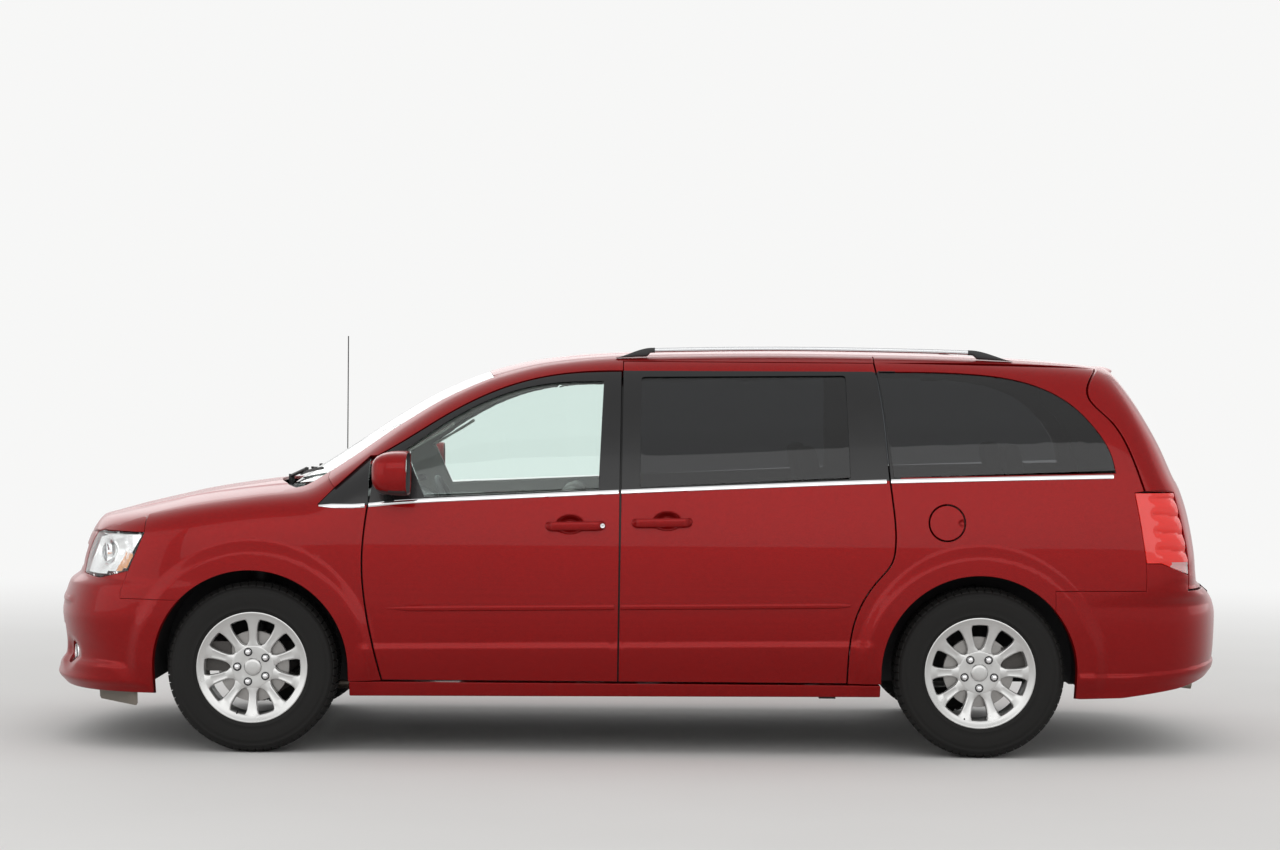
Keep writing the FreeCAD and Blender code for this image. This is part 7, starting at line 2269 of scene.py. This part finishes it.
@dataclass
class Cabin:
    """Seats and cabin trim."""

    palette: Palette

    @staticmethod
    def cube_grid(n: int) -> tuple[Array, list]:
        """Points of a cube's six faces from -1 to 1, and their faces."""
        verts, faces = [], []
        t = np.linspace(-1, 1, n + 1)
        gu, gv = np.meshgrid(t, t, indexing="ij")
        for axis in range(3):
            for s in (-1, 1):
                p = np.zeros((n + 1, n + 1, 3))
                p[..., axis] = s
                p[..., (axis + 1) % 3] = gu
                p[..., (axis + 2) % 3] = gv
                base = len(verts) * (n + 1) ** 2
                verts.append(p.reshape(-1, 3))
                for i in range(n):
                    for j in range(n):
                        a = base + i * (n + 1) + j
                        quad = (a, a + n + 1, a + n + 2, a + 1)
                        faces.append(quad if s > 0 else quad[::-1])
        return np.concatenate(verts), faces

    def pad(self, body: Body, centre: Sequence[float], half: Sequence[float], lean: float, radius: float,
            crown: float, channels: Sequence[float], bolster: float = 0.0, slot: int = 0,
            n: int = 22) -> None:
        """Adds a crowned cushion.

        Args:
            body: where it goes.
            centre: its middle.
            half: its half sizes: along, across and through.
            lean: its turn about Y, in degrees; at 0 its top faces up.
            radius: its edge radius.
            crown: how far its faces swell.
            channels: places of the sewn channels along it, from -1 to 1.
            bolster: height of the raised sides.
            slot: its material.
            n: faces along each edge.
        """
        q, faces = self.cube_grid(n)
        h = np.array(half, float)
        p = q * h
        core = np.clip(p, -h + radius, h - radius)
        way = p - core
        size = np.maximum(np.linalg.norm(way, axis=1), 1e-6)[:, None]
        p = core + way / size * np.minimum(radius, size * 10)
        swell = (1 - q[:, 0] ** 2) * (1 - q[:, 1] ** 2)
        p[:, 2] += np.sign(q[:, 2]) * crown * swell * (np.abs(q[:, 2]) > 0.999)
        pinch = 0.35 * crown
        p[:, 0] -= np.sign(q[:, 0]) * pinch * (1 - q[:, 1] ** 2) * (np.abs(q[:, 0]) > 0.999)
        p[:, 1] -= np.sign(q[:, 1]) * pinch * (1 - q[:, 0] ** 2) * (np.abs(q[:, 1]) > 0.999)
        top = ease((q[:, 2] - 0.1) / 0.9)
        along, across = np.abs(q[:, 0]), np.abs(q[:, 1])
        p[:, 2] += top * bolster * ease((across - 0.62) / 0.25) * ease((1.0 - along) / 0.2)
        for c in channels:
            groove = np.exp(-(((q[:, 0] - c) * h[0]) / 9.0) ** 2)
            p[:, 2] -= top * 6.0 * groove * ease((0.72 - across) / 0.08)
        for c in (-0.66, 0.66):
            groove = np.exp(-(((q[:, 1] - c) * h[1]) / 7.0) ** 2)
            p[:, 2] -= top * 6.0 * groove * ease((0.97 - along) / 0.1)
        a = math.radians(lean)
        x = p[:, 0] * math.cos(a) + p[:, 2] * math.sin(a)
        z = -p[:, 0] * math.sin(a) + p[:, 2] * math.cos(a)
        body.add(column(x, p[:, 1], z) + np.array(centre, float), faces, slot)

    def seat(self, name: str, x: float, y: float, floor: float, half: float, cushion: float,
             nodes: Sequence[str]) -> None:
        """One seat: its cushion, back and head rest, and its base."""
        p = self.palette
        base = Body()
        base.box((x - 186, y - half + 54, floor + 2), (x + 206, y + half - 54, cushion - 2), 0, 18)
        for s in (1, -1):
            edge, post = y + s * (half - 2), y + s * 70
            base.box((x - 200, edge - 12, cushion - 30), (x + 150, edge + 12, cushion + 62), 0, 10)
            base.tube(np.array([(x - 345.0, post, cushion + 690), (x - 352.0, post, cushion + 735)]), 6.0,
                      1)
        settle(base.make(f"{name}_base", [p.dark_cabin, p.steel]), "body", "cabin_trim")
        pads = Body()
        self.pad(pads, (x + 38, y, cushion + 74), (250, half - 4, 62), -3, 34, 12, (-0.25, 0.2), 14)
        run = math.atan2(190.0, 540.0)
        self.pad(pads, (x - 246, y, cushion + 424), (268, half - 14, 46), -90 + math.degrees(run), 34, 10,
                 (-0.3, 0.1, 0.5), 12)
        self.pad(pads, (x - 366, y, cushion + 782), (84, 126, 38), -90 + 13, 30, 8, (), 0, n=14)
        obj = pads.make(f"{name}_pads", [p.fabric], angle=80)
        settle(obj, "body", "cabin_fabric", *nodes)

    def seats(self) -> None:
        """All the seats."""
        for side in Side:
            for name, x, y, half, cushion in (("front_seat", ahead(-1150), 400, 250, 430),
                                              ("middle_seat", ahead(-2010), 390, 245, 440)):
                self.seat(f"{name}_{side.word}", x, side.value * y, FLOOR_TOP_Z, half, cushion,
                          [f"{name}s"])
        pads = Body()
        for y in (-394.0, 0.0, 394.0):
            self.pad(pads, (behind(170), y, BENCH_Z + 96), (228, 194.0, 84), -2, 34, 10, (-0.2, 0.25), 8)
        run = math.degrees(math.atan2(170.0, 450.0))
        for y in (-291.0, 291.0):
            self.pad(pads, (behind(-86), y, BENCH_Z + 414), (236, 287.0, 44), -90 + run, 32, 9, (-0.2, 0.4),
                     8)
        for y in (-380.0, 380.0):
            self.pad(pads, (behind(-196), y, BENCH_Z + 716), (72, 120, 34), -90 + 12, 28, 7, (), 0, n=14)
        obj = pads.make("rear_bench_pads", [self.palette.fabric], angle=80)
        settle(obj, "body", "cabin_fabric", "rear_bench")

    def dashboard(self) -> None:
        """Dashboard with its hood, vents and console, and the column's shroud."""
        p = self.palette
        back = smooth([(ahead(-420), 1079), (ahead(-500), 1086), (ahead(-590), 1071), (ahead(-648), 1034),
                       (ahead(-680), 980), (ahead(-674), 905), (ahead(-640), 848), (ahead(-596), 800),
                       (ahead(-563), 724)], 12.0)
        top = [(ahead(-331), 1045), (ahead(-331), 1062), (ahead(-370), 1071)]
        foot = [(ahead(-448), 724), (ahead(-448), 1045)]
        ring = np.concatenate([top, back, foot])
        x, z = ring[:, 0], ring[:, 1]
        rows = []
        for y in np.concatenate([[-788, -786, -780], np.linspace(-770, 770, 111), [780, 786, 788]]):
            close = ease((791 - abs(y)) / 10)
            rise = 44.0 * math.exp(-(((y - 400) / 165) ** 4))
            hood = rise * ease((ahead(-470) - x) / 90) * ease((x - ahead(-664)) / 26)
            stack = 26.0 * ease((150 - abs(y)) / 16) * ease((1030 - z) / 26) * ease((ahead(-560) - x) / 20)
            middle = np.array([ahead(-520), 950.0])
            rows.append(column(middle[0] + (x - stack - middle[0]) * (0.9 + 0.1 * close), y + 0 * x,
                               middle[1] + (z + hood - middle[1]) * (0.9 + 0.1 * close)))
        body = Body()
        body.grid(np.array(rows), 0, wrap_v=True, cap_u=True)
        for y in (-690.0, -86.0, 86.0, 690.0):
            face = ahead(-680) - (26.0 if abs(y) < 150 else 0.0)
            body.box((face - 5, y - 56, 946), (face + 16, y + 56, 1016), 1, 7)
            for z0 in (958.0, 970.0, 982.0, 994.0, 1004.0):
                body.box((face - 8, y - 50, z0 - 1.6), (face, y + 50, z0 + 1.6), 0, 1.2)
        body.box((ahead(-680) - 31, -118, 826), (ahead(-660) - 20, 118, 928), 1, 8)
        knob = [(0.05, -50), (16, -50), (19, -44), (19, -26), (0.05, -26)]
        for y in (-66.0, 0.0, 66.0):
            body.lathe(knob, (ahead(-680) + 12, y, 800), axis=0, count=24, slot=2)
        outline = np.array([(ahead(-452), FLOOR_TOP_Z), (ahead(-452), 756), (ahead(-640), 756),
                            (ahead(-690), 700), (ahead(-752), 642), (ahead(-800), 634), (ahead(-924), 618),
                            (ahead(-924), FLOOR_TOP_Z)])
        inner = outline + (outline.mean(0) - outline) * 0.03
        sections = ((-113, inner), (-104, outline), (104, outline), (113, inner))
        layers = [column(q[:, 0], y, q[:, 1]) for y, q in sections]
        body.grid(np.array(layers), 0, wrap_v=True, cap_u=True)
        centre, way = STEERING_CENTRE, COLUMN_WAY
        body.tube(np.array([centre + way * d for d in (78.0, 120.0, 200.0)]), np.array([38.0, 44.0, 52.0]),
                  1, sides=24)
        for s in (1, -1):
            stalk = centre + way * 84 + np.array([0, s * 30.0, 6.0])
            path = np.array([stalk, stalk + [-6, s * 70, 16], stalk + [-14, s * 130, 22]])
            body.tube(path, np.array([6.0, 6.5, 8.0]), 1)
        settle(body.make("dashboard_dressed", [p.dark_cabin, p.black_plastic, p.steel]), "body",
               "cabin_trim", "dashboard")

    def steering(self) -> None:
        """Steering wheel with its padded rim, hub pad and three spokes."""
        p = self.palette
        centre, way = STEERING_CENTRE, COLUMN_WAY
        up = np.array([math.sin(COLUMN_TILT), 0.0, math.cos(COLUMN_TILT)])
        across = np.array([0.0, 1.0, 0.0])

        def place(u: Array, v: Array, w: Array) -> Array:
            """Points at a distance across, up and along the column from the wheel's centre."""
            level = np.multiply.outer(u, across) + np.multiply.outer(v, up)
            return centre + level + np.multiply.outer(w, way)

        body = Body()
        t = turns(96)
        gt, gs = np.meshgrid(t, turns(16), indexing="ij")
        grip = 13.2 + 1.8 * np.exp(-((np.abs(np.sin(gt) - 0.6) / 0.18) ** 2))
        r = 184.0 + grip * np.cos(gs)
        body.grid(place(r * np.cos(gt), r * np.sin(gt), grip * 0.95 * np.sin(gs)), 0, wrap_u=True,
                  wrap_v=True)
        rings = []
        for w, size in ((34, 0.62), (30, 0.8), (8, 0.98), (-14, 1.0), (-24, 0.93), (-30, 0.76), (-33, 0.45),
                        (-34, 0.02)):
            c, d = np.cos(t[::2]), np.sin(t[::2])
            shape = (np.abs(c) ** 3.2 + np.abs(d) ** 3.2) ** (-1 / 3.2)
            rings.append(place(84 * size * shape * c, 62 * size * shape * d - 4, w + 0 * c))
        body.grid(np.array(rings), 0, wrap_v=True, cap_u=True)
        spokes = (((62, -2), (110, 4), (176, 8)), ((-62, -2), (-110, 4), (-176, 8)),
                  ((0, -50), (0, -110), (0, -176)))
        for points in spokes:
            u, v = np.array(points, float).T
            path = place(u, v, np.array([6.0, 3.0, 0.0]))
            body.tube(path, np.array([24.0, 17.0, 14.0]), 1, sides=16, flat=0.36, up=tuple(way))
        body.tube(np.array([centre + way * 28, centre + way * 58]), 18.0, 1, sides=20)
        settle(body.make("steering_wheel_dressed", [p.dark_cabin, p.cabin]), "steering_wheel", "cabin_trim",
               "steering_wheel")

    def fittings(self) -> None:
        """Inside mirror, grab handles on the screen posts and the doors' arm rests."""
        p = self.palette
        glass = Body()
        glass.box((SCREEN_TOP_X - 66, -112, 1556), (SCREEN_TOP_X - 46, 112, 1612), 0, 9)
        stalk = [(SCREEN_TOP_X - 50.0, 0, 1596), (SCREEN_TOP_X - 40.0, 0, 1612),
                 (SCREEN_TOP_X - 42.0, 0, 1626)]
        glass.tube(np.array(stalk), 7.0, 0)
        settle(glass.make("inside_mirror", [p.black_plastic]), "body", "black_trim")
        t = np.linspace(0, 1, 16)
        path = skin_points(ahead(-640) - 190 * t, 1292 + 118 * t, -74 - 22 * np.sin(math.pi * t) ** 0.5)
        grab = Body()
        grab.tube(path, 9.0, 0, flat=0.8)
        settle_pair(grab, "grab_handle_{}", [p.headlining], "body", "cabin_trim")
        rest = Body()
        rest.box((330, 862, 764), (880, 924, 822), 0, 18)
        rest.box((250, 900, 560), (1010, 926, 700), 1, 10)
        settle_pair(rest, "arm_rest_{}", [p.dark_cabin, p.cabin], "front_door_{}", "cabin_trim")


def dress_rest(palette: Palette) -> None:
    """Finishes for the solids that keep their own shape."""
    p = palette
    for material, nodes in (
            (p.underseal, ("bulkhead", "floor_well", "front_structure", "underbody", "wheel_housings")),
            (p.iron, ("engine", "front_subframe", "knuckle_left", "knuckle_right", "rear_axle")),
            (p.black_plastic, ("antenna", "cowl_panel", "front_struts", "wipers")),
            (p.clear_glass, ("front_door_glass_left", "front_door_glass_right", "windscreen")),
            (p.dark_glass, ("rear_side_glass",)),
            (p.black_frame, ("pillar_covers",)),
            (p.exhaust, ("exhaust",))):
        for node in nodes:
            dress_solid(node, material)


WHITE = (0.93, 0.93, 0.925)
VIEW_WIDTH = 1280.0
VIEW_FOCUS = 2846.0
VIEW_DROP = 39.3
VIEW_ROLL = math.radians(0.471)
VIEW_PLACE = (-0.0098, 12.947, 1.565)
SENSOR_WIDTH = 36.0


class Stage:
    """Floor, light and camera."""

    def make(self) -> None:
        """Makes them."""
        scene = bpy.context.scene
        scene.view_settings.view_transform = "Standard"
        world = bpy.data.worlds.new("soft_room")
        scene.world = world
        world.use_nodes = True
        tree = world.node_tree
        back = tree.nodes["Background"]
        back.inputs[0].default_value = (0.90, 0.90, 0.91, 1.0)
        back.inputs[1].default_value = 0.5
        seen = tree.nodes.new("ShaderNodeBackground")
        seen.inputs[0].default_value = (*WHITE, 1.0)
        seen.inputs[1].default_value = 1.0
        kinds = ("ShaderNodeLightPath", "ShaderNodeMath", "ShaderNodeMixShader")
        path, rays, mix = (tree.nodes.new(kind) for kind in kinds)
        more = tree.nodes.new("ShaderNodeMath")
        more.use_clamp = True
        tree.links.new(path.outputs["Is Camera Ray"], rays.inputs[0])
        tree.links.new(path.outputs["Is Glossy Ray"], rays.inputs[1])
        tree.links.new(rays.outputs[0], more.inputs[0])
        tree.links.new(path.outputs["Is Transmission Ray"], more.inputs[1])
        tree.links.new(more.outputs[0], mix.inputs[0])
        tree.links.new(back.outputs[0], mix.inputs[1])
        tree.links.new(seen.outputs[0], mix.inputs[2])
        tree.links.new(mix.outputs[0], tree.nodes["World Output"].inputs["Surface"])
        mesh = bpy.data.meshes.new("floor")
        s = 60.0
        mesh.from_pydata([(-s, -s, 0), (s, -s, 0), (s, s, 0), (-s, s, 0)], [], [(0, 1, 2, 3)])
        floor = bpy.data.objects.new("floor", mesh)
        scene.collection.objects.link(floor)
        net = Net("pale_floor")
        net.set(Base_Color=net.mix(net.noise(0.7), (0.66, 0.655, 0.64), (0.72, 0.715, 0.70)), Roughness=0.9)
        far = net.node("ShaderNodeVectorMath", {"operation": "LENGTH"}, {0: net.place()}, out="Value")
        fade = net.node("ShaderNodeMapRange", {"interpolation_type": "SMOOTHSTEP"}, {
            "Value": far, "From Min": 3.6, "From Max": 11.0})
        seen = net.node("ShaderNodeLightPath", out="Is Camera Ray")
        rays = seen.socket.node.outputs
        sight = seen + Value(net, rays["Is Glossy Ray"]) + Value(net, rays["Is Transmission Ray"])
        white = net.node("ShaderNodeEmission", None, {"Color": WHITE, "Strength": 1.0}, out="Emission")
        net.feed(net.output.inputs["Surface"], net.node("ShaderNodeMixShader", None, {
            0: fade * sight, 1: Value(net, net.shader.outputs[0]), 2: white}))
        mesh.materials.append(net.material)
        self.lamp("overhead", (0, 1.5, 7.5), (0, 0, 0), (18.0, 11.0), 420)
        self.lamp("side_left", (-0.5, 10.0, 4.8), (0, 0, 0.8), (15.0, 5.0), 225)
        self.lamp("side_right", (1.0, -9.0, 4.2), (0, 0, 0.8), (14.0, 4.5), 180)
        self.lamp("nose_fill", (8.5, 4.0, 3.2), (1.5, 0, 0.8), (8.0, 5.0), 95)
        self.lamp("tail_fill", (-8.5, -3.0, 3.2), (-1.5, 0, 0.8), (8.0, 5.0), 95)
        self.camera()

    def lamp(self, name: str, at: Sequence[float], to: Sequence[float], size: tuple[float, float],
             power: float) -> None:
        """Adds a soft rectangular lamp."""
        data = bpy.data.lights.new(name, "AREA")
        data.shape = "RECTANGLE"
        data.size, data.size_y = size
        data.energy = power
        obj = bpy.data.objects.new(name, data)
        bpy.context.scene.collection.objects.link(obj)
        obj.location = at
        obj.rotation_euler = (Vector(to) - Vector(at)).to_track_quat("-Z", "Y").to_euler()
        obj.visible_glossy = at[2] < 7.0  # the lamp overhead would burn its outline into the roof

    def camera(self) -> None:
        """Camera at the photograph's place: level with the windows, square to the left side."""
        data = bpy.data.cameras.new("view")
        data.sensor_width = SENSOR_WIDTH
        data.lens = VIEW_FOCUS / VIEW_WIDTH * SENSOR_WIDTH
        data.clip_end = 200.0
        cam = bpy.data.objects.new("view", data)
        bpy.context.scene.collection.objects.link(cam)
        pitch = math.atan(VIEW_DROP / VIEW_FOCUS)
        look = Vector((0.0, -math.cos(pitch), -math.sin(pitch)))
        level = Vector((0.0, -math.sin(pitch), math.cos(pitch)))
        up = level * math.cos(VIEW_ROLL) + Vector(FORWARD) * math.sin(VIEW_ROLL)
        right = look.cross(up)
        m = Matrix((right, up, -look)).transposed().to_4x4()
        m.translation = Vector(VIEW_PLACE)
        cam.matrix_world = m
        bpy.context.scene.camera = cam


def main() -> None:
    """Builds the pieces in order."""
    palette = Palette()
    body = Bodywork(palette)
    ends = Ends(palette)
    trim = Trim(palette)
    wheels = Wheels(palette, Copies())
    cabin = Cabin(palette)
    steps = (body.front_doors, body.sliding_doors, body.quarters, body.wings, body.arch_liners,
             body.roof_sides, body.sills, body.bonnet, body.roof, ends.front_bumper, ends.brows,
             ends.grilles, ends.headlamps, ends.rear_bumper, ends.tail_lamps, ends.hatch, trim.belts,
             trim.handles, trim.mirrors, trim.rails, wheels.make, cabin.seats, cabin.dashboard,
             cabin.steering, cabin.fittings)
    for step in steps:
        start = time.monotonic()
        step()
        LOG.info("%s took %.1f s", step.__name__, time.monotonic() - start)
    dress_rest(palette)
    Stage().make()


if __name__ == "__main__":
    main()
